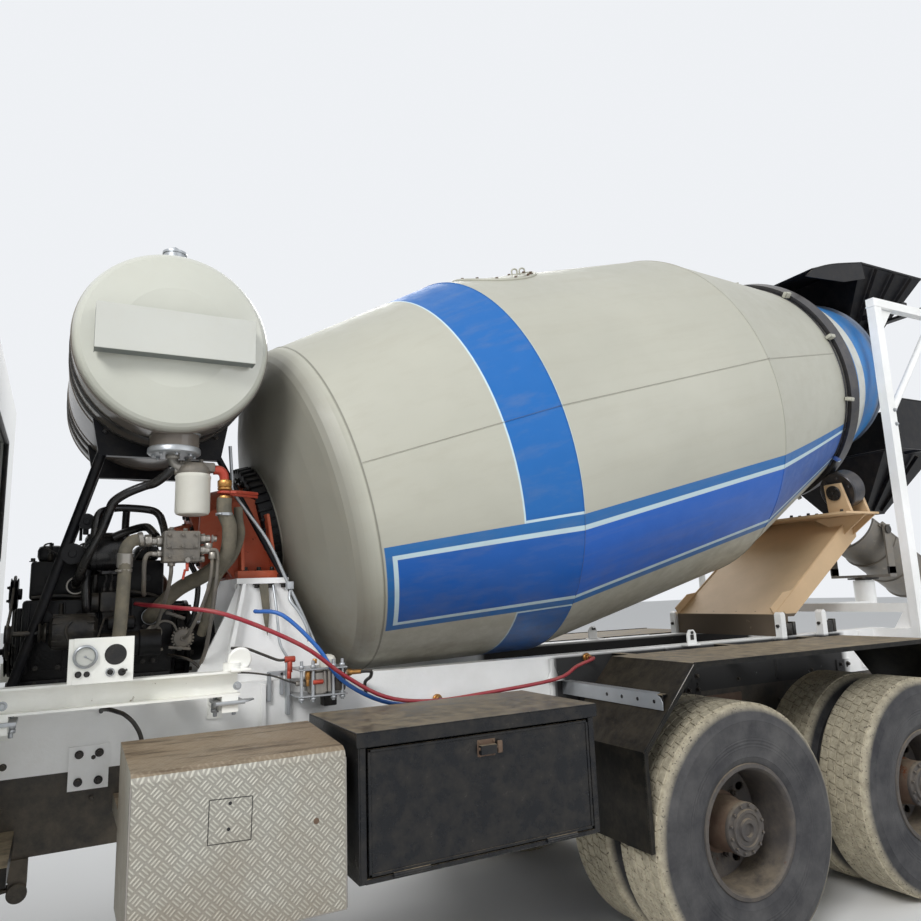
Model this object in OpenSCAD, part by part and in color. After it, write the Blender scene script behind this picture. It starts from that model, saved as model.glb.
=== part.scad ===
// Concrete mixer truck: a three-axle chassis with an inclined drum on two
// pedestals, driven by its own open engine behind the cab.
// Frame: the truck faces -X, +Z is up, the ground is Z = 0, and the origin is
// under the middle of the whole vehicle. Its left side is -Y.

/* [Vehicle] */
// Length from the bumper to the end of the chute
overall_l = 8400; // [8300:10:8500]
// Front axle, measured from the middle of the vehicle
front_axle_x = -2850; // [-2900:10:-2820]
// First rear axle, measured from the middle of the vehicle
rear_axle_x = 760; // [750:5:780]
// Distance between the two rear axles
bogie_span = 1350; // [1340:5:1400]

/* [Wheels] */
// Radius of a tyre
tyre_r = 555; // [530:5:560]
// Width of a tyre
tyre_w = 300; // [270:5:305]
// Radius of the rim's flange
rim_r = 286; // [260:2:300]
// Middle of an outer rear tyre, from the middle of the vehicle
rear_outer_y = 1078; // [1072:2:1090]
// Distance between the two tyres of a pair
twin_pitch = 346; // [330:2:360]
// Middle of a front tyre, from the middle of the vehicle
front_tyre_y = 1040; // [1020:5:1050]

/* [Chassis] */
// Half the width of the frame, to the rails' outer faces
frame_y = 430; // [415:5:440]
// Height of the rails' top faces
rail_top = 1040; // [1020:5:1050]
// Height of a chassis rail
rail_h = 280; // [260:5:300]
// Height of the mixer's own frame on top of the rails
subframe_h = 272; // [250:2:280]

/* [Drum] */
// Middle of the drum's front seam, along the vehicle
drum_x = -916; // [-928:2:-900]
// Height of the middle of the drum's front seam
drum_z = 2110; // [2102:2:2130]
// Slope of the drum's axis
drum_tilt = 15.33; // [15.2:0.01:15.8]
// Radius at the front seam
seam_r = 850; // [800:5:880]
// Radius of the barrel
barrel_r = 1076; // [1040:2:1090]
// Radius at the ring
ring_seat_r = 780; // [760:2:790]
// Radius of the mouth
mouth_r = 572; // [550:2:590]
// Length of the front cone
front_cone_l = 945; // [900:5:960]
// Length of the barrel
barrel_l = 1494; // [1440:2:1520]
// Length of the rear cone, up to the ring
rear_cone_l = 1098; // [1070:2:1120]
// Length of the neck, from the ring to the mouth
neck_l = 760; // [720:5:780]
// Thickness of the drum's plate
drum_wall = 8; // [6:1:12]

/* [Water tank] */
// Middle of the tank, along the vehicle
tank_x = -1682; // [-1720:2:-1650]
// Height of the tank's middle
tank_z = 2713; // [2690:1:2760]
// Radius of the tank
tank_r = 380; // [340:2:400]
// Length of the tank, across the vehicle
tank_l = 1500; // [1300:10:1600]

/* [Boxes] */
// Outer face of the boxes beside the frame
box_y = 1220; // [1180:5:1230]
// Inner face of the tool box
tool_back_y = 675; // [665:5:700]
// Front end of the tool box
tool_x0 = -1108; // [-1130:2:-1060]
// Rear end of the tool box
tool_x1 = -95; // [-200:5:-80]
// Height of the tool box's floor
tool_z0 = 700; // [600:5:720]
// Height of the tool box's top
tool_z1 = 1190; // [1150:5:1200]
// Front end of the tread plate cover
tread_x0 = -1829; // [-1860:1:-1780]
// Rear end of the tread plate cover
tread_x1 = -1153; // [-1200:1:-1140]

/* [Cab] */
// Width of the cab
cab_w = 2460; // [2400:10:2500]
// Back of the cab
cab_back_x = -2330; // [-2380:2:-2320]
// Height of the cab's roof
cab_top = 2860; // [2780:5:2900]
// Thickness of the cab's walls and doors
wall = 50; // [40:1:60]

/* [Hidden] */

$fn = 48;
front_x = -overall_l / 2;
rear_x = overall_l / 2;
axle_z = tyre_r;
rear_axle_2_x = rear_axle_x + bogie_span;
rail_bottom = rail_top - rail_h;
rail_web = 8;
rail_flange = 80;
rail_front_x = front_x + 130;
rail_back_x = 3080;
deck_z = rail_top + subframe_h;
subframe_front_x = -2250;

// Places along the drum's axis, counted from its front seam
s_a = front_cone_l;
s_b = s_a + barrel_l;
s_ring = s_b + rear_cone_l;
s_mouth = s_ring + neck_l;
s_flange = -255;
ring_r = ring_seat_r + 46;
ring_w = 90;
roller_r = 130;
roller_w = 110;
roller_angle = 32;
gearbox_z = 1755;

// The cab's lines
cab_y = cab_w / 2;
cab_front_x = front_x + 60;
cab_low_z = 1100;
cab_split_z = 1290;
arch_z = 1222;
waist_z = 1760;
hinge_x = front_x + 180;
hinge_z = 1010;
door_x0 = cab_front_x + 190;
door_x1 = cab_back_x - 690;
door_z0 = 1240;
door_z1 = cab_top - 170;
window_z1 = cab_top - 300;
door_gap = 6;
kingpin_y = 920;
beam_y = 750;

module block(x0, x1, y0, y1, z0, z1)
    translate([x0, y0, z0]) cube([x1 - x0, y1 - y0, z1 - z0]);

module both_sides() {
    children();
    mirror([0, 1, 0]) children();
}

// Extrudes an outline drawn in X and Z, from y0 to y1
module across(y0, y1)
    translate([0, y1, 0]) rotate([90, 0, 0]) linear_extrude(y1 - y0) children();

// Extrudes an outline drawn in Y and Z, from x0 to x1
module along(x0, x1)
    translate([x0, 0, 0]) rotate([90, 0, 90]) linear_extrude(x1 - x0) children();

// A round bar between two points
module bar(p, q, r) {
    d = q - p;
    translate(p)
        rotate([0, acos(d.z / norm(d)), atan2(d.y, d.x)])
            cylinder(h = norm(d), r = r);
}

// A disc or shaft along Y
module across_round(x, z, y0, y1, r)
    translate([x, y1, z]) rotate([90, 0, 0]) cylinder(h = y1 - y0, r = r);

// Puts local +Z on the drum's axis, local +X below it, origin at the front seam
module on_drum(s)
    translate([drum_x, 0, drum_z]) rotate([0, 90 - drum_tilt, 0]) translate([0, 0, s]) children();

// Points on a circle in a profile
function arc_points(cx, cy, r, a0, a1, n) =
    [for (i = [0:n]) [cx + r * cos(a0 + (a1 - a0) * i / n), cy + r * sin(a0 + (a1 - a0) * i / n)]];

// A smooth curve through a route's points
function spline(p0, p1, p2, p3, t) =
    0.5 * ((2 * p1) + (p2 - p0) * t + (2 * p0 - 5 * p1 + 4 * p2 - p3) * t * t
    + (3 * p1 - p0 - 3 * p2 + p3) * t * t * t);
function route(points, n) = let (m = len(points) - 1) concat(
    [for (i = [0:m - 1]) for (k = [0:n - 1])
        spline(points[max(i - 1, 0)], points[i], points[i + 1], points[min(i + 2, m)], k / n)],
    [points[m]]);
function unit(v) = v / norm(v);

// A tube swept along a route, as one closed polyhedron
module swept_tube(points, r, sides) {
    m = len(points) - 1;
    rings = [for (i = [0:m])
        let (t = unit(points[min(i + 1, m)] - points[max(i - 1, 0)]),
            u = unit(cross(abs(t.z) > 0.9 ? [1, 0, 0] : [0, 0, 1], t)),
            v = cross(t, u))
        for (k = [0:sides - 1]) points[i] + r * (cos(360 * k / sides) * u + sin(360 * k / sides) * v)];
    faces = concat(
        [[for (k = [0:sides - 1]) k]],
        [for (i = [0:m - 1]) for (k = [0:sides - 1])
            [i * sides + k, (i + 1) * sides + k,
                (i + 1) * sides + (k + 1) % sides, i * sides + (k + 1) % sides]],
        [[for (k = [sides - 1:-1:0]) m * sides + k]]);
    polyhedron(rings, faces, convexity = 10);
}

// Chassis

module chassis_frame() color("dimgray") {
    chassis_rails();
    crossmembers();
}

module chassis_rails() both_sides() difference() {
    union() {
        along(rail_front_x, rail_back_x) translate([-frame_y, rail_bottom])
            difference() {
                square([rail_flange, rail_h]);
                translate([rail_web, rail_web]) square([rail_flange, rail_h - 2 * rail_web]);
            }
        across_round(hinge_x, hinge_z - 60, -frame_y - 30, -frame_y + rail_web, 42);
        block(hinge_x - 42, hinge_x + 42, -frame_y - 30, -frame_y, hinge_z - 60, hinge_z);
        across_round(hinge_x, hinge_z, -frame_y - 30, -frame_y, 42);
    }
    across_round(hinge_x, hinge_z, -frame_y - 40, -frame_y + 60, pin_r + 0.05);
}
pin_r = 20;

crossmember_x = [rail_front_x + 170, -1400, -300, 500, 1435, 2500, 3020];
module crossmembers() for (x = crossmember_x)
    across(-frame_y + rail_web, frame_y - rail_web) translate([x - 40, 900])
        difference() {
            square([80, 120]);
            translate([8, 8]) square([80, 104]);
        }

bracket_x = [-1985, -520, 420, 2520];
lug_x = [1968, 2360];
module subframe() color("white") {
    both_sides() {
        block(subframe_front_x, rail_back_x, -frame_y, -frame_y + 90, rail_top, deck_z);
        for (x = bracket_x)
            block(x, x + 140, -frame_y - 12, -frame_y, rail_top - 70, rail_top + 90);
        for (x = lug_x)
            across(-frame_y - 60, -frame_y - 12) translate([x, deck_z - 60])
                union() {
                    square([44, 190]);
                    translate([22, 190]) circle(r = 22);
                }
        for (x = lug_x)
            block(x - 8, x + 52, -frame_y - 12, -frame_y, deck_z - 90, deck_z);
    }
    for (x = [-2200, -1150, -100, 1000, 2000, 2900])
        block(x, x + 80, -frame_y + 90, frame_y - 90, rail_top + 40, deck_z - 110);
}

module front_bumper() color("white") difference() {
    union() {
        along(front_x, front_x + 110) polygon([[-1230, 470], [1230, 470], [1230, 800], [1180, 880],
            [-1180, 880], [-1230, 800]]);
        both_sides() block(front_x + 110, rail_front_x, -frame_y + 10, -frame_y + 70, 700, 860);
        both_sides() block(front_x + 110, step_x0 - 8, -cab_y, -cab_y + 40, 470, 790);
    }
    both_sides() translate([front_x - 1, -1080, 600]) cube([70, 300, 150]);
    block(front_x - 1, front_x + 70, -420, 420, 560, 700);
    translate([front_x - 1, 0, 790]) rotate([0, 90, 0]) cylinder(h = 200, r = tow_r);
}
tow_r = 22;

module engine_block() color("dimgray") {
    block(engine_x0, -2640, -300, 300, 660, 1330);
    block(-2640, -2130, -210, 210, 620, 1000);
    both_sides() for (x = [engine_x0 + 140, -2780])
        block(x, x + 80, -frame_y + rail_web, -300, 800, 870);
}

// Front suspension and axle

spring_y = 400;
module front_springs() both_sides() {
    across(-spring_y - 40, -spring_y + 40) polygon(concat(
        [for (i = [0:8]) [front_axle_x - 720 + 180 * i, 600 + 60 * pow((i - 4) / 4, 2)]],
        [for (i = [8:-1:0]) [front_axle_x - 720 + 180 * i, 640 + 22 * pow((i - 4) / 4, 2)]]));
    for (x = [-720, 720])
        block(front_axle_x + x - 30, front_axle_x + x + 30, -spring_y - 40, -spring_y + 40,
            661, rail_bottom);
}

module front_axle() color("dimgray") {
    front_springs();
    along(front_axle_x - 45, front_axle_x + 45) polygon([[-840, 500], [-700, 500], [-600, 440],
        [600, 440], [700, 500], [840, 500], [840, 600], [690, 600], [590, 560], [560, 540],
        [-560, 540], [-590, 560], [-690, 600], [-840, 600]]);
    both_sides() {
        difference() {
            translate([front_axle_x, -kingpin_y + 30, 495]) cylinder(h = 120, r = 52);
            translate([front_axle_x, -kingpin_y + 30, 490]) cylinder(h = 130, r = 25.05);
        }
        block(front_axle_x - 45, front_axle_x + 45, -860, -830, 500, 600);
        block(front_axle_x - 60, front_axle_x + 60, -spring_y - 42, -spring_y + 42, 540, 600);
    }
    bar([front_axle_x + 105, -780, 470], [front_axle_x + 105, 780, 470], 20);
    both_sides() block(front_axle_x + 40, front_axle_x + 125, -790, -760, 452, 512);
}

module knuckle(side) color("dimgray") mirror([0, side > 0 ? 1 : 0, 0]) {
    kp = -kingpin_y + 30;
    for (z = [[455, 494.7], [615.3, 655]]) {
        translate([front_axle_x, kp, z[0]]) cylinder(h = z[1] - z[0], r = 50);
        block(front_axle_x - 50, front_axle_x + 50, kp - 60, kp, z[0], z[1]);
    }
    translate([front_axle_x, kp, 455]) cylinder(h = 200, r = 25);
    block(front_axle_x - 50, front_axle_x + 50, kp - 90, kp - 58, 455, 655);
    across_round(front_axle_x, axle_z, -1150, kp - 88, 45);
    block(front_axle_x + 40, front_axle_x + 150, kp - 40, kp - 10, 455, 490);
}

module mudguard_arc(r0, r1, y0, y1, x, a0, a1)
    across(y0, y1) polygon(concat(arc_points(x, axle_z, r1, a0, a1, 20),
        arc_points(x, axle_z, r0, a1, a0, 20)));

module front_mudguards() color("dimgray") both_sides() {
    mudguard_arc(640, 648, -cab_y + 10, -880, front_axle_x, 2, 178);
    block(front_axle_x + 560, front_axle_x + 700, -880, -frame_y, 800, 860);
    block(front_axle_x - 640, front_axle_x - 580, -880, -frame_y, 790, 850);
    step_panel();
}

step_x0 = front_x + 190;
step_x1 = front_axle_x - 670;
module step_panel() {
    difference() {
        block(step_x0, step_x1, -cab_y + 10, -cab_y + 360, 520, 1080);
        block(step_x0 + 20, step_x1 - 20, -cab_y, -cab_y + 260, 600, 760);
        block(step_x0 + 20, step_x1 - 20, -cab_y, -cab_y + 300, 860, 1020);
    }
    block(step_x1 - 160, step_x1 - 20, -cab_y + 360, -frame_y, 860, 920);
}

// Rear axles

module rear_axles() color("dimgray") for (x = [rear_axle_x, rear_axle_2_x]) {
    across_round(x, axle_z, -560, 560, 78);
    across_round(x, axle_z, -1090, 1090, 60);
    across_round(x, axle_z, -120, 120, 215);
    translate([x, 0, axle_z + 45]) rotate([0, 90, 0]) cylinder(h = 2 * nose_l, r = 90, center = true);
    both_sides() block(x - 90, x + 90, -520, -440, 470, 640);
}

bogie_x = rear_axle_x + bogie_span / 2;
module rear_suspension() color("dimgray") both_sides() {
    across(-520, -frame_y - 10) union() {
        polygon([[rear_axle_x - 110, 640], [rear_axle_2_x + 110, 640], [rear_axle_2_x + 110, 675],
            [bogie_x + 350, 720], [bogie_x + 110, 800], [bogie_x - 110, 800], [bogie_x - 350, 720],
            [rear_axle_x - 110, 675]]);
        translate([bogie_x, 520]) circle(r = 70);
        translate([bogie_x - 45, 520]) square([90, 130]);
    }
    block(bogie_x - 180, bogie_x + 180, -frame_y - 10, -frame_y, 720, rail_top - 30);
    across_round(bogie_x, 520, -frame_y - 10, -300, 45);
}

nose_l = 250;
// A shaft with a flange at each end, between two points
module shaft(p, q, r) {
    bar(p, q, r);
    translate([p.x - 6, 0, p.z]) rotate([0, 90, 0]) cylinder(h = 14, r = 75);
    translate([q.x - 8, 0, q.z]) rotate([0, 90, 0]) cylinder(h = 14, r = 75);
}
module prop_shafts() color("dimgray") {
    shaft([-2123.7, 0, 800], [-908, 0, 720], 50);
    shaft([-889, 0, 720], [rear_axle_x - nose_l - 6.3, 0, axle_z + 45], 52);
    shaft([rear_axle_x + nose_l + 6.3, 0, axle_z + 45], [rear_axle_2_x - nose_l - 6.3, 0, axle_z + 45],
        40);
    block(-903, -895, -100, 100, 640, 900);
    block(-903, -895, -frame_y + rail_web, frame_y - rail_web, 900, 960);
}

fender_z = 1305;
fender_y1 = 1200;
fender_y0 = 620;
fender_t = 6;
function fender_line(d) = [
    [rear_axle_x - 585 + d, 560], [rear_axle_x - 585 + d, 962 - d * 0.4],
    [rear_axle_x - 252 + d * 0.4, fender_z - d], [rear_axle_2_x + 252 - d * 0.4, fender_z - d],
    [rear_axle_2_x + 585 - d, 962 - d * 0.4], [rear_axle_2_x + 585 - d, 560]];
module rear_fenders() color("black") both_sides() {
    across(-fender_y1, -fender_y0) polygon(concat(fender_line(0),
        [for (i = [5:-1:0]) fender_line(fender_t)[i]]));
    across(-fender_y1 - 4, -fender_y1) polygon(concat(fender_line(0),
        [for (i = [5:-1:0]) fender_line(20)[i]]));
    for (x = [rear_axle_x - 100, bogie_x, rear_axle_2_x + 60])
        block(x, x + 60, -fender_y0 - 200, -frame_y, fender_z - 66, fender_z - fender_t);
    difference() {
        block(rear_axle_x - 441, rear_axle_x - 433, -1180, -frame_y, 1118, 1180);
        for (y = [-1130, -1020, -910, -800])
            translate([rear_axle_x - 446, y, 1150]) rotate([0, 90, 0]) cylinder(h = 20, r = 9);
    }
    block(rear_axle_x - 441, rear_axle_x - 390, -1160, -640, 1174, 1180);
}

// Boxes beside the frame

module tread_plate_cover() color("silver") {
    tread_plate();
    for (x = [tread_x0 + 4, tread_x1 - 64])
        block(x, x + 60, -box_y + 200, -frame_y, 880, 940);
}
module tread_plate() difference() {
    across(-box_y, -767) polygon(concat([[tread_x0, 640], [tread_x1, 640]],
        [[tread_x1, 1180], [tread_x0, 1180]]));
    across(-box_y + 4, -766) polygon([[tread_x0 + 4, 639], [tread_x1 - 4, 639],
        [tread_x1 - 4, 1120], [tread_x0 + 4, 1120]]);
    along(tread_x0 - 1, tread_x1 + 1) polygon([[-box_y - 1, 1122], [-box_y + 8, 1140],
        [-box_y + 30, 1152], [-766, 1181], [-766, 1200], [-box_y - 1, 1200]]);
}

tool_t = 4;
module tool_box() color("black") {
    difference() {
        block(tool_x0, tool_x1, -box_y, -tool_back_y, tool_z0, tool_z1);
        block(tool_x0 + tool_t, tool_x1 - tool_t, -box_y - 1, -tool_back_y - tool_t,
            tool_z0 + tool_t, tool_z1 - tool_t);
    }
    difference() {
        block(tool_x0 + tool_t, tool_x1 - tool_t, -box_y, -box_y + tool_t, tool_z0 + tool_t,
            tool_z1 - tool_t);
        block(tool_x0 + 28, tool_x1 - 28, -box_y - 1, -box_y + 5, tool_z0 + 16, tool_z1 - 52);
    }
    block(tool_x0 - 6, tool_x1 + 6, -box_y - 12, -box_y, tool_z1 - 48, tool_z1);
    for (x = [tool_x0 + 120, tool_x1 - 180])
        block(x, x + 60, -tool_back_y, -frame_y, 860, 920);
    for (x = tool_hinge_x) {
        for (dx = [-30.3, 80.3]) {
            translate([x + dx, -box_y - 10, tool_z0 + 16]) rotate([0, 90, 0]) cylinder(h = 30, r = 8);
            block(x + dx, x + dx + 30, -box_y - 10, -box_y, tool_z0 + 8, tool_z0 + 15);
        }
        translate([x - 30, -box_y - 10, tool_z0 + 16]) rotate([0, 90, 0]) cylinder(h = 140, r = 4);
    }
}
tool_hinge_x = [tool_x0 + 150, tool_x1 - 230];

module tool_box_door() color("black") {
    block(tool_x0 + 34, tool_x1 - 34, -box_y - 4, -box_y + 4, tool_z0 + 22, tool_z1 - 58);
    for (x = tool_hinge_x) difference() {
        translate([x, -box_y - 10, tool_z0 + 16]) rotate([0, 90, 0]) cylinder(h = 80, r = 8);
        translate([x - 1, -box_y - 10, tool_z0 + 16]) rotate([0, 90, 0]) cylinder(h = 82, r = 4.05);
    }
    block((tool_x0 + tool_x1) / 2 - 34, (tool_x0 + tool_x1) / 2 + 34, -box_y - 28, -box_y - 4,
        tool_z1 - 128, tool_z1 - 96);
}

module fuel_tank() color("silver") {
    along(-1750, -550) translate([900, 850]) offset(r = 70) square([460, 360], center = true);
    for (x = [-1600, -740])
        block(x, x + 60, frame_y, 600, 780, 840);
    translate([-700, 1000, 1100]) cylinder(h = 70, r = 60);
}

module air_tanks() color("dimgray") {
    for (z = [760, 1010])
        translate([-450, 800, z]) rotate([0, 90, 0]) cylinder(h = 560, r = 115);
    for (x = [-380, 0])
        block(x, x + 40, frame_y, 800, 868, 902);
}

// Drum supports and drive

// White side plates carry the gearbox; their rear edges follow the drum's head
module front_pedestal() color("white") {
    both_sides() {
        across(-370, -350) polygon([[-1540, deck_z], [-1400, 1600], [-1350, gearbox_z - 25],
            [-1145, gearbox_z - 25], [-1020, 1480], [-900, deck_z]]);
        across(-frame_y + 8, -370) polygon([[-1420, deck_z], [-1340, gearbox_z - 25],
            [-1325, gearbox_z - 25], [-1400, deck_z]]);
    }
    along(-1360, -1340) polygon([[-350, 1600], [350, 1600], [350, gearbox_z - 25],
        [-350, gearbox_z - 25]]);
    across(-350, 350) polygon([[-1157, gearbox_z - 25], [-1145, gearbox_z - 25], [-1030, 1502],
        [-1042, 1502]]);
    block(-1360, -1130, -390, 390, gearbox_z - 25, gearbox_z);
}

module drum_gearbox() color("orangered") {
    on_drum(-560) cylinder(h = 270, r = 215);
    on_drum(-600) cylinder(h = 60, r = 150);
    on_drum(-720) cylinder(h = 130, r = 85);
    on_drum(-290) cylinder(h = 34.7, r = 280);
    both_sides() across(-260, -215) polygon([[-1345, gearbox_z], [-1135, gearbox_z],
        [-1165, 1900], [-1200, 2100], [-1300, 2140], [-1500, 2045], [-1505, 1930], [-1400, 1830]]);
    block(-1345, -1180, -260, 260, gearbox_z, gearbox_z + 40);
}

// The drum

module drum_section(s0, r0, s1, r1) on_drum(0) rotate_extrude($fn = 96)
    polygon([[r0 - drum_wall, s0], [r0, s0], [r1, s1], [r1 - drum_wall, s1]]);

knuckle_r = 140;
module drum_head() color("lightgray") on_drum(0) rotate_extrude($fn = 96)
    polygon(concat([[0, s_flange]],
        [[290, s_flange], [290, s_flange + 4]],
        [for (i = [1:4]) let (f = i / 4) [290 + 480 * f, s_flange + 4 + 70 * f + 60 * f * f]],
        [for (a = [50:-12.5:0]) [seam_r - knuckle_r + knuckle_r * cos(a), -knuckle_r * sin(a)]],
        [[seam_r - drum_wall, 0]],
        [for (a = [0:12.5:50]) [seam_r - knuckle_r + (knuckle_r - 8) * cos(a), -(knuckle_r - 8) * sin(a)]],
        [for (i = [3:-1:0]) let (f = i / 4) [290 + 480 * f, s_flange + 14 + 70 * f + 60 * f * f]],
        [[0, s_flange + 20]]));

module drum_front_cone() color("lightgray") drum_section(0, seam_r, s_a, barrel_r);
module drum_barrel() color("lightgray") drum_section(s_a, barrel_r, s_b, barrel_r);
module drum_rear_cone() color("lightgray") drum_section(s_b, barrel_r, s_ring, ring_seat_r);
module drum_neck() color("royalblue") drum_section(s_ring, ring_seat_r, s_mouth, mouth_r);

module drum_ring() color("dimgray") on_drum(0) rotate_extrude($fn = 96) {
    w = ring_w / 2;
    polygon([[ring_seat_r + 6 + 0.28 * w, s_ring - w], [ring_r, s_ring - w], [ring_r, s_ring + w],
        [ring_seat_r + 6 + 0.28 * w, s_ring + w]]);
}

// Two spiral blades inside the rear of the drum, swept as one closed band each
blade_h = 260;
function wall_r(s) = (s < s_ring
    ? barrel_r + (ring_seat_r - barrel_r) * (s - s_b) / rear_cone_l
    : ring_seat_r + (mouth_r - ring_seat_r) * (s - s_ring) / neck_l) - drum_wall - 0.3;
module blade(start) {
    n = 40;
    turns = 1.15;
    s0 = s_b + 40;
    s1 = s_mouth - 20;
    // Each section: how far in from the wall, then how far along the axis
    section = [[0, -16], [blade_h, 9], [blade_h, 17], [0, -8]];
    points = [for (i = [0:n])
        let (s = s0 + (s1 - s0) * i / n, a = start + 360 * turns * i / n)
        for (c = section) let (r = wall_r(s + c[1]) - c[0]) [r * cos(a), r * sin(a), s + c[1]]];
    faces = concat([[0, 1, 2, 3]],
        [for (i = [0:n - 1]) for (k = [0:3])
            [i * 4 + k, (i + 1) * 4 + k, (i + 1) * 4 + (k + 1) % 4, i * 4 + (k + 1) % 4]],
        [[for (k = [3:-1:0]) n * 4 + k]]);
    polyhedron(points, faces, convexity = 8);
}
module drum_blades() color("gray") on_drum(0) for (a = [0, 180]) blade(a);

roller_reach = ring_r + roller_r + 0.3;
module at_roller(side) on_drum(s_ring)
    translate([roller_reach * cos(roller_angle), side * roller_reach * sin(roller_angle), 0])
        children();
module roller(side) color("gray") at_roller(side) {
    cylinder(h = roller_w, r = roller_r, center = true);
    cylinder(h = roller_w + 110, r = 30, center = true);
}

// The rear pedestal leans back from a beam across the frame to a shelf under
// the ring: a front plate with two side plates, open at the back
platform_z = 2088;
pedestal_z = 1450;
pedestal_x0 = 1990;
pedestal_x1 = 2870;
module rear_pedestal() color("tan") {
    block(pedestal_x0, pedestal_x0 + 120, -frame_y, frame_y, deck_z, pedestal_z);
    difference() {
        across(-frame_y, frame_y) polygon([[pedestal_x0, pedestal_z - 20], [pedestal_x0, pedestal_z],
            [pedestal_x1, platform_z], [pedestal_x1 + 40, platform_z],
            [pedestal_x1 + 40, platform_z - 140], [pedestal_x0 + 180, pedestal_z - 20]]);
        across(-frame_y + 12, frame_y - 12) polygon([[pedestal_x0 + 20, pedestal_z],
            [pedestal_x1 + 4, platform_z - 14], [pedestal_x1 + 60, platform_z - 14],
            [pedestal_x1 + 60, pedestal_z]]);
    }
    block(2560, pedestal_x1 + 40, -620, 620, platform_z, platform_z + 14);
    both_sides() difference() {
        at_roller(-1) for (z = [-84, 84])
            translate([0, 0, z]) linear_extrude(24, center = true)
                polygon([[-60, -60], [-60, 60], [190, 90], [190, -90]]);
        at_roller(-1) cylinder(h = 300, r = 30.05, center = true);
        block(2300, 3200, -700, 0, 1900, platform_z + 14);
    }
}

// The open engine behind the cab

module deck_engine() color("#202020") {
    block(-2180, -1600, -250, 250, deck_z + 30, 1690);
    block(-2160, -1640, -190, 190, 1690, 1850);
    for (i = [0:3])
        block(-2140 + 128 * i, -2040 + 128 * i, -150, 150, 1850, 1920);
    translate([-1965, -265, 1880]) rotate([0, 90, 0]) cylinder(h = 184, r = 85);
    translate([-2222, 0, 1720]) rotate([0, 90, 0]) cylinder(h = 62, r = 70);
    block(-1900, -1790, -335, -250, 1620, 1715);
    translate([-2180, 0, 1500]) rotate([0, -90, 0]) cylinder(h = 40, r = 110);
    translate([-2220, 0, 1500]) rotate([0, -90, 0]) cylinder(h = 30, r = 60);
    translate([-1600, 0, 1480]) rotate([0, 90, 0]) cylinder(h = 90, r = 190);
    translate([-1510, 0, 1480]) rotate([0, 90, 0]) cylinder(h = 120, r = 90);
    translate([-2080, -330, 1560]) rotate([0, 90, 0]) cylinder(h = 180, r = 70);
    block(-2000, -1960, -330, -250, 1500, 1560);
    translate([-1900, -340, 1500]) rotate([0, 90, 0]) cylinder(h = 240, r = 55);
    block(-1860, -1700, -320, -250, 1480, 1540);
    for (i = [0:3]) block(-2110 + 128 * i, -2050 + 128 * i, 190, 230, 1750, 1800);
    translate([-2130, 250, 1785]) rotate([0, 90, 0]) cylinder(h = 530, r = 38);
    translate([-1600, 262, 1600]) cylinder(h = 190, r = 37);
    block(-2080, -1700, -310, -250, 1380, 1440);
    across_round(-1760, 1660, -290, -190, 14);
}

module engine_frame() color("ivory") {
    both_sides() {
        along(-2290, -1412) translate([-beam_y, 1300]) difference() {
            square([70, 92]);
            translate([-1, 8]) square([58, 76]);
        }
        for (x = [-2240, -1480])
            block(x, x + 60, -frame_y - 10, -frame_y, 1180, deck_z);
        for (x = [-2240, -1480])
            block(x, x + 60, -beam_y, -frame_y - 10, 1240, 1300);
        translate([-1440, -beam_y + 26, 1392]) cylinder(h = 30, r = 34);
    }
    for (x = [-2150, -1660])
        block(x, x + 60, -beam_y + 70, beam_y - 70, deck_z, deck_z + 30);
    block(-2010, -1804, -beam_y - 46, -beam_y, 1392, 1545);
}

module hydraulic_pipes() color("#303030") {
    block(-1690, -1490, -600, -500, 1820, 1940);
    block(-1640, -1540, -500, -90, 1850, 1900);
    across_round(-1990, 1745, -250, -190, 36);
    across_round(-1700, 1600, -300, -250, 38);
    for (hose = suction_hoses)
        swept_tube(route(hose[1], 4), hose[0], 10);
}
// Each hose: its radius, then its route
suction_hoses = [
    [26, [[-1680, -560, 1870], [-1790, -560, 1860], [-1830, -570, 1780], [-1860, -600, 1560],
        [-1880, -640, 1420], [-1890, -650, 1402]]],
    [32, [[-1540, -560, 1930], [-1470, -560, 1900], [-1480, -540, 1790], [-1580, -470, 1720],
        [-1680, -360, 1650], [-1700, -270, 1600]]],
    [30, [[-1650.6, -560, 2209], [-1690, -560, 2209], [-1720, -560, 2200], [-1780, -555, 2170],
        [-1900, -545, 2110], [-1990, -530, 1980], [-2000, -420, 1830], [-1990, -230, 1745]]]];

module oil_filter() color("white") {
    translate([-1580, -560, 2012]) cylinder(h = 170, r = 70);
    translate([-1580, -560, 2182]) cylinder(h = 50, r = 56);
    block(-1650, -1540, -580, -540, 2190, 2228);
}

// Water tank

module tank_body() translate([tank_x, 0, tank_z]) rotate([90, 0, 0]) rotate_extrude($fn = 72)
    polygon(concat([[0, -tank_l / 2], [tank_r * 0.55, -tank_l / 2 + 12]],
        [for (a = [-60:15:0]) [tank_r - 60 + 60 * cos(a), -tank_l / 2 + 90 + 60 * sin(a)]],
        [for (a = [0:15:60]) [tank_r - 60 + 60 * cos(a), tank_l / 2 - 90 + 60 * sin(a)]],
        [[tank_r * 0.55, tank_l / 2 - 12], [0, tank_l / 2]]));
module water_tank() color("gainsboro") {
    tank_body();
    translate([tank_x, -560, tank_z + tank_r - 10]) cylinder(h = 60, r = 45);
    translate([tank_x + 24, -560, tank_z - tank_r - 70]) cylinder(h = 90, r = 98);
}

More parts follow.
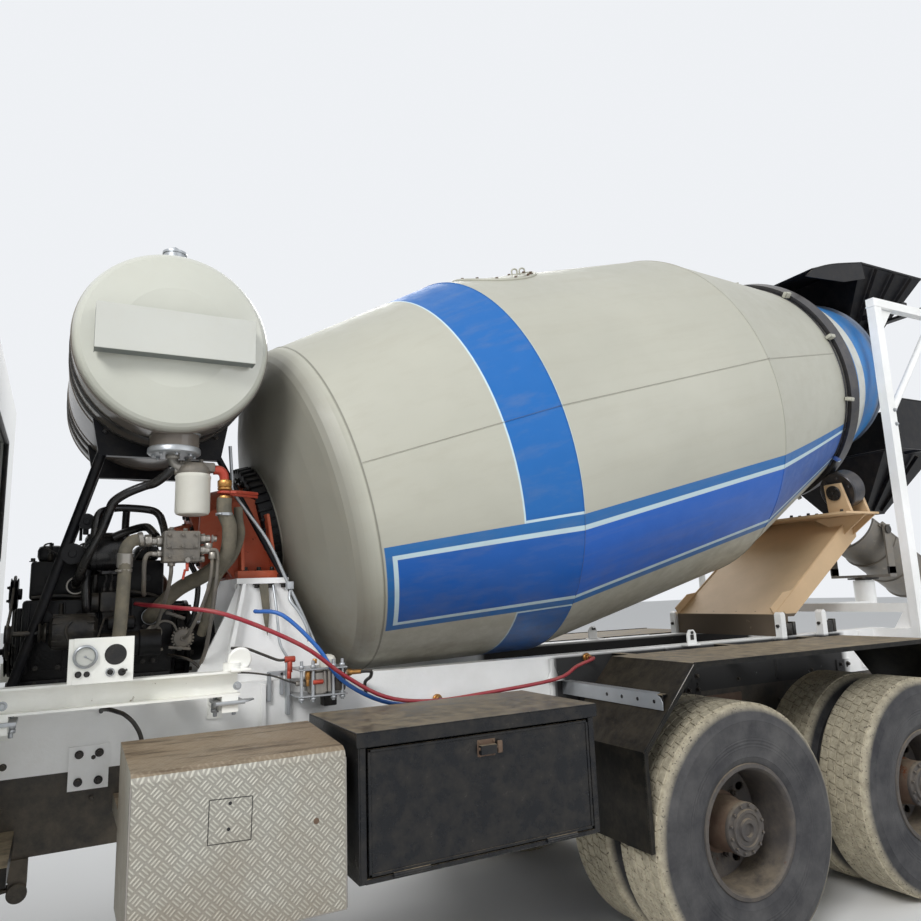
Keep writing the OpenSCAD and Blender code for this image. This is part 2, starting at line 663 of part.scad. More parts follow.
stand_y = 320;
saddle_z = tank_z - tank_r - 45;
module tank_stand() color("dimgray") both_sides() {
    difference() {
        across(-stand_y - 20, -stand_y + 20) polygon([[tank_x - 250, saddle_z],
            [tank_x + 250, saddle_z], [tank_x + 280, saddle_z + 160], [tank_x - 280, saddle_z + 160]]);
        across_round(tank_x, tank_z, -stand_y - 30, -stand_y + 30, tank_r + 0.6);
    }
    bar([tank_x - 235, -stand_y, saddle_z + 20], [-2205, -stand_y, deck_z + 12], 20);
    block(-2245, -2165, -stand_y - 50, -stand_y + 50, deck_z, deck_z + 16);
    bar([tank_x + 235, -stand_y, saddle_z + 30], [-1152, -368, gearbox_z + 10], 14);
    block(-1172, -1132, -388, -350, gearbox_z, gearbox_z + 16);
}

sign_w = 600;
sign_h = 184;
sign_depth = 56;
sign_edge = 14;
module sign_board() color("white") {
    translate([tank_x, -tank_l / 2 - sign_depth, tank_z - 6]) rotate([-90, 0, 0]) {
        linear_extrude(sign_edge) square([sign_w, sign_h], center = true);
        linear_extrude(sign_depth + 4) difference() {
            square([sign_w, sign_h], center = true);
            square([sign_w - 2 * sign_edge, sign_h - 2 * sign_edge], center = true);
        }
        cylinder(h = sign_depth, r = 30);
    }
}

module air_valves() color("silver") {
    block(-1010, -900, -500, -frame_y, 1240, 1400);
    translate([-960, -540, 1260]) cylinder(h = 170, r = 45);
    bar([-960, -540, 1330], [-820, -560, 1330], 22);
    block(-1060, -1010, -480, -frame_y, 1250, 1420);
    for (x = [-420, 480])
        across_round(x, hose_end_z(x), -470, -frame_y, 14);
    across_round(-1290, 1609, -450, -370, 14);
}
function hose_end_z(x) = x < 0 ? 1160 : 1290;

// Rear posts, hopper and chute

post_x = 2960;
post_y = 700;
arm_z = 3560;
module rear_posts() color("white") {
    both_sides() {
        block(post_x, post_x + 80, -post_y - 60, -post_y, 1200, arm_z);
        block(post_x, post_x + 80, -post_y, -frame_y, 1200, deck_z);
        block(post_x, 3760, -post_y - 60, -post_y, arm_z, arm_z + 60);
        bar([post_x + 40, -post_y - 30, 2750], [3700, -post_y - 30, arm_z + 10], 24);
    }
    block(post_x + 60, post_x + 80, -post_y, post_y, 1420, 1480);
    difference() {
        union() {
            block(post_x + 80, swivel_x, -60, 60, 1420, 1480);
            translate([swivel_x, 0, 1400]) cylinder(h = 240, r = 76);
        }
        translate([swivel_x, 0, 1390]) cylinder(h = 260, r = 45.05);
    }
}

// The hopper stands behind the mouth; its spout leads into the drum and its
// curved guard reaches forward over the neck
hopper_z = 3990;
throat_z = 3330;
module funnel(d) hull() {
    block(3140 + d, 3900 - d, -600 + d, 600 - d, hopper_z - 1 + d / 4, hopper_z + d / 4);
    block(3235 + d, 3440 - d, -270 + d, 270 - d, throat_z - d / 4, throat_z + 1 - d / 4);
}
module loading_hopper() color("#303030") {
    difference() {
        funnel(0);
        funnel(8);
    }
    both_sides() {
        across(-600, -594) polygon([[2480, 3760], [2560, 3825], [2700, 3885], [2860, 3930],
            [3140, hopper_z], [3160, 3860], [2900, 3790]]);
        for (x = [3300, 3560])
            block(x, x + 60, -post_y - 60, -416, arm_z + 60, arm_z + 80);
    }
    across(-594, 594) polygon([[2560, 3837], [2700, 3885], [2860, 3930], [3140, hopper_z],
        [3140, hopper_z - 6], [2862, 3924], [2703, 3879], [2566, 3833]]);
    across(-250, 250) polygon([[3440, throat_z - 2], [3400, 3290], [3020, 3140], [3020, 3148],
        [3400, 3299], [3430, throat_z + 6]]);
}

// The collector catches what leaves the mouth and feeds the chute
module scoop(d) hull() {
    block(3262 + d, 3880 - d, -500 + d, 500 - d, 2579 + d, 2580 + d);
    block(3450 + d, 3690 - d, -160 + d, 160 - d, 2150 - d, 2151 - d);
}
module discharge_collector() color("#303030") {
    difference() {
        scoop(0);
        scoop(6);
    }
    both_sides() {
        block(3450, 3880, -500, -494, 2580, 3000);
        block(3500, 3560, -post_y - 20, -500, 2560, 2580);
        block(post_x + 80, 3560, -post_y - 40, -post_y - 20, 2540, 2600);
    }
    block(3874, 3880, -494, 494, 2580, 3000);
}

module ladder() color("white") {
    for (y = [post_y + 60, 1120])
        block(post_x, post_x + 50, y, y + 30, 700, 2500);
    for (z = [750:260:2400])
        bar([post_x + 25, post_y + 90, z], [post_x + 25, 1120, z], 14);
}

module tail_bar() color("dimgray") {
    block(3100, 3180, -1150, 1150, 450, 560);
    both_sides() block(3080, 3100, -frame_y, -frame_y + 80, 450, rail_bottom + 60);
    both_sides() block(3180, 3210, -1140, -900, 600, 700);
    both_sides() block(3100, 3180, -1100, -1000, 560, 700);
}

swivel_x = 3560;
swivel_z = 1640;
chute_pin_z = 2020;
module chute_swivel() color("dimgray") {
    translate([swivel_x, 0, 1400]) cylinder(h = 241, r = 45);
    translate([swivel_x, 0, swivel_z + 0.3]) cylinder(h = 29.7, r = 60);
    block(swivel_x - 40, swivel_x + 40, -250, 250, swivel_z + 20, swivel_z + 40);
    both_sides() difference() {
        block(swivel_x - 40, swivel_x + 40, -250, -236, swivel_z + 40, chute_pin_z + 40);
        across_round(swivel_x, chute_pin_z, -260, -230, 20.05);
    }
}

chute_r = 220;
chute_slope = 28;
// A half-round trough, hung on its pin by two lugs
module chute() color("dimgray") translate([swivel_x, 0, chute_pin_z]) {
    both_sides() across_round(0, 0, -252, -chute_r + 6, 20);
    rotate([0, 90 + chute_slope, 0]) translate([0, 0, -140])
        linear_extrude(chute_l) difference() {
            circle(r = chute_r);
            circle(r = chute_r - 8);
            translate([-chute_r - 1, -chute_r - 1]) square([chute_r + 1 - 20, 2 * chute_r + 2]);
        }
}
// The chute ends at the rear of the vehicle
chute_l = 140 + (rear_x - swivel_x - 20 * sin(chute_slope)) / cos(chute_slope);

// Wheels

module tyre(x, y)
    translate([x, y, axle_z]) rotate([90, 0, 0]) rotate_extrude($fn = 72)
        polygon([[rim_r - 12, -tyre_w / 2 + 40], [rim_r + 10, -tyre_w / 2 + 18],
            [tyre_r - 130, -tyre_w / 2], [tyre_r - 60, -tyre_w / 2 + 8], [tyre_r - 12, -tyre_w / 2 + 30],
            [tyre_r, -tyre_w / 2 + 50], [tyre_r, tyre_w / 2 - 50], [tyre_r - 12, tyre_w / 2 - 30],
            [tyre_r - 60, tyre_w / 2 - 8], [tyre_r - 130, tyre_w / 2], [rim_r + 10, tyre_w / 2 - 18],
            [rim_r - 12, tyre_w / 2 - 40]]);

module rim(x, y, disc)
    translate([x, y, axle_z]) rotate([90, 0, 0]) rotate_extrude($fn = 72) {
        polygon([[rim_r - 24, -tyre_w / 2 + 30], [rim_r - 12, -tyre_w / 2 + 30],
            [rim_r - 12, tyre_w / 2 - 30], [rim_r - 24, tyre_w / 2 - 30]]);
        translate([110, disc]) square([rim_r - 24 - 110, 12]);
    }

module twin_wheel(x, side) color("#404040") mirror([0, side > 0 ? 1 : 0, 0]) {
    outer_y = -rear_outer_y;
    inner_y = outer_y + twin_pitch;
    tyre(x, outer_y);
    tyre(x, inner_y);
    rim(x, outer_y, -tyre_w / 2 + 40);
    rim(x, inner_y, tyre_w / 2 - 52);
    difference() {
        across_round(x, axle_z, outer_y - 60, inner_y - 70, 150);
        across_round(x, axle_z, outer_y - 20, inner_y, 60.05);
    }
}

module front_wheel(side) color("#404040") mirror([0, side > 0 ? 1 : 0, 0]) {
    tyre(front_axle_x, -front_tyre_y);
    rim(front_axle_x, -front_tyre_y, tyre_w / 2 - 60);
    difference() {
        across_round(front_axle_x, axle_z, -1185, -990, 115);
        across_round(front_axle_x, axle_z, -1155, -980, 45.05);
    }
}

// Cab

function cab_side_line() = [[cab_front_x, cab_low_z], [cab_front_x + 10, waist_z],
    [cab_front_x + 170, cab_top - 260], [cab_front_x + 230, cab_top - 120], [cab_front_x + 360, cab_top],
    [cab_back_x - 60, cab_top], [cab_back_x, cab_top - 60], [cab_back_x, arch_z],
    [step_x1, arch_z], [step_x1 - 120, cab_low_z]];

module quarter_line() polygon([[door_x1 + 90, waist_z + 60], [door_x1 + 90, window_z1],
    [cab_back_x - 120, window_z1], [cab_back_x - 120, waist_z + 60]]);
module windscreen_line(d) polygon([[-cab_y + 90 + d, waist_z + 60 + d], [cab_y - 90 - d, waist_z + 60 + d],
    [cab_y - 120 - d, window_z1 - d], [-cab_y + 120 + d, window_z1 - d]]);

module cab_shell() difference() {
    across(-cab_y, cab_y) polygon(cab_side_line());
    across(-cab_y + wall, cab_y - wall) offset(delta = -wall) polygon(cab_side_line());
    door_hole(door_gap);
    across(-cab_y - 1, cab_y + 1) quarter_line();
    along(front_x, cab_front_x + 300) windscreen_line(0);
    block(cab_back_x - 100, cab_back_x + 10, -600, 600, 1900, window_z1 - 60);
}

module door_hole(gap) both_sides()
    block(door_x0 - gap, door_x1 + gap, -cab_y - 1, -cab_y + wall + 1, door_z0 - gap, door_z1 + gap);

tunnel_y = 400;
tunnel_z = 1410;
tunnel_x0 = cab_front_x + 280;
engine_x0 = tunnel_x0 + 160;
module cab_floor() color("white") {
    difference() {
        intersection() {
            cab_shell();
            block(front_x, -2000, -2000, 2000, 0, cab_split_z);
        }
        block(tunnel_x0, cab_back_x + 10, -tunnel_y, tunnel_y, 0, cab_split_z + 10);
    }
    difference() {
        block(tunnel_x0 - 20, cab_back_x - wall, -tunnel_y - 20, tunnel_y + 20, arch_z + wall, tunnel_z);
        block(tunnel_x0, cab_back_x, -tunnel_y, tunnel_y, 1000, tunnel_z - 20);
    }
    both_sides() {
        block(hinge_x - 40, hinge_x + 40, -500, -470, hinge_z - 30, cab_low_z + 45);
        across_round(hinge_x, hinge_z, -500, -frame_y + 4, pin_r);
    }
}
module cab_walls() color("white") {
    difference() {
        intersection() {
            cab_shell();
            block(front_x, -2000, -2000, 2000, cab_split_z, cab_top - 140);
        }
        both_sides() for (z = door_hinge_z)
            translate([door_x0, -cab_y, z - 1]) cylinder(h = 62, r = 13);
    }
    both_sides() for (z = door_hinge_z) {
        for (dz = [-40.3, 60.3])
            translate([door_x0, -cab_y, z + dz]) cylinder(h = 40, r = 12);
        translate([door_x0, -cab_y, z - 40]) cylinder(h = 140, r = 5);
    }
}
door_hinge_z = [1450, door_z1 - 340];
module cab_roof() color("white") intersection() {
    cab_shell();
    block(front_x, -2000, -2000, 2000, cab_top - 140, 4000);
}
module cab_glass() color("lightblue") {
    intersection() {
        across(-cab_y, cab_y) polygon([[cab_front_x + 30, waist_z], [cab_front_x + 38, waist_z],
            [cab_front_x + 198, cab_top - 260], [cab_front_x + 190, cab_top - 260]]);
        along(front_x, cab_front_x + 300) windscreen_line(0.3);
    }
    block(cab_back_x - 30, cab_back_x - 24, -599.7, 599.7, 1900.3, window_z1 - 60.3);
    both_sides() across(-cab_y + 20, -cab_y + 26) offset(delta = -0.3) quarter_line();
}
mirror_x = cab_front_x + 40;
module cab_mirrors() color("#202020") both_sides() {
    for (z = [1950, window_z1 - 60]) {
        across_round(mirror_x + 80, z, -cab_y - 20, -cab_y, 16);
        bar([mirror_x + 80, -cab_y - 14, z], [mirror_x + 25, -cab_y - 110, z], 9);
    }
    block(mirror_x, mirror_x + 50, -cab_y - 190, -cab_y - 20, 1900, window_z1);
}
module cab_inside() color("dimgray") {
    for (y = [-680, 680]) {
        block(-3250, -2750, y - 230, y + 230, arch_z + wall, 1640);
        block(-2800, -2680, y - 240, y + 240, 1640, 2300);
    }
}

module door(side) color("white") mirror([0, side > 0 ? 1 : 0, 0]) {
    difference() {
        block(door_x0, door_x1, -cab_y, -cab_y + wall, door_z0, door_z1);
        block(door_x0 + 90, door_x1 - 80, -cab_y - 1, -cab_y + wall + 1, waist_z + 60, door_z1 - 90);
        for (z = door_hinge_z)
            translate([door_x0, -cab_y, z - 46]) cylinder(h = 152, r = 18);
    }
    for (z = door_hinge_z) difference() {
        union() {
            translate([door_x0, -cab_y, z]) cylinder(h = 60, r = 12);
            block(door_x0, door_x0 + 24, -cab_y, -cab_y + 10, z, z + 60);
        }
        translate([door_x0, -cab_y, z - 1]) cylinder(h = 62, r = 5.05);
    }
    block(door_x0 + 90, door_x1 - 80, -cab_y + 22, -cab_y + 28, waist_z + 60, door_z1 - 90);
}

// Air hoses

red_route = [[-1760, -290.7, 1660], [-1760, -310, 1660], [-1760, -330, 1660],
    [-1735, -420, 1655], [-1640, -580, 1640], [-1460, -700, 1605], [-1160, -690, 1470],
    [-960, -650, 1330], [-767, -640, 1222], [-550, -640, 1184],
    [-290, -640, 1191], [160, -600, 1216], [330, -550, 1262], [440, -530, 1286],
    [480, -500, 1290], [480, -485, 1290], [480, -470.8, 1290]];
blue_route = [[-1290, -450.8, 1609], [-1290, -465, 1609], [-1290, -480, 1609],
    [-1200, -560, 1590], [-1060, -600, 1450],
    [-960, -612, 1310], [-767, -600, 1200], [-550, -600, 1160], [-440, -550, 1155],
    [-420, -500, 1160], [-420, -485, 1160], [-420, -470.8, 1160]];
module red_hose() color("red") swept_tube(route(red_route, 3), 9, 8);
module blue_hose() color("blue") swept_tube(route(blue_route, 3), 9, 8);

chassis_frame();
subframe();
front_bumper();
engine_block();
front_axle();
front_mudguards();
rear_axles();
rear_suspension();
prop_shafts();
rear_fenders();
tread_plate_cover();
tool_box();
fuel_tank();
air_tanks();
front_pedestal();
drum_gearbox();
rear_pedestal();
deck_engine();
engine_frame();
hydraulic_pipes();
oil_filter();
water_tank();
tank_stand();
sign_board();
air_valves();
rear_posts();
loading_hopper();
discharge_collector();
ladder();
tail_bar();
drum_head();
drum_front_cone();
drum_barrel();
drum_rear_cone();
drum_neck();
drum_ring();
drum_blades();
roller(-1);  // roller_left
roller(1);  // roller_right
chute_swivel();
chute();
tool_box_door();
cab_floor();
cab_walls();
cab_roof();
cab_glass();
cab_mirrors();
cab_inside();
door(-1);  // door_left
door(1);  // door_right
knuckle(-1);  // knuckle_left
knuckle(1);  // knuckle_right
front_wheel(-1);  // front_wheel_left
front_wheel(1);  // front_wheel_right
twin_wheel(rear_axle_x, -1);  // twin_wheel_1_left
twin_wheel(rear_axle_x, 1);  // twin_wheel_1_right
twin_wheel(rear_axle_2_x, -1);  // twin_wheel_2_left
twin_wheel(rear_axle_2_x, 1);  // twin_wheel_2_right
red_hose();
blue_hose();
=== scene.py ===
# %% [markdown]
# A concrete mixer truck, dressed around its packed construction model. Lengths are in metres:
# the truck faces -X, its left side is -Y and the ground is Z = 0.

# %% Load the frame
import math

import bpy
from mathutils import Matrix, Vector


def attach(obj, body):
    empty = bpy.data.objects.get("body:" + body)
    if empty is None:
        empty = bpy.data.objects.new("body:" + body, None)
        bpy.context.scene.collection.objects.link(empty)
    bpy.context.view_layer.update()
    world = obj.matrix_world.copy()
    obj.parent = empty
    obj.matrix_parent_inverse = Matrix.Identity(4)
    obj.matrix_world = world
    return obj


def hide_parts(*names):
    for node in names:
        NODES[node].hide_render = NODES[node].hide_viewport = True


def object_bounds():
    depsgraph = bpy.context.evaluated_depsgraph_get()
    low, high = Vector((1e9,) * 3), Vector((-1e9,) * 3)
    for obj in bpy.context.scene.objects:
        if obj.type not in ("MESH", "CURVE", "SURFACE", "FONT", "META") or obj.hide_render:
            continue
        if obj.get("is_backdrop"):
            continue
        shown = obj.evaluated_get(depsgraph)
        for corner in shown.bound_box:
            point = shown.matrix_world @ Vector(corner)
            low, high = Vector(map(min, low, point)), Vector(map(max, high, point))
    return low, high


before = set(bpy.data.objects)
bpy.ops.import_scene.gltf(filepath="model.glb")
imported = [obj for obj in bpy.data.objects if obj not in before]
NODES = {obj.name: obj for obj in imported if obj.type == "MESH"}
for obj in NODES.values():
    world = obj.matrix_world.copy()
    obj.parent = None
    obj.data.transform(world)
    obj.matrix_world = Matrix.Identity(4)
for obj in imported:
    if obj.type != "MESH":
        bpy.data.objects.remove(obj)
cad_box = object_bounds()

# %% [markdown]
# The camera stands where the photographer stood: a little behind the cab, on the left side, at
# eye height, looking up and to the rear. Its right, up and forward directions are written as
# three angles, so that the view can be turned without touching its place.

# %% Camera
CAMERA_AT = Vector((-2.0479, -3.802, 1.6564))
YAW, PITCH, ROLL = 0.4921, 0.1799, -0.0368
FOCAL_PIXELS, PICTURE, CENTRE_OFF = 746.78, 921, -3.5


def aim_camera(camera):
    forward = Vector((math.sin(YAW) * math.cos(PITCH), math.cos(YAW) * math.cos(PITCH),
                      math.sin(PITCH)))
    right = Vector((math.cos(YAW), -math.sin(YAW), 0))
    up = right.cross(forward)
    tilted_right = math.cos(ROLL) * right + math.sin(ROLL) * up
    tilted_up = math.cos(ROLL) * up - math.sin(ROLL) * right
    turn = Matrix((tilted_right, tilted_up, -forward)).transposed().to_4x4()
    camera.matrix_world = Matrix.Translation(CAMERA_AT) @ turn


bpy.ops.object.camera_add()
camera = bpy.context.object
camera.data.sensor_width = 36
camera.data.lens = FOCAL_PIXELS * 36 / PICTURE
camera.data.shift_y = CENTRE_OFF / PICTURE
camera.data.clip_end = 200
aim_camera(camera)
bpy.context.scene.camera = camera
print("camera at", tuple(round(c, 2) for c in CAMERA_AT))

# %% [markdown]
# Each finish below is a small network of nodes. A Field is a value that changes over a surface,
# and fields are added and multiplied like numbers, so that a finish reads from its colour to its
# bump. The other helpers are the few patterns that the finishes are built from.

# %% Node helpers
class Field:
    """A value that changes over a surface: the socket that it comes out of."""

    def __init__(self, socket):
        self.socket, self.tree = socket, socket.id_data

    def __add__(self, other):
        return reckon("ADD", self, other)

    def __radd__(self, other):
        return reckon("ADD", other, self)

    def __sub__(self, other):
        return reckon("SUBTRACT", self, other)

    def __rsub__(self, other):
        return reckon("SUBTRACT", other, self)

    def __mul__(self, other):
        return reckon("MULTIPLY", self, other)

    def __truediv__(self, other):
        return reckon("DIVIDE", self, other)


def plug(value, entry):
    if isinstance(value, Field):
        value.tree.links.new(value.socket, entry)
    else:
        entry.default_value = value


def add(tree, kind, inputs, output=0, **settings):
    """The output of a new node, with a number, a colour or a field on each input that is named."""
    node = tree.nodes.new("ShaderNode" + kind)
    for key, value in settings.items():
        setattr(node, key, value)
    for key, value in inputs.items():
        plug(value, node.inputs[key])
    return Field(node.outputs[output])


def reckon(operation, a, b=0.0):
    tree = a.tree if isinstance(a, Field) else b.tree
    return add(tree, "Math", {0: a, 1: b}, operation=operation)


def between(value, low, high, at_low=0.0, at_high=1.0):
    """at_low below low, at_high above high, a slope between; high may be the smaller one."""
    return add(value.tree, "MapRange", {"Value": value, "From Min": low, "From Max": high,
                                        "To Min": at_low, "To Max": at_high})


def inside(value, low, high, edge):
    """1 where value lies between low and high, with a soft edge."""
    return between(value, low - edge, low + edge) * between(value, high + edge, high - edge)


def mixed(share, a, b):
    return add(share.tree, "Mix", {0: share, 6: a, 7: b}, 2, data_type="RGBA")


def cloud(places, scale, detail=4.0, roughness=0.6):
    return add(places.tree, "TexNoise", {"Vector": places, "Scale": scale, "Detail": detail,
                                         "Roughness": roughness}, "Fac")


def stretched(places, scale):
    return add(places.tree, "Mapping", {"Vector": places, "Scale": scale})


def split(places):
    """A place as its X, its Y and its Z."""
    return [Field(way)
            for way in add(places.tree, "SeparateXYZ", {"Vector": places}).socket.node.outputs]


def facing_up(places):
    return split(add(places.tree, "NewGeometry", {}, "Normal"))[2]


def tone(red, green, blue):
    """A colour given in the eight-bit steps of a screen, as the shader wants it."""
    def linear(step):
        c = step / 255
        return c / 12.92 if c <= 0.04045 else ((c + 0.055) / 1.055) ** 2.4
    return (linear(red), linear(green), linear(blue), 1)


def shaded(colour, share):
    return tuple(min(1, c * share) for c in colour[:3]) + (1,)


def new_finish(name):
    """A new material, its shader, and the place of each point on the vehicle."""
    material = bpy.data.materials.new(name)
    material.use_nodes = True
    tree = material.node_tree
    return material, tree.nodes["Principled BSDF"], add(tree, "TexCoord", {}, "Object")


def settle(shader, colour, roughness, height=None, strength=0.2, distance=0.004):
    """Bring the colour, the roughness and the relief to the shader."""
    plug(colour, shader.inputs["Base Color"])
    plug(roughness, shader.inputs["Roughness"])
    if height:
        relief = {"Height": height, "Strength": strength, "Distance": distance}
        plug(add(height.tree, "Bump", relief, "Normal"), shader.inputs["Normal"])


# %% [markdown]
# The studio is one pale floor that runs out of sight, a pale world and three soft lamps. The
# camera sees a white background through Light Path, so the lamps stay at a level at which a
# colour shows about as it is written.

# %% Floor, world and lamps
scene = bpy.context.scene
scene.view_settings.view_transform = "Standard"


def nothing_selected():
    bpy.ops.object.select_all(action="DESELECT")


nothing_selected()
bpy.ops.mesh.primitive_plane_add(size=120, location=(0, 0, -0.001))
floor = bpy.context.object
floor.name = "studio_floor"
floor_finish = bpy.data.materials.new("pale floor")
floor_finish.use_nodes = True
settle(floor_finish.node_tree.nodes["Principled BSDF"], (0.8, 0.8, 0.79, 1), 0.85)
floor.data.materials.append(floor_finish)
floor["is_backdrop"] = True

AMBIENT, BACKGROUND = 0.54, 1.0
scene.world = bpy.data.worlds.new("studio")
scene.world.use_nodes = True
sky = scene.world.node_tree
sky.nodes.clear()
ray = sky.nodes.new("ShaderNodeLightPath").outputs
mirrored = reckon("MAXIMUM", Field(ray["Is Glossy Ray"]), Field(ray["Is Transmission Ray"]))
seen = reckon("MAXIMUM", mirrored, Field(ray["Is Camera Ray"]))
dim = add(sky, "Background", {"Color": (0.93, 0.96, 1, 1), "Strength": AMBIENT})
bright = add(sky, "Background", {"Color": (0.86, 0.88, 0.91, 1), "Strength": BACKGROUND})
either = add(sky, "MixShader", {"Fac": seen, 1: dim, 2: bright})
plug(either, sky.nodes.new("ShaderNodeOutputWorld").inputs["Surface"])

# Where each lamp hangs, its size and its power; all look at the same place
LAMPS = {
    "key": ((-9.5, -9.0, 10.5), 5.0, 1500),
    "fill": ((8.0, -11.0, 6.0), 8.0, 330),
    "rear": ((5.0, 11.0, 9.0), 7.0, 900),
}
LIT_PLACE = Vector((0, 0, 1.8))
for name, (place, size, power) in LAMPS.items():
    bpy.ops.object.light_add(type="AREA", location=place)
    lamp = bpy.context.object
    lamp.name = name + "_lamp"
    lamp.data.size = size
    lamp.data.energy = power
    lamp.rotation_euler = (LIT_PLACE - Vector(place)).to_track_quat("-Z", "Y").to_euler()
print("studio ready with", len(LAMPS), "lamps")

# %% [markdown]
# Almost everything on a working mixer is a paint, a bare metal or a rubber with the same three
# things on it: slow changes of tone, dust lying on what faces up, and stains that break through
# in spots. One function makes all of them, and each finish says how much of each it has.

# %% Weathered surfaces
DUST, RUST = (176, 160, 134), (112, 62, 36)


def weathered(name, colour, roughness, metallic=0.0, dust=0.3, spots=0.0, spot_colour=RUST,
              spot_scale=9.0, bump=0.15, grain=70.0, splash=0.0, variation=0.12, coat=0.0,
              haze=0.45, lies_from=0.35, shine=0.5):
    material, shader, places = new_finish(name)
    broad, fine = cloud(places, 1.7), cloud(places, 14.0, 8.0, 0.7)
    plain = tone(*colour)
    base = mixed(between(broad, 0.3, 0.7), shaded(plain, 1 - variation),
                 shaded(plain, 1 + variation))
    lying = between(facing_up(places), lies_from, 0.97) * between(fine, 0.25, 0.6)
    film = between(fine, 0.42, 0.72) * haze
    wear = reckon("MAXIMUM", lying, film) * dust
    base = mixed(wear, base, tone(*DUST))
    if spots:
        patches = cloud(places, spot_scale, 9.0, 0.72)
        broken = between(patches, 0.74 - 0.3 * spots, 0.8 - 0.3 * spots)
        base = mixed(broken, base, tone(*spot_colour))
        wear = reckon("MAXIMUM", wear, broken)
    if splash:
        mud = between(split(places)[2], 1.3, 0.3) * between(cloud(places, 5.0, 8.0, 0.7), 0.35, 0.6)
        base = mixed(mud * splash, base, tone(*DUST))
    shader.inputs["Metallic"].default_value = metallic
    shader.inputs["Specular IOR Level"].default_value = shine
    shader.inputs["Coat Weight"].default_value = coat
    shader.inputs["Coat Roughness"].default_value = 0.12
    rough = between(wear, 0, 1, roughness, min(1, roughness + 0.4))
    settle(shader, base, rough, cloud(places, grain, 3.0), bump)
    return material

# %% [markdown]
# The drum is painted by its own measure: how far a point is along the axis and at which angle it
# lies around it. A Mapping node of the texture kind turns the place of a point into those two, so
# the blue band, the side panel with its pale outline and the weld seams stay on the plate when
# the drum turns.

# %% Drum paint
DRUM_SEAM = (-0.916, 0, 2.11)
DRUM_TILT = math.radians(15.33)
SEAM_A, SEAM_B, RING_AT, MOUTH_AT = 0.945, 2.439, 3.537, 4.297
BAND = (0.6586, 0.9446)
PANEL_BOTTOM, PANEL_EDGE = -41.5, 0.1
WELD_ANGLE = -97.3
DRUM_WHITE = tone(180, 179, 166)
BAND_BLUE, BORDER_BLUE = tone(8, 98, 172), tone(30, 104, 170)
FRONT_BLUE, REAR_BLUE, MOUTH_BLUE = tone(14, 90, 176), tone(16, 94, 190), tone(22, 84, 164)
OUTLINE = tone(196, 218, 226)


def drum_measure(places):
    """How far along the axis a place lies, at which angle, and the place as the drum sees it."""
    turn = {"Vector": places, "Location": DRUM_SEAM, "Rotation": (0, math.pi / 2 - DRUM_TILT, 0)}
    local = add(places.tree, "Mapping", turn, vector_type="TEXTURE")
    x, y, along = split(local)
    return along, reckon("ARCTAN2", y, x) * (180 / math.pi), local


def panel_top(along):
    height = -71.8 + between(along, 0, 0.95) * 2.3
    for start, stop, rise in ((0.95, 2.44, 2.0), (2.44, 3.56, 5.1)):
        height += between(along, start, stop) * rise
    return height


def striped(base, along, angle):
    """The blue band round the drum, and the blue panel on its side with two outlines."""
    below_top, above_bottom = angle - panel_top(along), PANEL_BOTTOM - angle

    def on_panel(from_top, from_bottom, from_seam, seam_edge):
        high = between(below_top, from_top, from_top + PANEL_EDGE)
        low = between(above_bottom, from_bottom, from_bottom + PANEL_EDGE)
        return high * low * between(along, from_seam, from_seam + seam_edge)

    band = inside(along, BAND[0], BAND[1], 0.001)
    base = mixed(inside(along, BAND[0] - 0.008, BAND[1] + 0.006, 0.001), base, OUTLINE)
    base = mixed(band, base, BAND_BLUE)
    upper_hem, lower_hem = inside(below_top, -0.75, 0, 0.04), inside(above_bottom, -0.7, 0, 0.04)
    base = mixed(reckon("MAXIMUM", band * upper_hem, band * lower_hem), base, OUTLINE)
    blue = mixed(between(along, SEAM_A - 0.002, SEAM_A + 0.002), FRONT_BLUE, REAR_BLUE)
    blue = mixed(between(along, SEAM_B, SEAM_B + 0.05), blue, MOUTH_BLUE)
    painted = mixed(on_panel(2.9, 2.1, 0.044, 0.002), BORDER_BLUE, OUTLINE)
    painted = mixed(on_panel(4.3, 3.3, 0.064, 0.002), painted, blue)
    return mixed(on_panel(-0.05, -0.05, 0.012, 0.004), base, painted)


def drum_finish():
    material, shader, places = new_finish("drum paint")
    along, angle, local = drum_measure(places)
    broad, fine = cloud(local, 1.1), cloud(local, 9.0, 8.0, 0.7)
    base = mixed(between(broad, 0.3, 0.7), shaded(DRUM_WHITE, 0.94), shaded(DRUM_WHITE, 1.05))
    base = striped(base, along, angle)
    # The dished head in front of the first seam is darkened to a grey brown: painted shade.
    base = mixed(between(along, -0.01, -0.09) * 0.62, base, tone(104, 101, 92))
    under = between(reckon("ABSOLUTE", angle), 62, 18)
    base = mixed(under * between(fine, 0.28, 0.62) * 0.55, base, tone(118, 106, 90))
    runs = cloud(stretched(local, (7, 7, 0.7)), 2.2, 6.0, 0.65)
    base = mixed(between(runs, 0.5, 0.78) * 0.16, base, tone(150, 140, 120))
    seam = None
    for place, half in ((0.0, 0.0035), (SEAM_A, 0.0016), (SEAM_B, 0.0014), (RING_AT - 0.09, 0.003)):
        line = inside(along, place - half, place + half, half * 0.6)
        seam = reckon("MAXIMUM", seam, line) if seam else line
    weld = inside(angle + cloud(local, 6.0) * 0.16, WELD_ANGLE - 0.03, WELD_ANGLE + 0.13, 0.05)
    seam = reckon("MAXIMUM", seam, weld * between(along, 0, 0.01))
    base = mixed(seam * 0.62, base, tone(70, 66, 58))
    height = cloud(local, 2.6, 2.0) * 3.0 + fine * 0.12 - seam * 0.3
    settle(shader, base, between(fine, 0.3, 0.75, 0.36, 0.6), height, 0.2, 0.02)
    return material


drum_paint = drum_finish()
print("drum paint has", len(drum_paint.node_tree.nodes), "nodes")

# %% [markdown]
# The neck behind the ring is blue with a pale stripe round it. The stripe is part of the same
# measure along the axis.

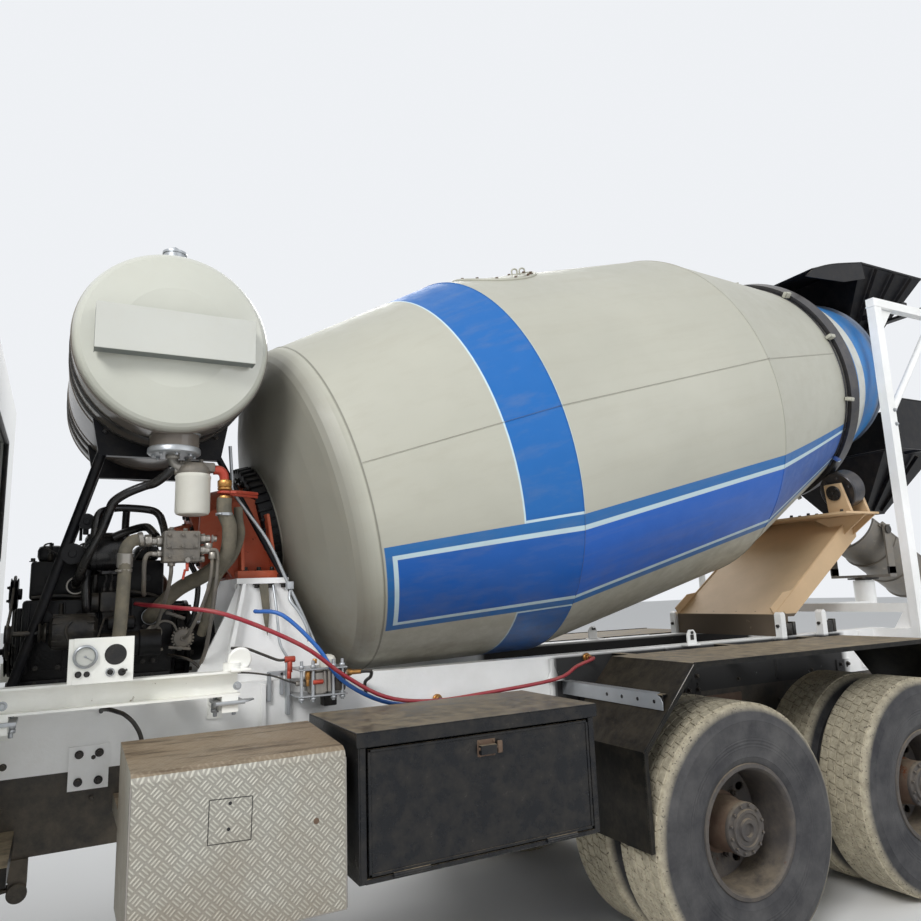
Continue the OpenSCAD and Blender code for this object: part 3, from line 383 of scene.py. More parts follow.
# %% Neck paint
def neck_finish():
    material, shader, places = new_finish("neck paint")
    along, _, local = drum_measure(places)
    fine = cloud(local, 9.0, 8.0, 0.7)
    stripe = inside(along, RING_AT + 0.23, RING_AT + 0.36, 0.001)
    base = mixed(stripe, tone(36, 122, 190), tone(206, 208, 202))
    base = mixed(between(along, MOUTH_AT - 0.12, MOUTH_AT) * 0.8, base, tone(140, 134, 122))
    base = mixed(between(fine, 0.45, 0.75) * 0.4, base, tone(150, 141, 124))
    settle(shader, base, between(fine, 0, 1, 0.35, 0.8), fine, 0.2, 0.006)
    return material


neck_paint = neck_finish()
print("neck paint ready")

# %% [markdown]
# The tread plate is rolled with short bars in threes that turn by a right angle from one group to
# the next. Two sets of stretched bars, switched by a checkerboard, give that pattern, as height
# and as a brighter, rubbed tone on top of each bar.

# %% Tread plate
BAR_GROUP, HALF_ROOT = 0.034, 0.7071


def off_middle(run, pitch):
    """How far a place is from the middle of its pitch, in pitches."""
    return reckon("ABSOLUTE", reckon("FRACT", run / pitch) - 0.5)


def bars(run, side):
    long, wide = off_middle(run, BAR_GROUP), off_middle(side, BAR_GROUP / 3)
    return between(long, 0.42, 0.3) * between(wide, 0.3, 0.14)


def tread_finish():
    material, shader, places = new_finish("tread plate")
    x, y, z = split(places)
    across = z - y
    u, v = (x + across) * HALF_ROOT, (x - across) * HALF_ROOT
    cell = reckon("FLOOR", u / BAR_GROUP) + reckon("FLOOR", v / BAR_GROUP)
    odd = reckon("GREATER_THAN", reckon("FRACT", cell * 0.5), 0.25)
    raised = add(places.tree, "Mix", {0: odd, 2: bars(u, v), 3: bars(v, u)})
    fine, broad = cloud(places, 16.0, 9.0, 0.7), cloud(places, 2.4, 5.0)
    base = mixed(raised, tone(152, 149, 140), tone(190, 188, 176))
    base = mixed(between(broad, 0.4, 0.7) * 0.45, base, tone(122, 104, 80))
    up = facing_up(places)
    slope = between(up, 0.5, 0.9)
    base = mixed(slope * 0.72, base, tone(150, 128, 100))
    streaks = cloud(stretched(places, (1.2, 9, 9)), 2.6, 7.0, 0.68)
    base = mixed(slope * (between(streaks, 0.5, 0.66) * 0.85), base, tone(74, 58, 40))
    base = mixed(between(cloud(places, 30.0, 8.0, 0.75), 0.7, 0.74), base, tone(70, 58, 46))
    shader.inputs["Metallic"].default_value = 0.35
    height = raised * between(up, 0.8, 0.3) + fine * 0.2
    settle(shader, base, between(fine, 0.3, 0.7, 0.42, 0.7), height, 0.7, 0.0022)
    return material


tread_plate = tread_finish()
print("tread plate pattern repeats every", BAR_GROUP * 1000, "mm")

# %% [markdown]
# The remaining finishes all come from the one weathered surface. Their colours are read from the
# photograph, and each has its own share of dust, rust and shine.

# %% The other finishes
white_paint = weathered("white paint", (248, 249, 245), 0.42, dust=0.1, spots=0.12,
                        spot_colour=(120, 96, 70), splash=0.35)
cab_paint = weathered("cab paint", (222, 223, 216), 0.28, dust=0.12, splash=0.5, coat=0.5,
                      variation=0.04)
tank_paint = weathered("tank paint", (196, 197, 186), 0.24, dust=0.1, coat=0.6, variation=0.04,
                       bump=0.05)
cream_paint = weathered("cream paint", (250, 250, 240), 0.4, dust=0.12, spots=0.36,
                        spot_colour=(110, 88, 58), spot_scale=16)
tan_paint = weathered("tan primer", (206, 176, 138), 0.62, dust=0.2, spots=0.15,
                      spot_colour=(186, 168, 142), variation=0.1)
orange_paint = weathered("orange primer", (186, 84, 52), 0.55, dust=0.3, spots=0.4,
                         spot_colour=(88, 44, 30), spot_scale=12)
engine_black = weathered("oily black", (15, 15, 18), 0.38, haze=0.1, dust=0.1, spots=0.2,
                         spot_colour=(66, 60, 52), spot_scale=22, bump=0.4, shine=0.25)
# On the box's flat top the dust also stands in for the grey sheen seen there: dust and painted
# reflection.
black_box_dust_and_sheen = weathered("black box paint", (18, 20, 24), 0.26, shine=0.3, haze=0.08, dust=0.58,
                      lies_from=0.85, spots=0.03, spot_colour=(48, 48, 50), spot_scale=70,
                      variation=0.04)
fender_black = weathered("dusty black fender", (14, 15, 15), 0.36, shine=0.15, haze=0.05,
                         dust=0.8, lies_from=0.665, spots=0.02, spot_colour=(60, 57, 50),
                         splash=0.05, spot_scale=40, variation=0.05)
guard_black = weathered("black guard", (15, 16, 21), 0.38, shine=0.2, haze=0.1, dust=0.3,
                        spots=0.15, spot_colour=(90, 84, 76))
chassis_grey = weathered("dirty chassis", (28, 27, 28), 0.6, haze=0.3, dust=0.28, spots=0.2,
                         spot_colour=(80, 64, 52), splash=0.4, spot_scale=24)
cast_grey = weathered("dusty casting", (108, 104, 98), 0.55, metallic=0.2, dust=0.5, spots=0.3,
                      spot_colour=(58, 52, 46), bump=0.5)
bare_steel = weathered("bare steel", (150, 146, 140), 0.36, metallic=0.75, dust=0.3, spots=0.25)
galvanised = weathered("galvanised steel", (172, 176, 180), 0.38, metallic=0.55, dust=0.2,
                       variation=0.2, spots=0.1)
rusty_steel = weathered("rusty steel", (98, 78, 66), 0.68, metallic=0.25, dust=0.4, spots=0.5,
                        spot_colour=(120, 66, 38))
ring_steel = weathered("running ring", (72, 72, 76), 0.3, metallic=0.7, dust=0.25, spots=0.2,
                       spot_colour=(28, 26, 26))
# A darker grey copy of the sign's own paint, for the sign box's rim and stays: painted shade.
sign_sides_painted_shade = weathered("sign sides in painted shade", (112, 118, 116), 0.5, dust=0.1)
hose_black = weathered("hose rubber", (42, 42, 40), 0.6, dust=0.42, bump=0.25, grain=160)
dark_metal = weathered("oily metal", (40, 39, 39), 0.34, metallic=0.45, dust=0.22, spots=0.25,
                       spot_colour=(92, 84, 74), spot_scale=26, bump=0.3)
gloss_black = weathered("gloss black", (15, 15, 18), 0.26, dust=0.1, bump=0.2, grain=60)
dusty_hose = weathered("dusty hose", (98, 94, 82), 0.75, dust=0.6, bump=0.35, grain=140)
trim_black = weathered("black plastic", (26, 26, 28), 0.5, dust=0.3, bump=0.12, grain=300)
brass = weathered("brass fitting", (176, 128, 70), 0.36, metallic=0.8, dust=0.3, spots=0.2)
copper_red = weathered("red fitting", (176, 62, 44), 0.42, metallic=0.2, dust=0.3)
chute_steel = weathered("worn chute steel", (118, 114, 108), 0.45, metallic=0.45, dust=0.5,
                        spots=0.4, spot_colour=(168, 162, 150))
seat_cloth = weathered("seat cloth", (60, 62, 68), 0.9, dust=0.1, bump=0.5, grain=420)
red_lens = weathered("red lens", (150, 16, 20), 0.16, dust=0.15, variation=0.02, bump=0.02)
amber_lens = weathered("amber lens", (214, 120, 20), 0.16, dust=0.15, variation=0.02, bump=0.02)
lamp_glass = weathered("lamp lens", (204, 210, 214), 0.08, metallic=0.3, dust=0.1, variation=0.02,
                       bump=0.02)
red_hose_skin = weathered("red air hose", (150, 34, 50), 0.42, dust=0.3, bump=0.08, grain=200)
blue_hose_skin = weathered("blue air hose", (30, 96, 176), 0.42, dust=0.25, bump=0.08, grain=200)
filter_white = weathered("filter can", (216, 214, 204), 0.3, dust=0.18, spots=0.12,
                         spot_colour=(150, 140, 120))
rust_brown = weathered("rusted fitting", (92, 72, 58), 0.6, metallic=0.3, dust=0.25, spots=0.4,
                       spot_colour=(60, 44, 36), spot_scale=30)
rim_finish = weathered("dusty rim", (72, 68, 66), 0.62, metallic=0.25, haze=0.3, dust=0.45,
                       spots=0.32, spot_colour=(96, 66, 50), spot_scale=11, bump=0.3)
sign_paint = weathered("sign paint", (196, 197, 190), 0.45, dust=0.12, variation=0.03, bump=0.04)


def overlaid(material, colour, share_at):
    """Lay a second colour over a finish, with a share that depends on the place."""
    nodes = material.node_tree.nodes
    shader, places = nodes["Principled BSDF"], Field(nodes["Texture Coordinate"].outputs["Object"])
    share = share_at(*split(places)) * between(cloud(places, 7.0, 8.0, 0.7), 0.18, 0.34)
    base, rough = (Field(shader.inputs[key].links[0].from_socket)
                   for key in ("Base Color", "Roughness"))
    settle(shader, mixed(share, base, colour), reckon("MAXIMUM", share, rough))


# Below the fender line the subframe's white paint is laid over with near black: painted shade.
def painted_shade_under_fender(x, y, z):
    return inside(x, 0.26, 2.62, 0.03) * (between(z, 1.311, 1.296) * 0.97)


def below_slope(x, y, z):
    return between(z, 1.452, 1.446) * 0.86


# The tank's round side, from a little above its middle down, is laid over with a brown grey: painted
# shade and a painted reflection of the ground, with some grime.
def shade_and_grime_under_tank(x, y, z):
    return inside(y, -0.68, 0.68, 0.02) * between(z, 2.95, 2.7) * 0.9


overlaid(tank_paint, tone(84, 72, 64), shade_and_grime_under_tank)
overlaid(white_paint, tone(14, 13, 15), painted_shade_under_fender)
overlaid(tan_paint, tone(52, 49, 47), below_slope)


def glass_finish():
    material, shader, places = new_finish("cab glass")
    smears = between(cloud(places, 3.0, 6.0), 0.4, 0.7)
    settle(shader, mixed(smears, tone(72, 86, 90), tone(98, 108, 110)), 0.05)
    shader.inputs["Alpha"].default_value = 0.42
    return material


cab_glass = glass_finish()
print(len(bpy.data.materials), "finishes so far")

# %% [markdown]
# A tyre is black where it flexes and tan with dust where it rolls. Its finish measures how far a
# point is from the wheel's axle, so each wheel gets its own: the tread, the shoulder, the grey
# sidewall with its rings, and the rim inside it.

# %% Tyres, rims and hubs in one finish
TYRE_RADIUS, RIM_RADIUS, AXLE_HEIGHT = 0.555, 0.286, 0.555


def wheel_finish(name, axle_x):
    material, shader, places = new_finish(name)
    x, _, z = split(places)
    x, z = x - axle_x, z - AXLE_HEIGHT
    radius = reckon("SQRT", x * x + z * z)
    fine, broad = cloud(places, 26.0, 8.0, 0.7), cloud(places, 5.0, 6.0, 0.65)
    wall = mixed(between(broad, 0.35, 0.68), tone(36, 36, 40), tone(77, 76, 76))
    tread = mixed(between(fine, 0.3, 0.7), tone(138, 130, 112), tone(190, 181, 158))
    tread = mixed(between(cloud(places, 75.0), 0.6, 0.66), tread, tone(88, 80, 68))
    rubber = mixed(between(radius, TYRE_RADIUS - 0.042, TYRE_RADIUS - 0.012), wall, tread)
    metal = mixed(between(broad, 0.45, 0.6), tone(96, 88, 82), tone(98, 76, 62))
    metal = mixed(between(fine, 0.55, 0.7), metal, tone(142, 132, 118))
    base = mixed(between(radius, RIM_RADIUS - 0.006, RIM_RADIUS - 0.002), metal, rubber)
    rings = reckon("SINE", radius * 420) * inside(radius, 0.36, 0.4, 0.004)
    settle(shader, base, 0.74, fine * 0.6 + rings * 0.5, 0.5)
    return material


AXLES = {"front": -2.85, "rear_1": 0.76, "rear_2": 2.11}
wheel_finishes = {name: wheel_finish(name.replace("_", " ") + " wheels", x)
                  for name, x in AXLES.items()}
print("wheel finishes for axles at", AXLES)

# %% [markdown]
# Many solids of the construction model already have the right shape, and they only need their
# finish. One table gives each finish and the nodes that wear it.

# %% Dress the construction model
WORN_BY = [
    (drum_paint, "drum_head drum_front_cone drum_barrel drum_rear_cone"),
    (neck_paint, "drum_neck"),
    (ring_steel, "drum_ring roller_left roller_right"),
    (rusty_steel, "drum_blades rear_suspension"),
    (tank_paint, "water_tank"),
    (white_paint, "subframe front_pedestal rear_posts ladder sign_board"),
    (cab_paint, "cab_floor cab_walls cab_roof door_left door_right front_bumper"),
    (tan_paint, "rear_pedestal"),
    (orange_paint, "drum_gearbox"),
    (cream_paint, "engine_frame"),
    (engine_black, "deck_engine"),
    (hose_black, "hydraulic_pipes"),
    (filter_white, "oil_filter"),
    (black_box_dust_and_sheen, "tool_box tool_box_door"),
    (fender_black, "rear_fenders front_mudguards"),
    (guard_black, "loading_hopper discharge_collector cab_mirrors tank_stand"),
    (chassis_grey, "chassis_frame engine_block front_axle rear_axles prop_shafts air_tanks tail_bar"
                   " knuckle_left knuckle_right"),
    (chute_steel, "chute chute_swivel"),
    (tread_plate, "tread_plate_cover"),
    (bare_steel, "fuel_tank"),
    (galvanised, "air_valves"),
    (trim_black, "cab_inside"),
    (cab_glass, "cab_glass"),
    (red_hose_skin, "red_hose"),
    (blue_hose_skin, "blue_hose"),
    (wheel_finishes["front"], "front_wheel_left front_wheel_right"),
    (wheel_finishes["rear_1"], "twin_wheel_1_left twin_wheel_1_right"),
    (wheel_finishes["rear_2"], "twin_wheel_2_left twin_wheel_2_right"),
]
for finish, names in WORN_BY:
    for name in names.split():
        NODES[name].data.materials.clear()
        NODES[name].data.materials.append(finish)
undressed = set(NODES) - {n for _, names in WORN_BY for n in names.split()}
print("dressed", len(NODES) - len(undressed), "nodes; without a finish:", sorted(undressed))

# %% [markdown]
# The pieces below are modelled with Blender's own operators, as by hand. An outline is one vertex
# that is extruded from point to point; a plate is a filled outline pulled to its thickness; a
# turned part is an outline swept round by the Screw modifier; a pipe is a curve with a round
# section. What is repeated is modelled once and copied, each copy with its own mesh.

# %% Modelling tools
UP, DOWN, LEFT, RIGHT, FORE, AFT = (0, 0, 1), (0, 0, -1), (0, -1, 0), (0, 1, 0), (-1, 0, 0), (
    1, 0, 0)
ORIGIN, BOTH_SIDES = (0, 0, 0), (-1, 1)
USUAL_SLOTS = {"white_paint": (white_paint, cab_paint, tank_paint, sign_paint, sign_sides_painted_shade,
                               filter_white),
               "grey_steel": (chassis_grey, galvanised, bare_steel, cast_grey, dark_metal,
                              rusty_steel, rim_finish, ring_steel),
               "black_steel": (engine_black, gloss_black, black_box_dust_and_sheen, fender_black, guard_black,
                               chute_steel),
               "orange_paint": (orange_paint, copper_red, brass),
               "cab_trim": (trim_black, seat_cloth), "cream_paint": (cream_paint,),
               "tan_paint": (tan_paint,), "blue_paint": (neck_paint,), "drum_paint": (drum_paint,),
               "tread_plate": (rust_brown,), "hose_rubber": (dusty_hose,),
               "red_plastic": (red_lens, amber_lens, red_hose_skin),
               "blue_plastic": (blue_hose_skin,), "glass": (lamp_glass, cab_glass),
               "tyre_rubber": tuple(wheel_finishes.values()),}
SLOT_OF = {finish.name: slot for slot, finishes in USUAL_SLOTS.items() for finish in finishes}


def edit(mode="VERT"):
    bpy.ops.object.mode_set(mode="EDIT")
    bpy.ops.mesh.select_mode(type=mode)


def object_mode():
    bpy.ops.object.mode_set(mode="OBJECT")


def face_out():
    """Merge doubles and turn every face outwards."""
    edit()
    bpy.ops.mesh.select_all(action="SELECT")
    bpy.ops.mesh.remove_doubles(threshold=0.00002)
    bpy.ops.mesh.normals_make_consistent(inside=False)
    object_mode()


def picked(piece):
    """The piece alone selected and active, as every operator below wants it."""
    nothing_selected()
    piece.select_set(True)
    bpy.context.view_layer.objects.active = piece
    return piece


def modified(piece, kind, **settings):
    picked(piece)
    modifier = piece.modifiers.new(kind.title(), kind)
    for key, value in settings.items():
        setattr(modifier, key, value)
    bpy.ops.object.modifier_apply(modifier=modifier.name)
    return piece


def soften(piece, width, segments=2, angle=40):
    modified(piece, "BEVEL", width=width, segments=segments, limit_method="ANGLE",
             angle_limit=math.radians(angle), harden_normals=False)
    return smooth(piece)


def smooth(piece, angle=35):
    picked(piece)
    bpy.ops.object.shade_smooth_by_angle(angle=math.radians(angle))
    return piece


def outline(points, closed):
    """A row of points, extruded one after the other from a single vertex."""
    nothing_selected()
    points = [Vector(p) for p in points]
    bpy.ops.mesh.primitive_plane_add(size=0.001, location=points[0])
    edit()
    bpy.ops.mesh.select_all(action="SELECT")
    bpy.ops.mesh.merge(type="CENTER")
    for start, stop in zip(points, points[1:]):
        bpy.ops.mesh.extrude_region_move(TRANSFORM_OT_translate={"value": stop - start})
    if closed:
        bpy.ops.mesh.select_all(action="SELECT")
        bpy.ops.mesh.edge_face_add()
    object_mode()
    bpy.ops.object.transform_apply()
    return bpy.context.object


def plate(points, push, bevel=0.002):
    """A flat outline pulled along push."""
    piece = outline(points, True)
    edit()
    bpy.ops.mesh.select_all(action="SELECT")
    bpy.ops.mesh.extrude_region_move(TRANSFORM_OT_translate={"value": Vector(push)})
    object_mode()
    face_out()
    return soften(piece, bevel, 1 if bevel < 0.003 else 2) if bevel else piece


def brick(low, high, bevel=0.003):
    """A block between two opposite corners, with rounded edges."""
    low, high = (Vector(corner) for corner in zip(*(sorted(pair) for pair in zip(low, high))))
    nothing_selected()
    bpy.ops.mesh.primitive_cube_add(size=1, location=(low + high) / 2, scale=high - low)
    piece = bpy.context.object
    bpy.ops.object.transform_apply()
    return soften(piece, bevel, 1 if bevel < 0.003 else 2) if bevel else piece


def laid(piece, place, axis):
    """Turn a piece's +Z to an axis, move it to its place, and bring both into its mesh."""
    picked(piece)
    piece.rotation_euler = Vector(axis).to_track_quat("Z", "Y").to_euler()
    piece.location = place
    bpy.ops.object.transform_apply()
    return piece


def turned(profile, place, axis, steps=32, bevel=0.0):
    """A profile of (radius, height) pairs swept once round its own axis."""
    piece = outline([(r, 0, h) for r, h in profile], False)
    modified(piece, "SCREW", axis="Z", angle=2 * math.pi, screw_offset=0, steps=steps,
             render_steps=steps, use_merge_vertices=True, merge_threshold=0.0002)
    picked(piece)
    face_out()
    laid(piece, place, axis)
    return soften(piece, bevel) if bevel else smooth(piece)


def rod(start, stop, radius, vertices=16):
    """A round bar with softened ends."""
    start, stop = Vector(start), Vector(stop)
    nothing_selected()
    bpy.ops.mesh.primitive_cylinder_add(vertices=vertices, radius=radius,
                                        depth=(stop - start).length)
    piece = bpy.context.object
    soften(piece, min(radius * 0.2, 0.003), 1)
    return laid(piece, (start + stop) / 2, stop - start)


def flowing(points, steps=6):
    """A smooth line through the points, which it passes one by one."""
    points = [Vector(p) for p in points]
    line = []
    for i in range(len(points) - 1):
        a, b, c, d = (points[max(i - 1, 0)], points[i], points[i + 1],
                      points[min(i + 2, len(points) - 1)])
        for k in range(steps):
            t = k / steps
            line.append(0.5 * (2 * b + (c - a) * t + (2 * a - 5 * b + 4 * c - d) * t * t
                               + (3 * b - a - 3 * c + d) * t * t * t))
    return line + [points[-1]]


def strand(points, radius, steps=6):
    """A curve with a round section through the points."""
    nothing_selected()
    bpy.ops.curve.primitive_nurbs_path_add()
    curve = bpy.context.object
    curve.data.splines.clear()
    line = flowing(points, steps)
    spline = curve.data.splines.new("POLY")
    spline.points.add(len(line) - 1)
    for point, place in zip(spline.points, line):
        point.co = (*place, 1)
    curve.data.bevel_depth = radius
    curve.data.bevel_resolution = 3
    curve.data.use_fill_caps = True
    return curve


def pipe(points, radius, steps=6):
    """A bent pipe or hose, as a mesh."""
    curve = strand(points, radius, steps)
    bpy.ops.object.convert(target="MESH")
    face_out()
    return smooth(bpy.context.object, 60)


def moved_copy(piece, move):
    """A copy with its own mesh, which the matrix has moved."""
    copy = piece.copy()
    copy.data = piece.data.copy()
    scene.collection.objects.link(copy)
    copy.data.transform(move)
    return copy


def around(piece, place, axis, count, start=0.0):
    """Copies of the piece in a circle about an axis through the place."""
    centre, made = Vector(place), []
    for k in range(count):
        turn = Matrix.Rotation(start + 2 * math.pi * k / count, 4, Vector(axis))
        made.append(moved_copy(piece,
                               Matrix.Translation(centre) @ turn @ Matrix.Translation(-centre)))
    bpy.data.objects.remove(piece)
    return made


def on_both_sides(pieces):
    """The pieces and their twins on the other side of the vehicle."""
    one = joined(pieces)
    twin = moved_copy(one, Matrix.Scale(-1, 4, RIGHT))
    twin.data.flip_normals()
    return [one, twin]


def joined(pieces):
    nothing_selected()
    for piece in pieces:
        piece.select_set(True)
    bpy.context.view_layer.objects.active = pieces[0]
    if len(pieces) > 1:
        bpy.ops.object.join()
    return pieces[0]


def bolt(place, axis, size=0.012):
    """A hexagon head on its washer."""
    nothing_selected()
    bpy.ops.mesh.primitive_cylinder_add(vertices=6, radius=size, depth=size * 1.3,
                                        location=(0, 0, size * 0.85))
    head = bpy.context.object
    bpy.ops.object.transform_apply()
    soften(head, size * 0.16, 1)
    nothing_selected()
    bpy.ops.mesh.primitive_cylinder_add(vertices=14, radius=size * 1.45, depth=size * 0.34,
                                        location=(0, 0, size * 0.1))
    washer = bpy.context.object
    bpy.ops.object.transform_apply()
    return laid(joined([head, washer]), place, axis)


def copies(piece, places):
    """The piece, made at the origin, once at each place."""
    made = [moved_copy(piece, Matrix.Translation(Vector(place))) for place in places]
    bpy.data.objects.remove(piece)
    return made


def bolts(places, axis, size=0.012):
    return copies(bolt(ORIGIN, axis, size), places)


def band(points, push, thick):
    """A strip of sheet along a line, push wide, its thickness from the Solidify modifier."""
    piece = outline(points, False)
    edit()
    bpy.ops.mesh.select_all(action="SELECT")
    bpy.ops.mesh.extrude_region_move(TRANSFORM_OT_translate={"value": Vector(push)})
    object_mode()
    face_out()
    modified(piece, "SOLIDIFY", thickness=thick, offset=1)
    return smooth(piece)


def wear(pieces, name, finish, body="chassis", slot=None, replaces=()):
    """Join pieces under one name, give them their finish and hand them to a body."""
    piece = joined(pieces if isinstance(pieces, list) else [pieces])
    piece.name = name
    piece.data.name = name
    piece.data.materials.clear()
    piece.data.materials.append(finish)
    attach(piece, body)
    slot or SLOT_OF[finish.name]
    if replaces:
        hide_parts(*replaces)
    print(name, "a curve" if piece.type == "CURVE" else f"{len(piece.data.polygons)} faces")
    return piece


def bolt_ring(place, axis, radius, count, size=0.012, start=0.0):
    """Bolts in a circle about an axis."""
    place, axis = Vector(place), Vector(axis).normalized()
    side = axis.orthogonal().normalized()
    return joined(around(bolt(place + side * radius, axis, size), place, axis, count, start))


def hoop(place, axis, radius, width, thick, steps=64):
    """A flat band round an axis, its outer edges broken."""
    edge = min(thick, width) * 0.25
    return turned([(radius, -width / 2), (radius + thick - edge, -width / 2),
                   (radius + thick, -width / 2 + edge), (radius + thick, width / 2 - edge),
                   (radius + thick - edge, width / 2), (radius, width / 2), (radius, -width / 2)],
                  place, axis, steps)


def disc(place, axis, radius, thick, steps=32, bevel=0.003):
    """A round plate that starts at the place and grows along the axis."""
    bevel = min(bevel, thick * 0.4, radius * 0.4)
    return turned([(0, 0), (radius - bevel, 0), (radius, bevel), (radius, thick - bevel),
                   (radius - bevel, thick), (0, thick)], place, axis, steps)


def clip(place, axis, radius, width=0.012):
    """A hose clip: a band with its screw."""
    place, axis = Vector(place), Vector(axis).normalized()
    side = axis.orthogonal().normalized()
    screw = rod(place + side * (radius + 0.006) - axis.cross(side) * 0.014,
                place + side * (radius + 0.006) + axis.cross(side) * 0.014, 0.005, 8)
    return joined([hoop(place, axis, radius, width, 0.002, 24), screw])


def nut(place, axis, radius, length, sides=6):
    """A hexagon or round coupling on a pipe."""
    nothing_selected()
    bpy.ops.mesh.primitive_cylinder_add(vertices=sides, radius=radius, depth=length)
    piece = bpy.context.object
    soften(piece, radius * 0.1, 1, 25)
    return laid(piece, place, axis)

# %% [markdown]
# Two air hoses hang freely from the engine to the valves on the frame. Each is one curve that
# runs through a few places, and its real length is measured along the line it follows.

# %% Air hoses
HOSES = {
    "red": (red_hose_skin, [
        (-1.76, -0.2907, 1.66), (-1.76, -0.31, 1.66), (-1.76, -0.33, 1.66), (-1.735, -0.42, 1.655),
        (-1.64, -0.58, 1.64), (-1.46, -0.7, 1.605), (-1.16, -0.69, 1.47), (-0.96, -0.65, 1.33),
        (-0.767, -0.64, 1.222), (-0.55, -0.64, 1.184), (-0.29, -0.64, 1.191), (0.16, -0.6, 1.216),
        (0.33, -0.55, 1.262), (0.44, -0.53, 1.286), (0.48, -0.5, 1.29), (0.48, -0.485, 1.29),
        (0.48, -0.4708, 1.29)]),
    "blue": (blue_hose_skin, [
        (-1.29, -0.4508, 1.609), (-1.29, -0.465, 1.609), (-1.29, -0.48, 1.609), (-1.2, -0.56, 1.59),
        (-1.06, -0.6, 1.45), (-0.96, -0.612, 1.31), (-0.767, -0.6, 1.2), (-0.55, -0.6, 1.16),
        (-0.44, -0.55, 1.155), (-0.42, -0.5, 1.16), (-0.42, -0.485, 1.16), (-0.42, -0.4708, 1.16)]),
}
for colour, (skin, route) in HOSES.items():
    line = flowing(route, 5)
    length = sum((b - a).length for a, b in zip(line, line[1:]))
    hose = strand(route, 0.009, 5)
    wear(hose, colour + "_air_hose", skin, replaces=(colour + "_hose",))
    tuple(route[0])
    print(colour, "hose is", round(length, 3), "m long")

# %% [markdown]
# The water tank is a rolled shell with a dished end. The seam beads, the hoops round the shell,
# the threaded plug on top and the flanged sump below are turned about their own axes, and the
# sign box is a tray whose rim reaches back to the dish.

# %% Water tank
TANK_AT, TANK_R = Vector((-1.682, 0, 2.713)), 0.38
seams = [hoop(TANK_AT + Vector((0, y, 0)), RIGHT, TANK_R - 0.003, 0.012, 0.006, 96)
         for y in (-0.655, -0.22, 0.22, 0.655)]
wear(seams, "tank_seams", tank_paint)

hoops = [hoop(TANK_AT + Vector((0, y, 0)), RIGHT, TANK_R, 0.05, 0.005, 96)
         for y in (-0.5, -0.34, 0.34, 0.5)]
for y in (-0.34, 0.34):
    for turn in (-0.62, 0.62):
        foot = TANK_AT + Vector((math.sin(turn) * (TANK_R + 0.006), y,
                                 -math.cos(turn) * (TANK_R + 0.006)))
        hoops.append(bolt(foot, (math.sin(turn), 0, -math.cos(turn)), 0.011))
wear(hoops, "tank_hoops", chassis_grey)

plug_z = TANK_AT.z + TANK_R
plug = [turned([(0.028, -0.012), (0.052, -0.012), (0.052, 0.01), (0.046, 0.016), (0.046, 0.05),
                (0.05, 0.05), (0.05, 0.06), (0, 0.06)],
               (TANK_AT.x, -0.56, plug_z), UP),
        nut((TANK_AT.x, -0.56, plug_z + 0.068), UP, 0.026, 0.024, 4)]
wear(plug, "tank_plug", galvanised, slot="white_paint")

sump_x, sump_z = -1.658, 2.263
brim = [turned([(0, -0.003), (0.098, -0.003), (0.1045, 0.003), (0.1045, 0.02), (0.1005, 0.026),
                (0.1, 0.026)],
               (sump_x, -0.56, sump_z), UP, 48),
        hoop((sump_x, -0.56, sump_z + 0.085), UP, 0.097, 0.012, 0.005, 48),
        bolt_ring((sump_x, -0.56, sump_z - 0.002), DOWN, 0.08, 8, 0.008)]
wear(brim, "sump_brim", galvanised, slot="white_paint")

elbow = [pipe([(sump_x - 0.005, -0.56, sump_z), (sump_x - 0.006, -0.56, 2.245),
               (-1.655, -0.565, 2.222), (-1.635, -0.57, 2.21), (-1.6, -0.57, 2.208)],
              0.021),
         nut((sump_x - 0.006, -0.56, 2.254), UP, 0.031, 0.02),
         nut((-1.622, -0.57, 2.208), AFT, 0.028, 0.018)]
wear(elbow, "sump_elbow", bare_steel)

SIGN_W, SIGN_H, SIGN_FACE = 0.6, 0.184, -0.806
sign = [brick((TANK_AT.x - SIGN_W / 2, SIGN_FACE, 2.707 - SIGN_H / 2),
              (TANK_AT.x + SIGN_W / 2, SIGN_FACE + 0.004, 2.707 + SIGN_H / 2), 0.0015)]
sides = []
for z in (2.707 - SIGN_H / 2, 2.707 + SIGN_H / 2 - 0.003):
    sides.append(brick((TANK_AT.x - SIGN_W / 2, SIGN_FACE + 0.003, z),
                       (TANK_AT.x + SIGN_W / 2, -0.746, z + 0.003), 0.001))
for x in (TANK_AT.x - SIGN_W / 2, TANK_AT.x + SIGN_W / 2 - 0.003):
    sides.append(brick((x, SIGN_FACE + 0.003, 2.707 - SIGN_H / 2),
                       (x + 0.003, -0.734, 2.707 + SIGN_H / 2), 0.001))
for x in (-0.2, 0.2):
    sides.append(rod((TANK_AT.x + x, SIGN_FACE + 0.002, 2.707), (TANK_AT.x + x, -0.736, 2.707),
                     0.012))
wear(sign, "sign_box", sign_paint, replaces=("sign_board",))
# The rim and stays wear the darker grey copy of the sign paint: painted shade.
wear(sides, "sign_sides_painted_shade", sign_sides_painted_shade)

# %% [markdown]
# The filter under the sump: a cast head, a spun can with its rolled seam, and the red and brass
# fittings from which the thick suction hose runs down to the pump.

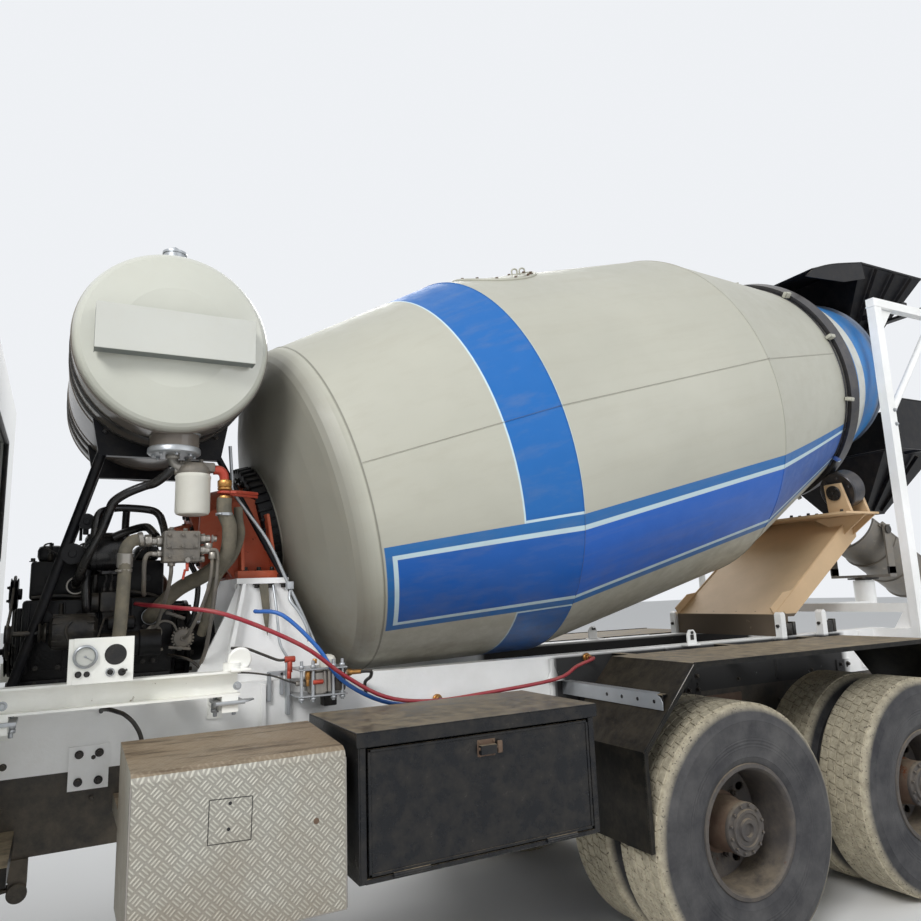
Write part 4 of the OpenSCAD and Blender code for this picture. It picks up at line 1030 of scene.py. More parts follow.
# %% Filter and its fittings
FILTER = Vector((-1.58, -0.56, 2.012))
can = turned([(0, 0.004), (0.052, 0.0), (0.064, 0.004), (0.0695, 0.014), (0.0695, 0.15),
              (0.0715, 0.154), (0.0715, 0.162), (0.067, 0.168), (0.067, 0.171), (0, 0.171)],
             FILTER, UP, 48)
wear(can, "filter_can", filter_white, replaces=("oil_filter",))
head = [turned([(0, 0.17), (0.066, 0.17), (0.068, 0.178), (0.064, 0.196), (0.05, 0.214),
                (0.03, 0.22), (0, 0.22)],
               FILTER, UP, 36),
        brick(FILTER + Vector((-0.06, -0.026, 0.182)), FILTER + Vector((0.085, 0.026, 0.222)), 0.008),
        bolt(FILTER + Vector((-0.02, 0, 0.222)), UP, 0.01),
        bolt(FILTER + Vector((0.03, 0, 0.222)), UP, 0.01)]
wear(head, "filter_head", cast_grey)
rusty_bend = pipe([(-1.5, -0.56, 2.206), (-1.475, -0.56, 2.206), (-1.458, -0.558, 2.192),
                   (-1.452, -0.555, 2.165), (-1.451, -0.555, 2.13)],
                  0.02)
wear(rusty_bend, "filter_bend", copper_red)
couplings = [nut((-1.451, -0.555, 2.15), UP, 0.032, 0.03),
             hoop((-1.451, -0.555, 2.128), UP, 0.019, 0.012, 0.01, 24),
             nut((-1.45, -0.553, 2.088), UP, 0.026, 0.022)]
wear(couplings, "brass_couplings", brass)
red_clamps = [hoop((-1.451, -0.555, 2.112), UP, 0.026, 0.01, 0.005, 24),
              nut((-1.43, -0.57, 2.112), AFT, 0.008, 0.05),
              rod((-1.432, -0.55, 2.118), (-1.29, -0.45, 2.124), 0.0085),
              rod((-1.432, -0.55, 2.106), (-1.29, -0.45, 2.11), 0.006)]
wear(red_clamps, "red_clamps", copper_red)
ferrule = [hoop((-1.449, -0.548, 2.062), (0, 0.02, -1), 0.022, 0.05, 0.006, 24),
           clip((-1.449, -0.546, 2.02), (0, 0.02, -1), 0.0325),
           clip((-1.7, -0.287, 1.606), (0, 1, 0.1), 0.033)]
wear(ferrule, "hose_ferrules", galvanised)
suction = [pipe([(-1.45, -0.553, 2.09), (-1.448, -0.545, 2.03), (-1.423, -0.535, 1.96),
                 (-1.432, -0.5, 1.845), (-1.5, -0.44, 1.775), (-1.6, -0.36, 1.715),
                 (-1.69, -0.3, 1.62), (-1.7, -0.255, 1.6)],
                0.0315, 8),
           pipe([(-1.376, -0.47, 2.06), (-1.372, -0.47, 2.0), (-1.362, -0.46, 1.94),
                 (-1.388, -0.44, 1.85), (-1.45, -0.4, 1.755), (-1.475, -0.36, 1.62),
                 (-1.49, -0.3, 1.52)],
                0.02, 8)]
wear(suction, "suction_hoses", dusty_hose)

# %% [markdown]
# The deck engine drives the drum's pump. Its block, head and covers are castings with rounded
# edges, ribs and core plugs; the auxiliaries hang on its left side, where the photograph shows
# them against the light: canister, injection pump, starter and alternator.

# %% Engine block, head and housing
ENGINE_X0, ENGINE_X1 = -2.18, -1.6
CYLINDERS = [-2.09 + 0.128 * i for i in range(4)]
block = [brick((ENGINE_X0, -0.25, 1.342), (ENGINE_X1, 0.25, 1.69), 0.014),
         brick((ENGINE_X0 + 0.02, -0.19, 1.69), (ENGINE_X1 - 0.04, 0.19, 1.85), 0.012),
         brick((ENGINE_X0 - 0.018, -0.2, 1.4), (ENGINE_X0 + 0.002, 0.2, 1.66), 0.008),
         brick((ENGINE_X0 + 0.01, -0.262, 1.345), (ENGINE_X1 - 0.01, 0.262, 1.372), 0.005)]
for x in CYLINDERS:
    block.append(brick((x - 0.05, -0.15, 1.85), (x + 0.05, 0.15, 1.92), 0.022))
    for side in BOTH_SIDES:
        block.append(brick((x - 0.07, side * 0.249 - 0.006, 1.4),
                           (x - 0.06, side * 0.249 + 0.006, 1.68), 0.003))
        block.append(disc((x, side * 0.248, 1.62), (0, side, 0), 0.024, 0.008, 20))
        block.append(disc((x, side * 0.188, 1.77), (0, side, 0), 0.017, 0.007, 16))
for side in BOTH_SIDES:
    block.append(brick((-2.14, side * 0.249 - 0.004, 1.41), (-1.66, side * 0.249 + 0.012, 1.575),
                       0.004))
wear(block, "engine_castings", engine_black, replaces=("deck_engine",))

fastened = []
for x in CYLINDERS:
    fastened += bolts([(x, -0.07, 1.92), (x, 0.07, 1.92)], UP, 0.01)
    fastened += bolts([(x - 0.064, y, 1.85) for y in (-0.165, 0.165)], UP, 0.01)
for x in (-2.12, -2.04, -1.96, -1.88, -1.8, -1.72, -1.68):
    for z in (1.42, 1.565):
        fastened += bolts([(x, -0.261, z)], LEFT, 0.007) + bolts([(x, 0.261, z)], RIGHT, 0.007)
    fastened += bolts([(x, -0.262, 1.359)], LEFT, 0.006)
fastened.append(bolt_ring((-1.514, 0, 1.48), AFT, 0.165, 12, 0.01))
fastened.append(bolt_ring((-2.198, 0, 1.5), FORE, 0.155, 10, 0.008, 0.2))
wear(fastened, "engine_bolts", dark_metal, slot="black_steel")

housing = [turned([(0, 0), (0.182, 0), (0.19, 0.006), (0.19, 0.022), (0.176, 0.03), (0.172, 0.062),
                   (0.19, 0.07), (0.19, 0.086), (0.1, 0.09), (0.09, 0.1), (0.088, 0.175),
                   (0.104, 0.18), (0.104, 0.205), (0.03, 0.21), (0.03, 0.235), (0, 0.235)],
                  (-1.602, 0, 1.48), AFT, 48)]
housing += around(brick((-1.578, -0.006, 1.65), (-1.534, 0.006, 1.668), 0.002), (-1.602, 0, 1.48),
                  AFT, 16)
wear(housing, "flywheel_housing", engine_black)

# %% [markdown]
# Each auxiliary is a turned body with what makes it known: cooling slots and a pulley on the
# alternator, a solenoid on the starter, four unions and their thin lines on the injection pump.

# %% Engine auxiliaries
alternator = [turned([(0, 0), (0.05, 0.002), (0.066, 0.014), (0.07, 0.04), (0.07, 0.13),
                      (0.064, 0.16), (0.045, 0.176), (0, 0.178)],
                     (-2.08, -0.33, 1.56), AFT, 32),
              turned([(0.006, -0.036), (0.036, -0.036), (0.038, -0.03), (0.028, -0.022),
                      (0.038, -0.014), (0.036, -0.008), (0.008, -0.006)],
                     (-2.08, -0.33, 1.56), AFT, 24)]
alternator += around(brick((-2.068, -0.333, 1.602), (-2.03, -0.327, 1.631), 0.001),
                     (-2.08, -0.33, 1.56), AFT, 12)
alternator += around(brick((-1.945, -0.333, 1.602), (-1.915, -0.327, 1.631), 0.001),
                     (-2.08, -0.33, 1.56), AFT, 12)
alternator += [brick((-2.0, -0.335, 1.5), (-1.96, -0.25, 1.545), 0.004),
               rod((-2.04, -0.3, 1.6), (-2.04, -0.25, 1.67), 0.008)]
wear(alternator, "alternator", dark_metal, slot="black_steel")

starter = [turned([(0, 0), (0.04, 0), (0.048, 0.008), (0.048, 0.15), (0.055, 0.156), (0.055, 0.236),
                   (0.03, 0.24), (0, 0.24)],
                  (-1.9, -0.34, 1.5), AFT, 28),
           turned([(0, 0), (0.024, 0.002), (0.028, 0.01), (0.028, 0.1), (0.02, 0.108), (0, 0.108)],
                  (-1.87, -0.355, 1.585), AFT, 20),
           brick((-1.86, -0.32, 1.48), (-1.7, -0.25, 1.54), 0.006),
           rod((-1.885, -0.36, 1.59), (-1.885, -0.35, 1.62), 0.006)]
wear(starter, "starter", engine_black)

pump = [brick((-1.9, -0.335, 1.63), (-1.795, -0.262, 1.715), 0.01),
        disc((-1.903, -0.3, 1.672), FORE, 0.04, 0.03),
        brick((-1.89, -0.3, 1.6), (-1.8, -0.245, 1.66), 0.006)]
for i, x in enumerate(CYLINDERS):
    outlet = Vector((-1.885 + 0.026 * i, -0.3, 1.715))
    pump += [nut(outlet + Vector((0, 0, 0.01)), UP, 0.011, 0.022),
             nut(outlet + Vector((0, 0, 0.03)), UP, 0.007, 0.018),
             nut((x, -0.172, 1.868), (0, -0.4, 1), 0.012, 0.03),
             rod((x, -0.172, 1.87), (x, -0.188, 1.915), 0.007)]
    pump.append(pipe([outlet + Vector((0, 0, 0.03)), outlet + Vector((0, -0.004, 0.075)),
                      ((outlet.x + x) / 2, -0.285, 1.835 + 0.012 * i), (x - 0.02, -0.235, 1.905),
                      (x, -0.2, 1.925), (x, -0.189, 1.912)],
                     0.0034, 5))
wear(pump, "injection_pump", dark_metal, slot="black_steel")

bright = [turned([(0, -0.012), (0.012, -0.012), (0.014, -0.004), (0.03, 0), (0.034, 0.004),
                  (0.034, 0.014), (0.02, 0.018), (0.02, 0.04), (0, 0.04)],
                 (-1.689, -0.345, 1.537), RIGHT, 24),
          bolt_ring((-1.689, -0.347, 1.537), LEFT, 0.024, 6, 0.004),
          turned([(0, -0.016), (0.01, -0.016), (0.012, -0.006), (0.036, -0.002), (0.04, 0.004),
                  (0.04, 0.012), (0.024, 0.016), (0.024, 0.05), (0, 0.05)],
                 (-1.572, -0.335, 1.509), RIGHT, 28)]
bright += around(brick((-1.576, -0.337, 1.547), (-1.568, -0.323, 1.556), 0.001),
                 (-1.572, -0.335, 1.509), RIGHT, 20)
bright += [pipe([(-1.689, -0.36, 1.56), (-1.66, -0.37, 1.585), (-1.62, -0.365, 1.575),
                 (-1.6, -0.35, 1.545)],
                0.005),
           pipe([(-1.705, -0.36, 1.52), (-1.715, -0.372, 1.49), (-1.69, -0.37, 1.465),
                 (-1.655, -0.36, 1.47)],
                0.006),
           rod((-1.63, -0.35, 1.475), (-1.54, -0.34, 1.462), 0.006),
           nut((-1.585, -0.345, 1.468), AFT, 0.01, 0.018),
           rod((-1.64, -0.3, 1.62), (-1.56, -0.3, 1.59), 0.008)]
wear(bright, "pump_parts", cast_grey)

canister = [turned([(0, 0), (0.06, 0), (0.078, 0.01), (0.085, 0.028), (0.085, 0.15), (0.078, 0.17),
                    (0.05, 0.182), (0, 0.184)],
                   (-1.965, -0.265, 1.88), AFT, 40),
            hoop((-1.93, -0.265, 1.88), AFT, 0.085, 0.018, 0.003, 40),
            hoop((-1.83, -0.265, 1.88), AFT, 0.085, 0.018, 0.003, 40),
            brick((-1.93, -0.24, 1.79), (-1.81, -0.185, 1.83), 0.006),
            brick((-1.9, -0.345, 1.785), (-1.84, -0.19, 1.8), 0.004),
            rod((-1.92, -0.29, 1.79), (-1.92, -0.262, 1.7), 0.014)]
wear(canister, "air_canister", gloss_black)

idlers = [turned([(0, -0.018), (0.012, -0.018), (0.014, -0.012), (0.033, -0.012), (0.033, -0.006),
                  (0.027, 0), (0.033, 0.006), (0.033, 0.012), (0.014, 0.014), (0.014, 0.06),
                  (0, 0.06)],
                 (-1.964, -0.32, 2.006), RIGHT, 28),
          turned([(0, -0.02), (0.014, -0.02), (0.016, -0.012), (0.042, -0.012), (0.042, -0.006),
                  (0.034, 0), (0.042, 0.006), (0.042, 0.012), (0.016, 0.014), (0.016, 0.09),
                  (0, 0.09)],
                 (-2.01, -0.33, 1.872), RIGHT, 28),
          brick((-1.975, -0.285, 1.955), (-1.953, -0.262, 2.008), 0.004),
          brick((-2.02, -0.27, 1.85), (-1.96, -0.24, 1.89), 0.004),
          rod((-1.982, -0.27, 1.93), (-1.982, -0.27, 2.03), 0.006)]
wear(idlers, "idlers", engine_black)

# %% [markdown]
# The front end: crank and water pump pulleys with their belt, the timing case and the hub that
# looks at the cab. On the right side the manifold's four stubs run into one pipe.

# %% Engine front, exhaust and lines
def grooved(place, axis, radius, width):
    rim = [(0.3, -0.5), (0.96, -0.5), (1, -0.42), (0.86, -0.25), (1, -0.08), (1, 0.08),
           (0.86, 0.25), (1, 0.42), (0.96, 0.5), (0.3, 0.5)]
    return turned([(radius * r, width * h) for r, h in rim], place, axis, 36)


front = [brick((-2.212, -0.16, 1.42), (-2.178, 0.16, 1.66), 0.016),
         grooved((-2.222, 0, 1.48), AFT, 0.105, 0.036), disc((-2.246, 0, 1.48), AFT, 0.034, 0.03),
         grooved((-2.222, 0.02, 1.72), AFT, 0.07, 0.03),
         disc((-2.242, 0.02, 1.72), AFT, 0.024, 0.05), bolt((-2.246, 0, 1.48), FORE, 0.014),
         bolt_ring((-2.24, 0.02, 1.72), FORE, 0.04, 4, 0.006)]
wear(front, "engine_front", engine_black)
loop = [(-2.222, 0.1 * math.cos(a) + y, 1.48 + 0.1 * math.sin(a))
        for a, y in ((math.pi * k / 8 + math.pi, 0) for k in range(0, 9))]
loop += [(-2.222, 0.096, 1.6), (-2.222, 0.088, 1.71)] + [(-2.222, 0.02 + 0.068 * math.cos(a),
                                                          1.72 + 0.068 * math.sin(a))
                                                         for a in (0.2, 0.6, 1.1, 1.6)]
loop += [(-2.222, -0.15, 1.66), (-2.222, -0.3, 1.602), (-2.222, -0.358, 1.585),
         (-2.222, -0.366, 1.555), (-2.222, -0.34, 1.528), (-2.222, -0.22, 1.46), loop[0]]
belt = pipe(loop, 0.006, 3)
tensioner = [grooved((-2.218, -0.33, 1.56), AFT, 0.036, 0.026),
             rod((-2.205, -0.33, 1.56), (-2.08, -0.33, 1.56), 0.009)]
wear([belt] + tensioner, "belt_drive", trim_black, slot="black_steel")

exhaust = [pipe([(-2.13, 0.25, 1.785), (-1.66, 0.25, 1.785), (-1.62, 0.252, 1.775),
                 (-1.6, 0.262, 1.74), (-1.6, 0.262, 1.6)],
                0.036, 6)]
for x in CYLINDERS:
    exhaust += [pipe([(x, 0.185, 1.775), (x, 0.2, 1.775), (x, 0.22, 1.778), (x, 0.24, 1.785)],
                     0.024, 4),
                brick((x - 0.036, 0.186, 1.745), (x + 0.036, 0.198, 1.805), 0.004)]
    exhaust += bolts([(x - 0.028, 0.198, 1.775), (x + 0.028, 0.198, 1.775)], RIGHT, 0.007)
exhaust += [hoop((-1.6, 0.262, 1.62), UP, 0.037, 0.02, 0.01, 24)]
wear(exhaust, "exhaust_manifold", rusty_steel)

lines = [pipe([(-1.6405, -0.56, 2.205), (-1.665, -0.56, 2.202), (-1.69, -0.545, 2.175),
               (-1.725, -0.52, 2.148), (-1.76, -0.5, 2.138), (-1.823, -0.48, 2.11),
               (-1.868, -0.462, 2.078), (-1.884, -0.45, 2.045), (-1.91, -0.425, 1.96),
               (-1.955, -0.395, 1.86), (-1.985, -0.33, 1.775), (-1.99, -0.25, 1.746),
               (-1.99, -0.19, 1.745)],
              0.019, 8),
         pipe([(-1.935, -0.4, 1.9), (-1.932, -0.42, 1.985), (-1.92, -0.41, 2.03),
               (-1.895, -0.4, 2.046), (-1.837, -0.38, 2.059), (-1.732, -0.38, 2.053),
               (-1.695, -0.41, 2.032), (-1.68, -0.44, 1.99), (-1.675, -0.5, 1.935)],
              0.016, 8),
         pipe([(-1.817, -0.38, 2.05), (-1.816, -0.34, 2.0), (-1.815, -0.32, 1.93)], 0.015, 5),
         pipe([(-1.86, -0.34, 1.94), (-1.8, -0.36, 1.965), (-1.74, -0.42, 1.975),
               (-1.71, -0.5, 1.93)],
              0.017, 6),
         pipe([(-1.95, -0.3, 1.8), (-1.955, -0.33, 1.74), (-1.95, -0.33, 1.66), (-1.94, -0.3, 1.62)],
              0.017, 6),
         pipe([(-1.6, -0.28, 1.86), (-1.56, -0.33, 1.84), (-1.52, -0.36, 1.74), (-1.53, -0.34, 1.6),
               (-1.56, -0.3, 1.54)],
              0.012, 6)]
wear(lines, "engine_hoses", gloss_black, slot="hose_rubber")

loom = [pipe([(-2.15, -0.21, 1.7), (-2.05, -0.225, 1.705), (-1.95, -0.222, 1.7),
              (-1.85, -0.24, 1.72), (-1.7, -0.23, 1.7), (-1.62, -0.22, 1.66)],
             0.007, 5),
        pipe([(-2.0, -0.39, 1.6), (-2.02, -0.42, 1.56), (-1.98, -0.5, 1.46), (-1.93, -0.62, 1.43),
              (-1.92, -0.7, 1.44)],
             0.005, 6),
        pipe([(-1.88, -0.36, 1.61), (-1.9, -0.42, 1.55), (-1.93, -0.54, 1.44), (-1.9, -0.66, 1.42)],
             0.004, 6),
        pipe([(-1.62, -0.27, 1.44), (-1.55, -0.34, 1.42), (-1.5, -0.36, 1.38), (-1.46, -0.36, 1.34)],
             0.006, 6)]
wear(loom, "engine_loom", trim_black, slot="hose_rubber")

# %% [markdown]
# The drum's hydraulics stand beside the engine: a valve block with its cover bolts, unions on
# both sides, and hoses whose ends carry crimped ferrules. The drive's orange housing shows
# between them, with gussets in front of its round case.

# %% Valve block and its lines
valve_block = [brick((-1.69, -0.6, 1.82), (-1.55, -0.5, 1.945), 0.006),
               brick((-1.64, -0.5, 1.855), (-1.54, -0.09, 1.895), 0.006),
               brick((-1.68, -0.606, 1.872), (-1.56, -0.598, 1.938), 0.003)]
valve_block += bolts([(-1.672, -0.607, 1.928), (-1.62, -0.607, 1.928), (-1.568, -0.607, 1.928),
                      (-1.672, -0.607, 1.882), (-1.62, -0.607, 1.882), (-1.568, -0.607, 1.882)],
                     LEFT, 0.0065)
valve_block += bolts([(-1.668, -0.601, 1.842), (-1.576, -0.601, 1.836)], LEFT, 0.006)
valve_block += bolts([(-1.66, -0.53, 1.946), (-1.6, -0.53, 1.946), (-1.66, -0.58, 1.946)], UP, 0.01)
wear(valve_block, "valve_block", cast_grey)

unions = [nut((-1.702, -0.56, 1.905), AFT, 0.024, 0.022),
          nut((-1.722, -0.56, 1.905), AFT, 0.018, 0.024),
          nut((-1.745, -0.56, 1.908), (1, 0, 0.1), 0.026, 0.026),
          nut((-1.772, -0.56, 1.913), (1, 0, 0.2), 0.03, 0.02, 12),
          nut((-1.7, -0.56, 1.855), AFT, 0.016, 0.02),
          nut((-1.718, -0.56, 1.855), AFT, 0.011, 0.022),
          nut((-1.538, -0.56, 1.915), AFT, 0.022, 0.024),
          nut((-1.518, -0.56, 1.915), AFT, 0.017, 0.022),
          nut((-1.54, -0.575, 1.868), AFT, 0.018, 0.02),
          nut((-1.522, -0.575, 1.866), AFT, 0.014, 0.022),
          nut((-1.536, -0.55, 1.835), AFT, 0.016, 0.02),
          nut((-1.515, -0.565, 1.885), UP, 0.019, 0.024),
          nut((-1.5, -0.58, 1.845), UP, 0.015, 0.028), nut((-1.6, -0.61, 1.826), LEFT, 0.012, 0.02),
          nut((-1.655, -0.56, 1.815), UP, 0.016, 0.02), bolt((-1.498, -0.56, 1.915), AFT, 0.012)]
wear(unions, "block_unions", bare_steel)

return_hose = [pipe([(-1.77, -0.56, 1.912), (-1.8, -0.562, 1.908), (-1.822, -0.568, 1.885),
                     (-1.83, -0.575, 1.85), (-1.829, -0.59, 1.8), (-1.834, -0.612, 1.66),
                     (-1.842, -0.632, 1.54), (-1.86, -0.645, 1.43), (-1.885, -0.65, 1.402)],
                    0.0245, 8)]
wear(return_hose, "return_hose", dusty_hose, replaces=("hydraulic_pipes",))
ends = [hoop((-1.829, -0.5825, 1.83), (0, 0.12, -1), 0.0245, 0.055, 0.005, 24),
        clip((-1.829, -0.588, 1.79), (0, 0.12, -1), 0.0255),
        hoop((-1.99, -0.215, 1.745), RIGHT, 0.031, 0.05, 0.006, 24),
        clip((-1.65, -0.558, 2.202), AFT, 0.02)]
wear(ends, "hose_ends", bare_steel)

thin = [pipe([(-1.515, -0.575, 1.866), (-1.488, -0.575, 1.868), (-1.478, -0.572, 1.85),
              (-1.476, -0.565, 1.8), (-1.478, -0.55, 1.72), (-1.482, -0.5, 1.6),
              (-1.49, -0.42, 1.46), (-1.5, -0.36, 1.4)],
             0.0085, 6),
        pipe([(-1.5, -0.58, 1.84), (-1.5, -0.575, 1.79), (-1.505, -0.55, 1.72), (-1.53, -0.5, 1.62),
              (-1.56, -0.42, 1.53), (-1.57, -0.35, 1.51)],
             0.007, 6),
        pipe([(-1.655, -0.56, 1.81), (-1.655, -0.555, 1.77), (-1.66, -0.5, 1.7),
              (-1.67, -0.4, 1.62), (-1.68, -0.35, 1.56)],
             0.008, 6),
        pipe([(-1.718, -0.56, 1.855), (-1.745, -0.56, 1.852), (-1.755, -0.55, 1.82),
              (-1.75, -0.5, 1.74), (-1.74, -0.4, 1.7), (-1.73, -0.33, 1.7)],
             0.009, 6)]
wear(thin, "thin_lines", cast_grey)
small_red = [nut((-1.6, -0.605, 1.8), (0, 0.2, 1), 0.007, 0.035),
             rod((-1.607, -0.602, 1.79), (-1.615, -0.6, 1.75), 0.005)]
wear(small_red, "block_lever", copper_red)


# %% [markdown]
# The planetary drive of the drum: a round case behind two side plates with gussets, and a black
# bolted ring where it meets the drum's head.

# %% Drum drive
AXIS = Vector((math.cos(DRUM_TILT), 0, math.sin(DRUM_TILT)))


def on_axis(s):
    return Vector(DRUM_SEAM) + AXIS * s


case = [turned([(0, -0.72), (0.08, -0.72), (0.085, -0.712), (0.085, -0.6), (0.145, -0.6),
                (0.15, -0.594), (0.15, -0.562), (0.205, -0.56), (0.215, -0.55), (0.215, -0.5),
                (0.207, -0.494), (0.207, -0.42), (0.215, -0.414), (0.215, -0.33), (0.19, -0.29)],
               DRUM_SEAM, AXIS, 56)]
for side in BOTH_SIDES:
    y = side * 0.2375
    case.append(plate([(-1.345, y - 0.0225, 1.755), (-1.135, y - 0.0225, 1.755),
                       (-1.165, y - 0.0225, 1.9), (-1.2, y - 0.0225, 2.1), (-1.3, y - 0.0225, 2.14),
                       (-1.5, y - 0.0225, 2.045), (-1.505, y - 0.0225, 1.93),
                       (-1.4, y - 0.0225, 1.83)],
                      (0, 0.045, 0), 0.004))
    case.append(plate([(-1.33, side * 0.26, 1.79), (-1.315, side * 0.26, 1.79),
                       (-1.325, side * 0.26, 2.06), (-1.34, side * 0.26, 2.06)],
                      (0, side * 0.075, 0), 0.002))
    case.append(plate([(-1.18, side * 0.26, 1.79), (-1.165, side * 0.26, 1.79),
                       (-1.205, side * 0.26, 2.05), (-1.22, side * 0.26, 2.05)],
                      (0, side * 0.075, 0), 0.002))
case += [brick((-1.348, -0.345, 1.755), (-1.155, 0.345, 1.79), 0.005)]
wear(case, "drive_housing", orange_paint, replaces=("drum_gearbox",))
ring = [turned([(0.19, -0.33), (0.268, -0.33), (0.28, -0.322), (0.28, -0.2553), (0.19, -0.2553)],
               DRUM_SEAM, AXIS, 72)]
ring += around(brick((-0.006, 0.262, -0.33), (0.006, 0.292, -0.262), 0.003), ORIGIN, UP, 40)
ring = [ring[0]] + [laid(joined(ring[1:]), DRUM_SEAM, AXIS)]
wear(ring, "drive_flange", engine_black)
flange_bolts = [bolt_ring(on_axis(-0.331), -AXIS, 0.236, 24, 0.011),
                bolt_ring(on_axis(-0.601), -AXIS, 0.118, 10, 0.01)]
flange_bolts += bolts([(x, y, 1.79) for x in (-1.31, -1.25, -1.19) for y in (-0.325, 0.325)], UP,
                      0.011)
flange_bolts += bolts([(x, y, 1.7285) for x in (-1.33, -1.27, -1.21, -1.15) for y in (-0.378, 0.378)],
                      DOWN, 0.012)
wear(flange_bolts, "drive_bolts", dark_metal)

stays = [pipe([(-1.412, -0.452, 2.335), (-1.4, -0.446, 2.2), (-1.385, -0.44, 2.12),
               (-1.241, -0.43, 1.926), (-1.147, -0.42, 1.742), (-1.131, -0.43, 1.7),
               (-1.085, -0.44, 1.6), (-1.023, -0.45, 1.452)],
              0.0075, 6),
         pipe([(-1.131, -0.43, 1.7), (-1.14, -0.45, 1.655), (-1.105, -0.47, 1.6),
               (-1.07, -0.475, 1.53), (-1.06, -0.47, 1.47)],
              0.007, 6),
         pipe([(-1.2, -0.39, 1.72), (-1.195, -0.42, 1.64), (-1.19, -0.44, 1.55),
               (-1.185, -0.455, 1.47), (-1.155, -0.46, 1.41)],
              0.006, 6),
         brick((-1.15, -0.445, 1.7), (-1.12, -0.41, 1.735), 0.003)]
wear(stays, "grey_conduits", galvanised)
wedge = [plate([(-1.262, -0.385, 1.728), (-1.222, -0.385, 1.728), (-1.214, -0.385, 1.62),
                (-1.222, -0.385, 1.5), (-1.238, -0.385, 1.56)],
               (0, -0.006, 0), 0.001)]
wear(wedge, "hanging_plate", dusty_hose, slot="grey_steel")

# %% [markdown]
# The cream frame under the engine carries the instrument panel, two round pads and the clamps
# that hold it to the truck. The panel's dial has a chrome bezel, a white face and a needle, and
# the places for its labels stay blank.

# %% Instrument panel, pads and clamps
panel = [plate([(-1.995, -0.7985, 1.39), (-1.8, -0.7985, 1.39), (-1.8, -0.7985, 1.547),
                (-1.995, -0.7985, 1.547)],
               (0, 0.004, 0), 0.001)]
wear(panel, "instrument_panel", cream_paint)
dial = [turned([(0.03, -0.002), (0.0385, -0.002), (0.0405, 0.004), (0.0395, 0.012), (0.034, 0.015),
                (0.031, 0.009), (0.03, 0.004), (0.03, -0.002)],
               (-1.957, -0.7985, 1.484), LEFT, 40),
        rod((-1.957, -0.805, 1.484), (-1.935, -0.805, 1.47), 0.0012, 6),
        disc((-1.957, -0.8025, 1.484), LEFT, 0.004, 0.004, 12)]
dial += [hoop((-1.876, -0.8005, 1.426), RIGHT, 0.012, 0.008, 0.003, 24)]
wear(dial, "dial_bezel", galvanised)
face = disc((-1.957, -0.7995, 1.484), LEFT, 0.031, 0.003, 32)
wear(face, "dial_face", sign_paint)
knobs = [disc((-1.86, -0.79855, 1.486), LEFT, 0.036, 0.002, 32),
         disc((-1.977, -0.7985, 1.425), LEFT, 0.011, 0.01, 20),
         disc((-1.95, -0.7985, 1.424), LEFT, 0.01, 0.006, 20),
         disc((-1.876, -0.7985, 1.426), LEFT, 0.009, 0.014, 16),
         disc((-1.838, -0.7985, 1.424), LEFT, 0.013, 0.012, 16),
         rod((-1.838, -0.806, 1.424), (-1.822, -0.816, 1.432), 0.004, 8)]
wear(knobs, "panel_knobs", gloss_black)

pads = []
for side in BOTH_SIDES:
    pads.append(turned([(0, 0), (0.04, 0), (0.042, 0.004), (0.042, 0.014), (0.03, 0.02),
                        (0.028, 0.026), (0.0, 0.026)],
                       (-1.413, side * 0.702, 1.392), UP, 32))
    pads.append(disc((-1.413, side * 0.742, 1.432), (0, -side, 0.25), 0.046, 0.018, 32, 0.005))
    pads.append(brick((-1.452, side * 0.745 - 0.02, 1.388), (-1.374, side * 0.745 + 0.012, 1.4),
                      0.003))
wear(pads, "frame_pads", cream_paint)
clamps = []
for side in BOTH_SIDES:
    for x in (-1.45, -2.21):
        clamps += [brick((x - 0.055, side * 0.69 - 0.075, 1.268),
                         (x + 0.055, side * 0.69 + 0.075, 1.282), 0.003)]
        for dx in (-0.036, 0.036):
            clamps += [rod((x + dx, side * 0.64, 1.3), (x + dx, side * 0.64, 1.215), 0.008),
                       nut((x + dx, side * 0.64, 1.255), UP, 0.017, 0.018),
                       nut((x + dx, side * 0.64, 1.238), UP, 0.017, 0.014)]
    clamps += [bolt((-1.425, side * 0.751, 1.336), (0, side, 0), 0.011),
               bolt((-2.2, side * 0.751, 1.336), (0, side, 0), 0.011)]
    clamps += [plate([(-1.42, side * 0.6, 1.262), (-1.33, side * 0.6, 1.262),
                      (-1.33, side * 0.62, 1.262), (-1.36, side * 0.66, 1.262),
                      (-1.42, side * 0.66, 1.262)],
                     (0, 0, 0.006), 0.001)]
wear(clamps, "frame_clamps", galvanised)

# %% [markdown]
# The air valves on the subframe: a bracket with two legs, a slide valve with brass and red
# unions, and a small tank with its white cap. Small lines run off to both sides.

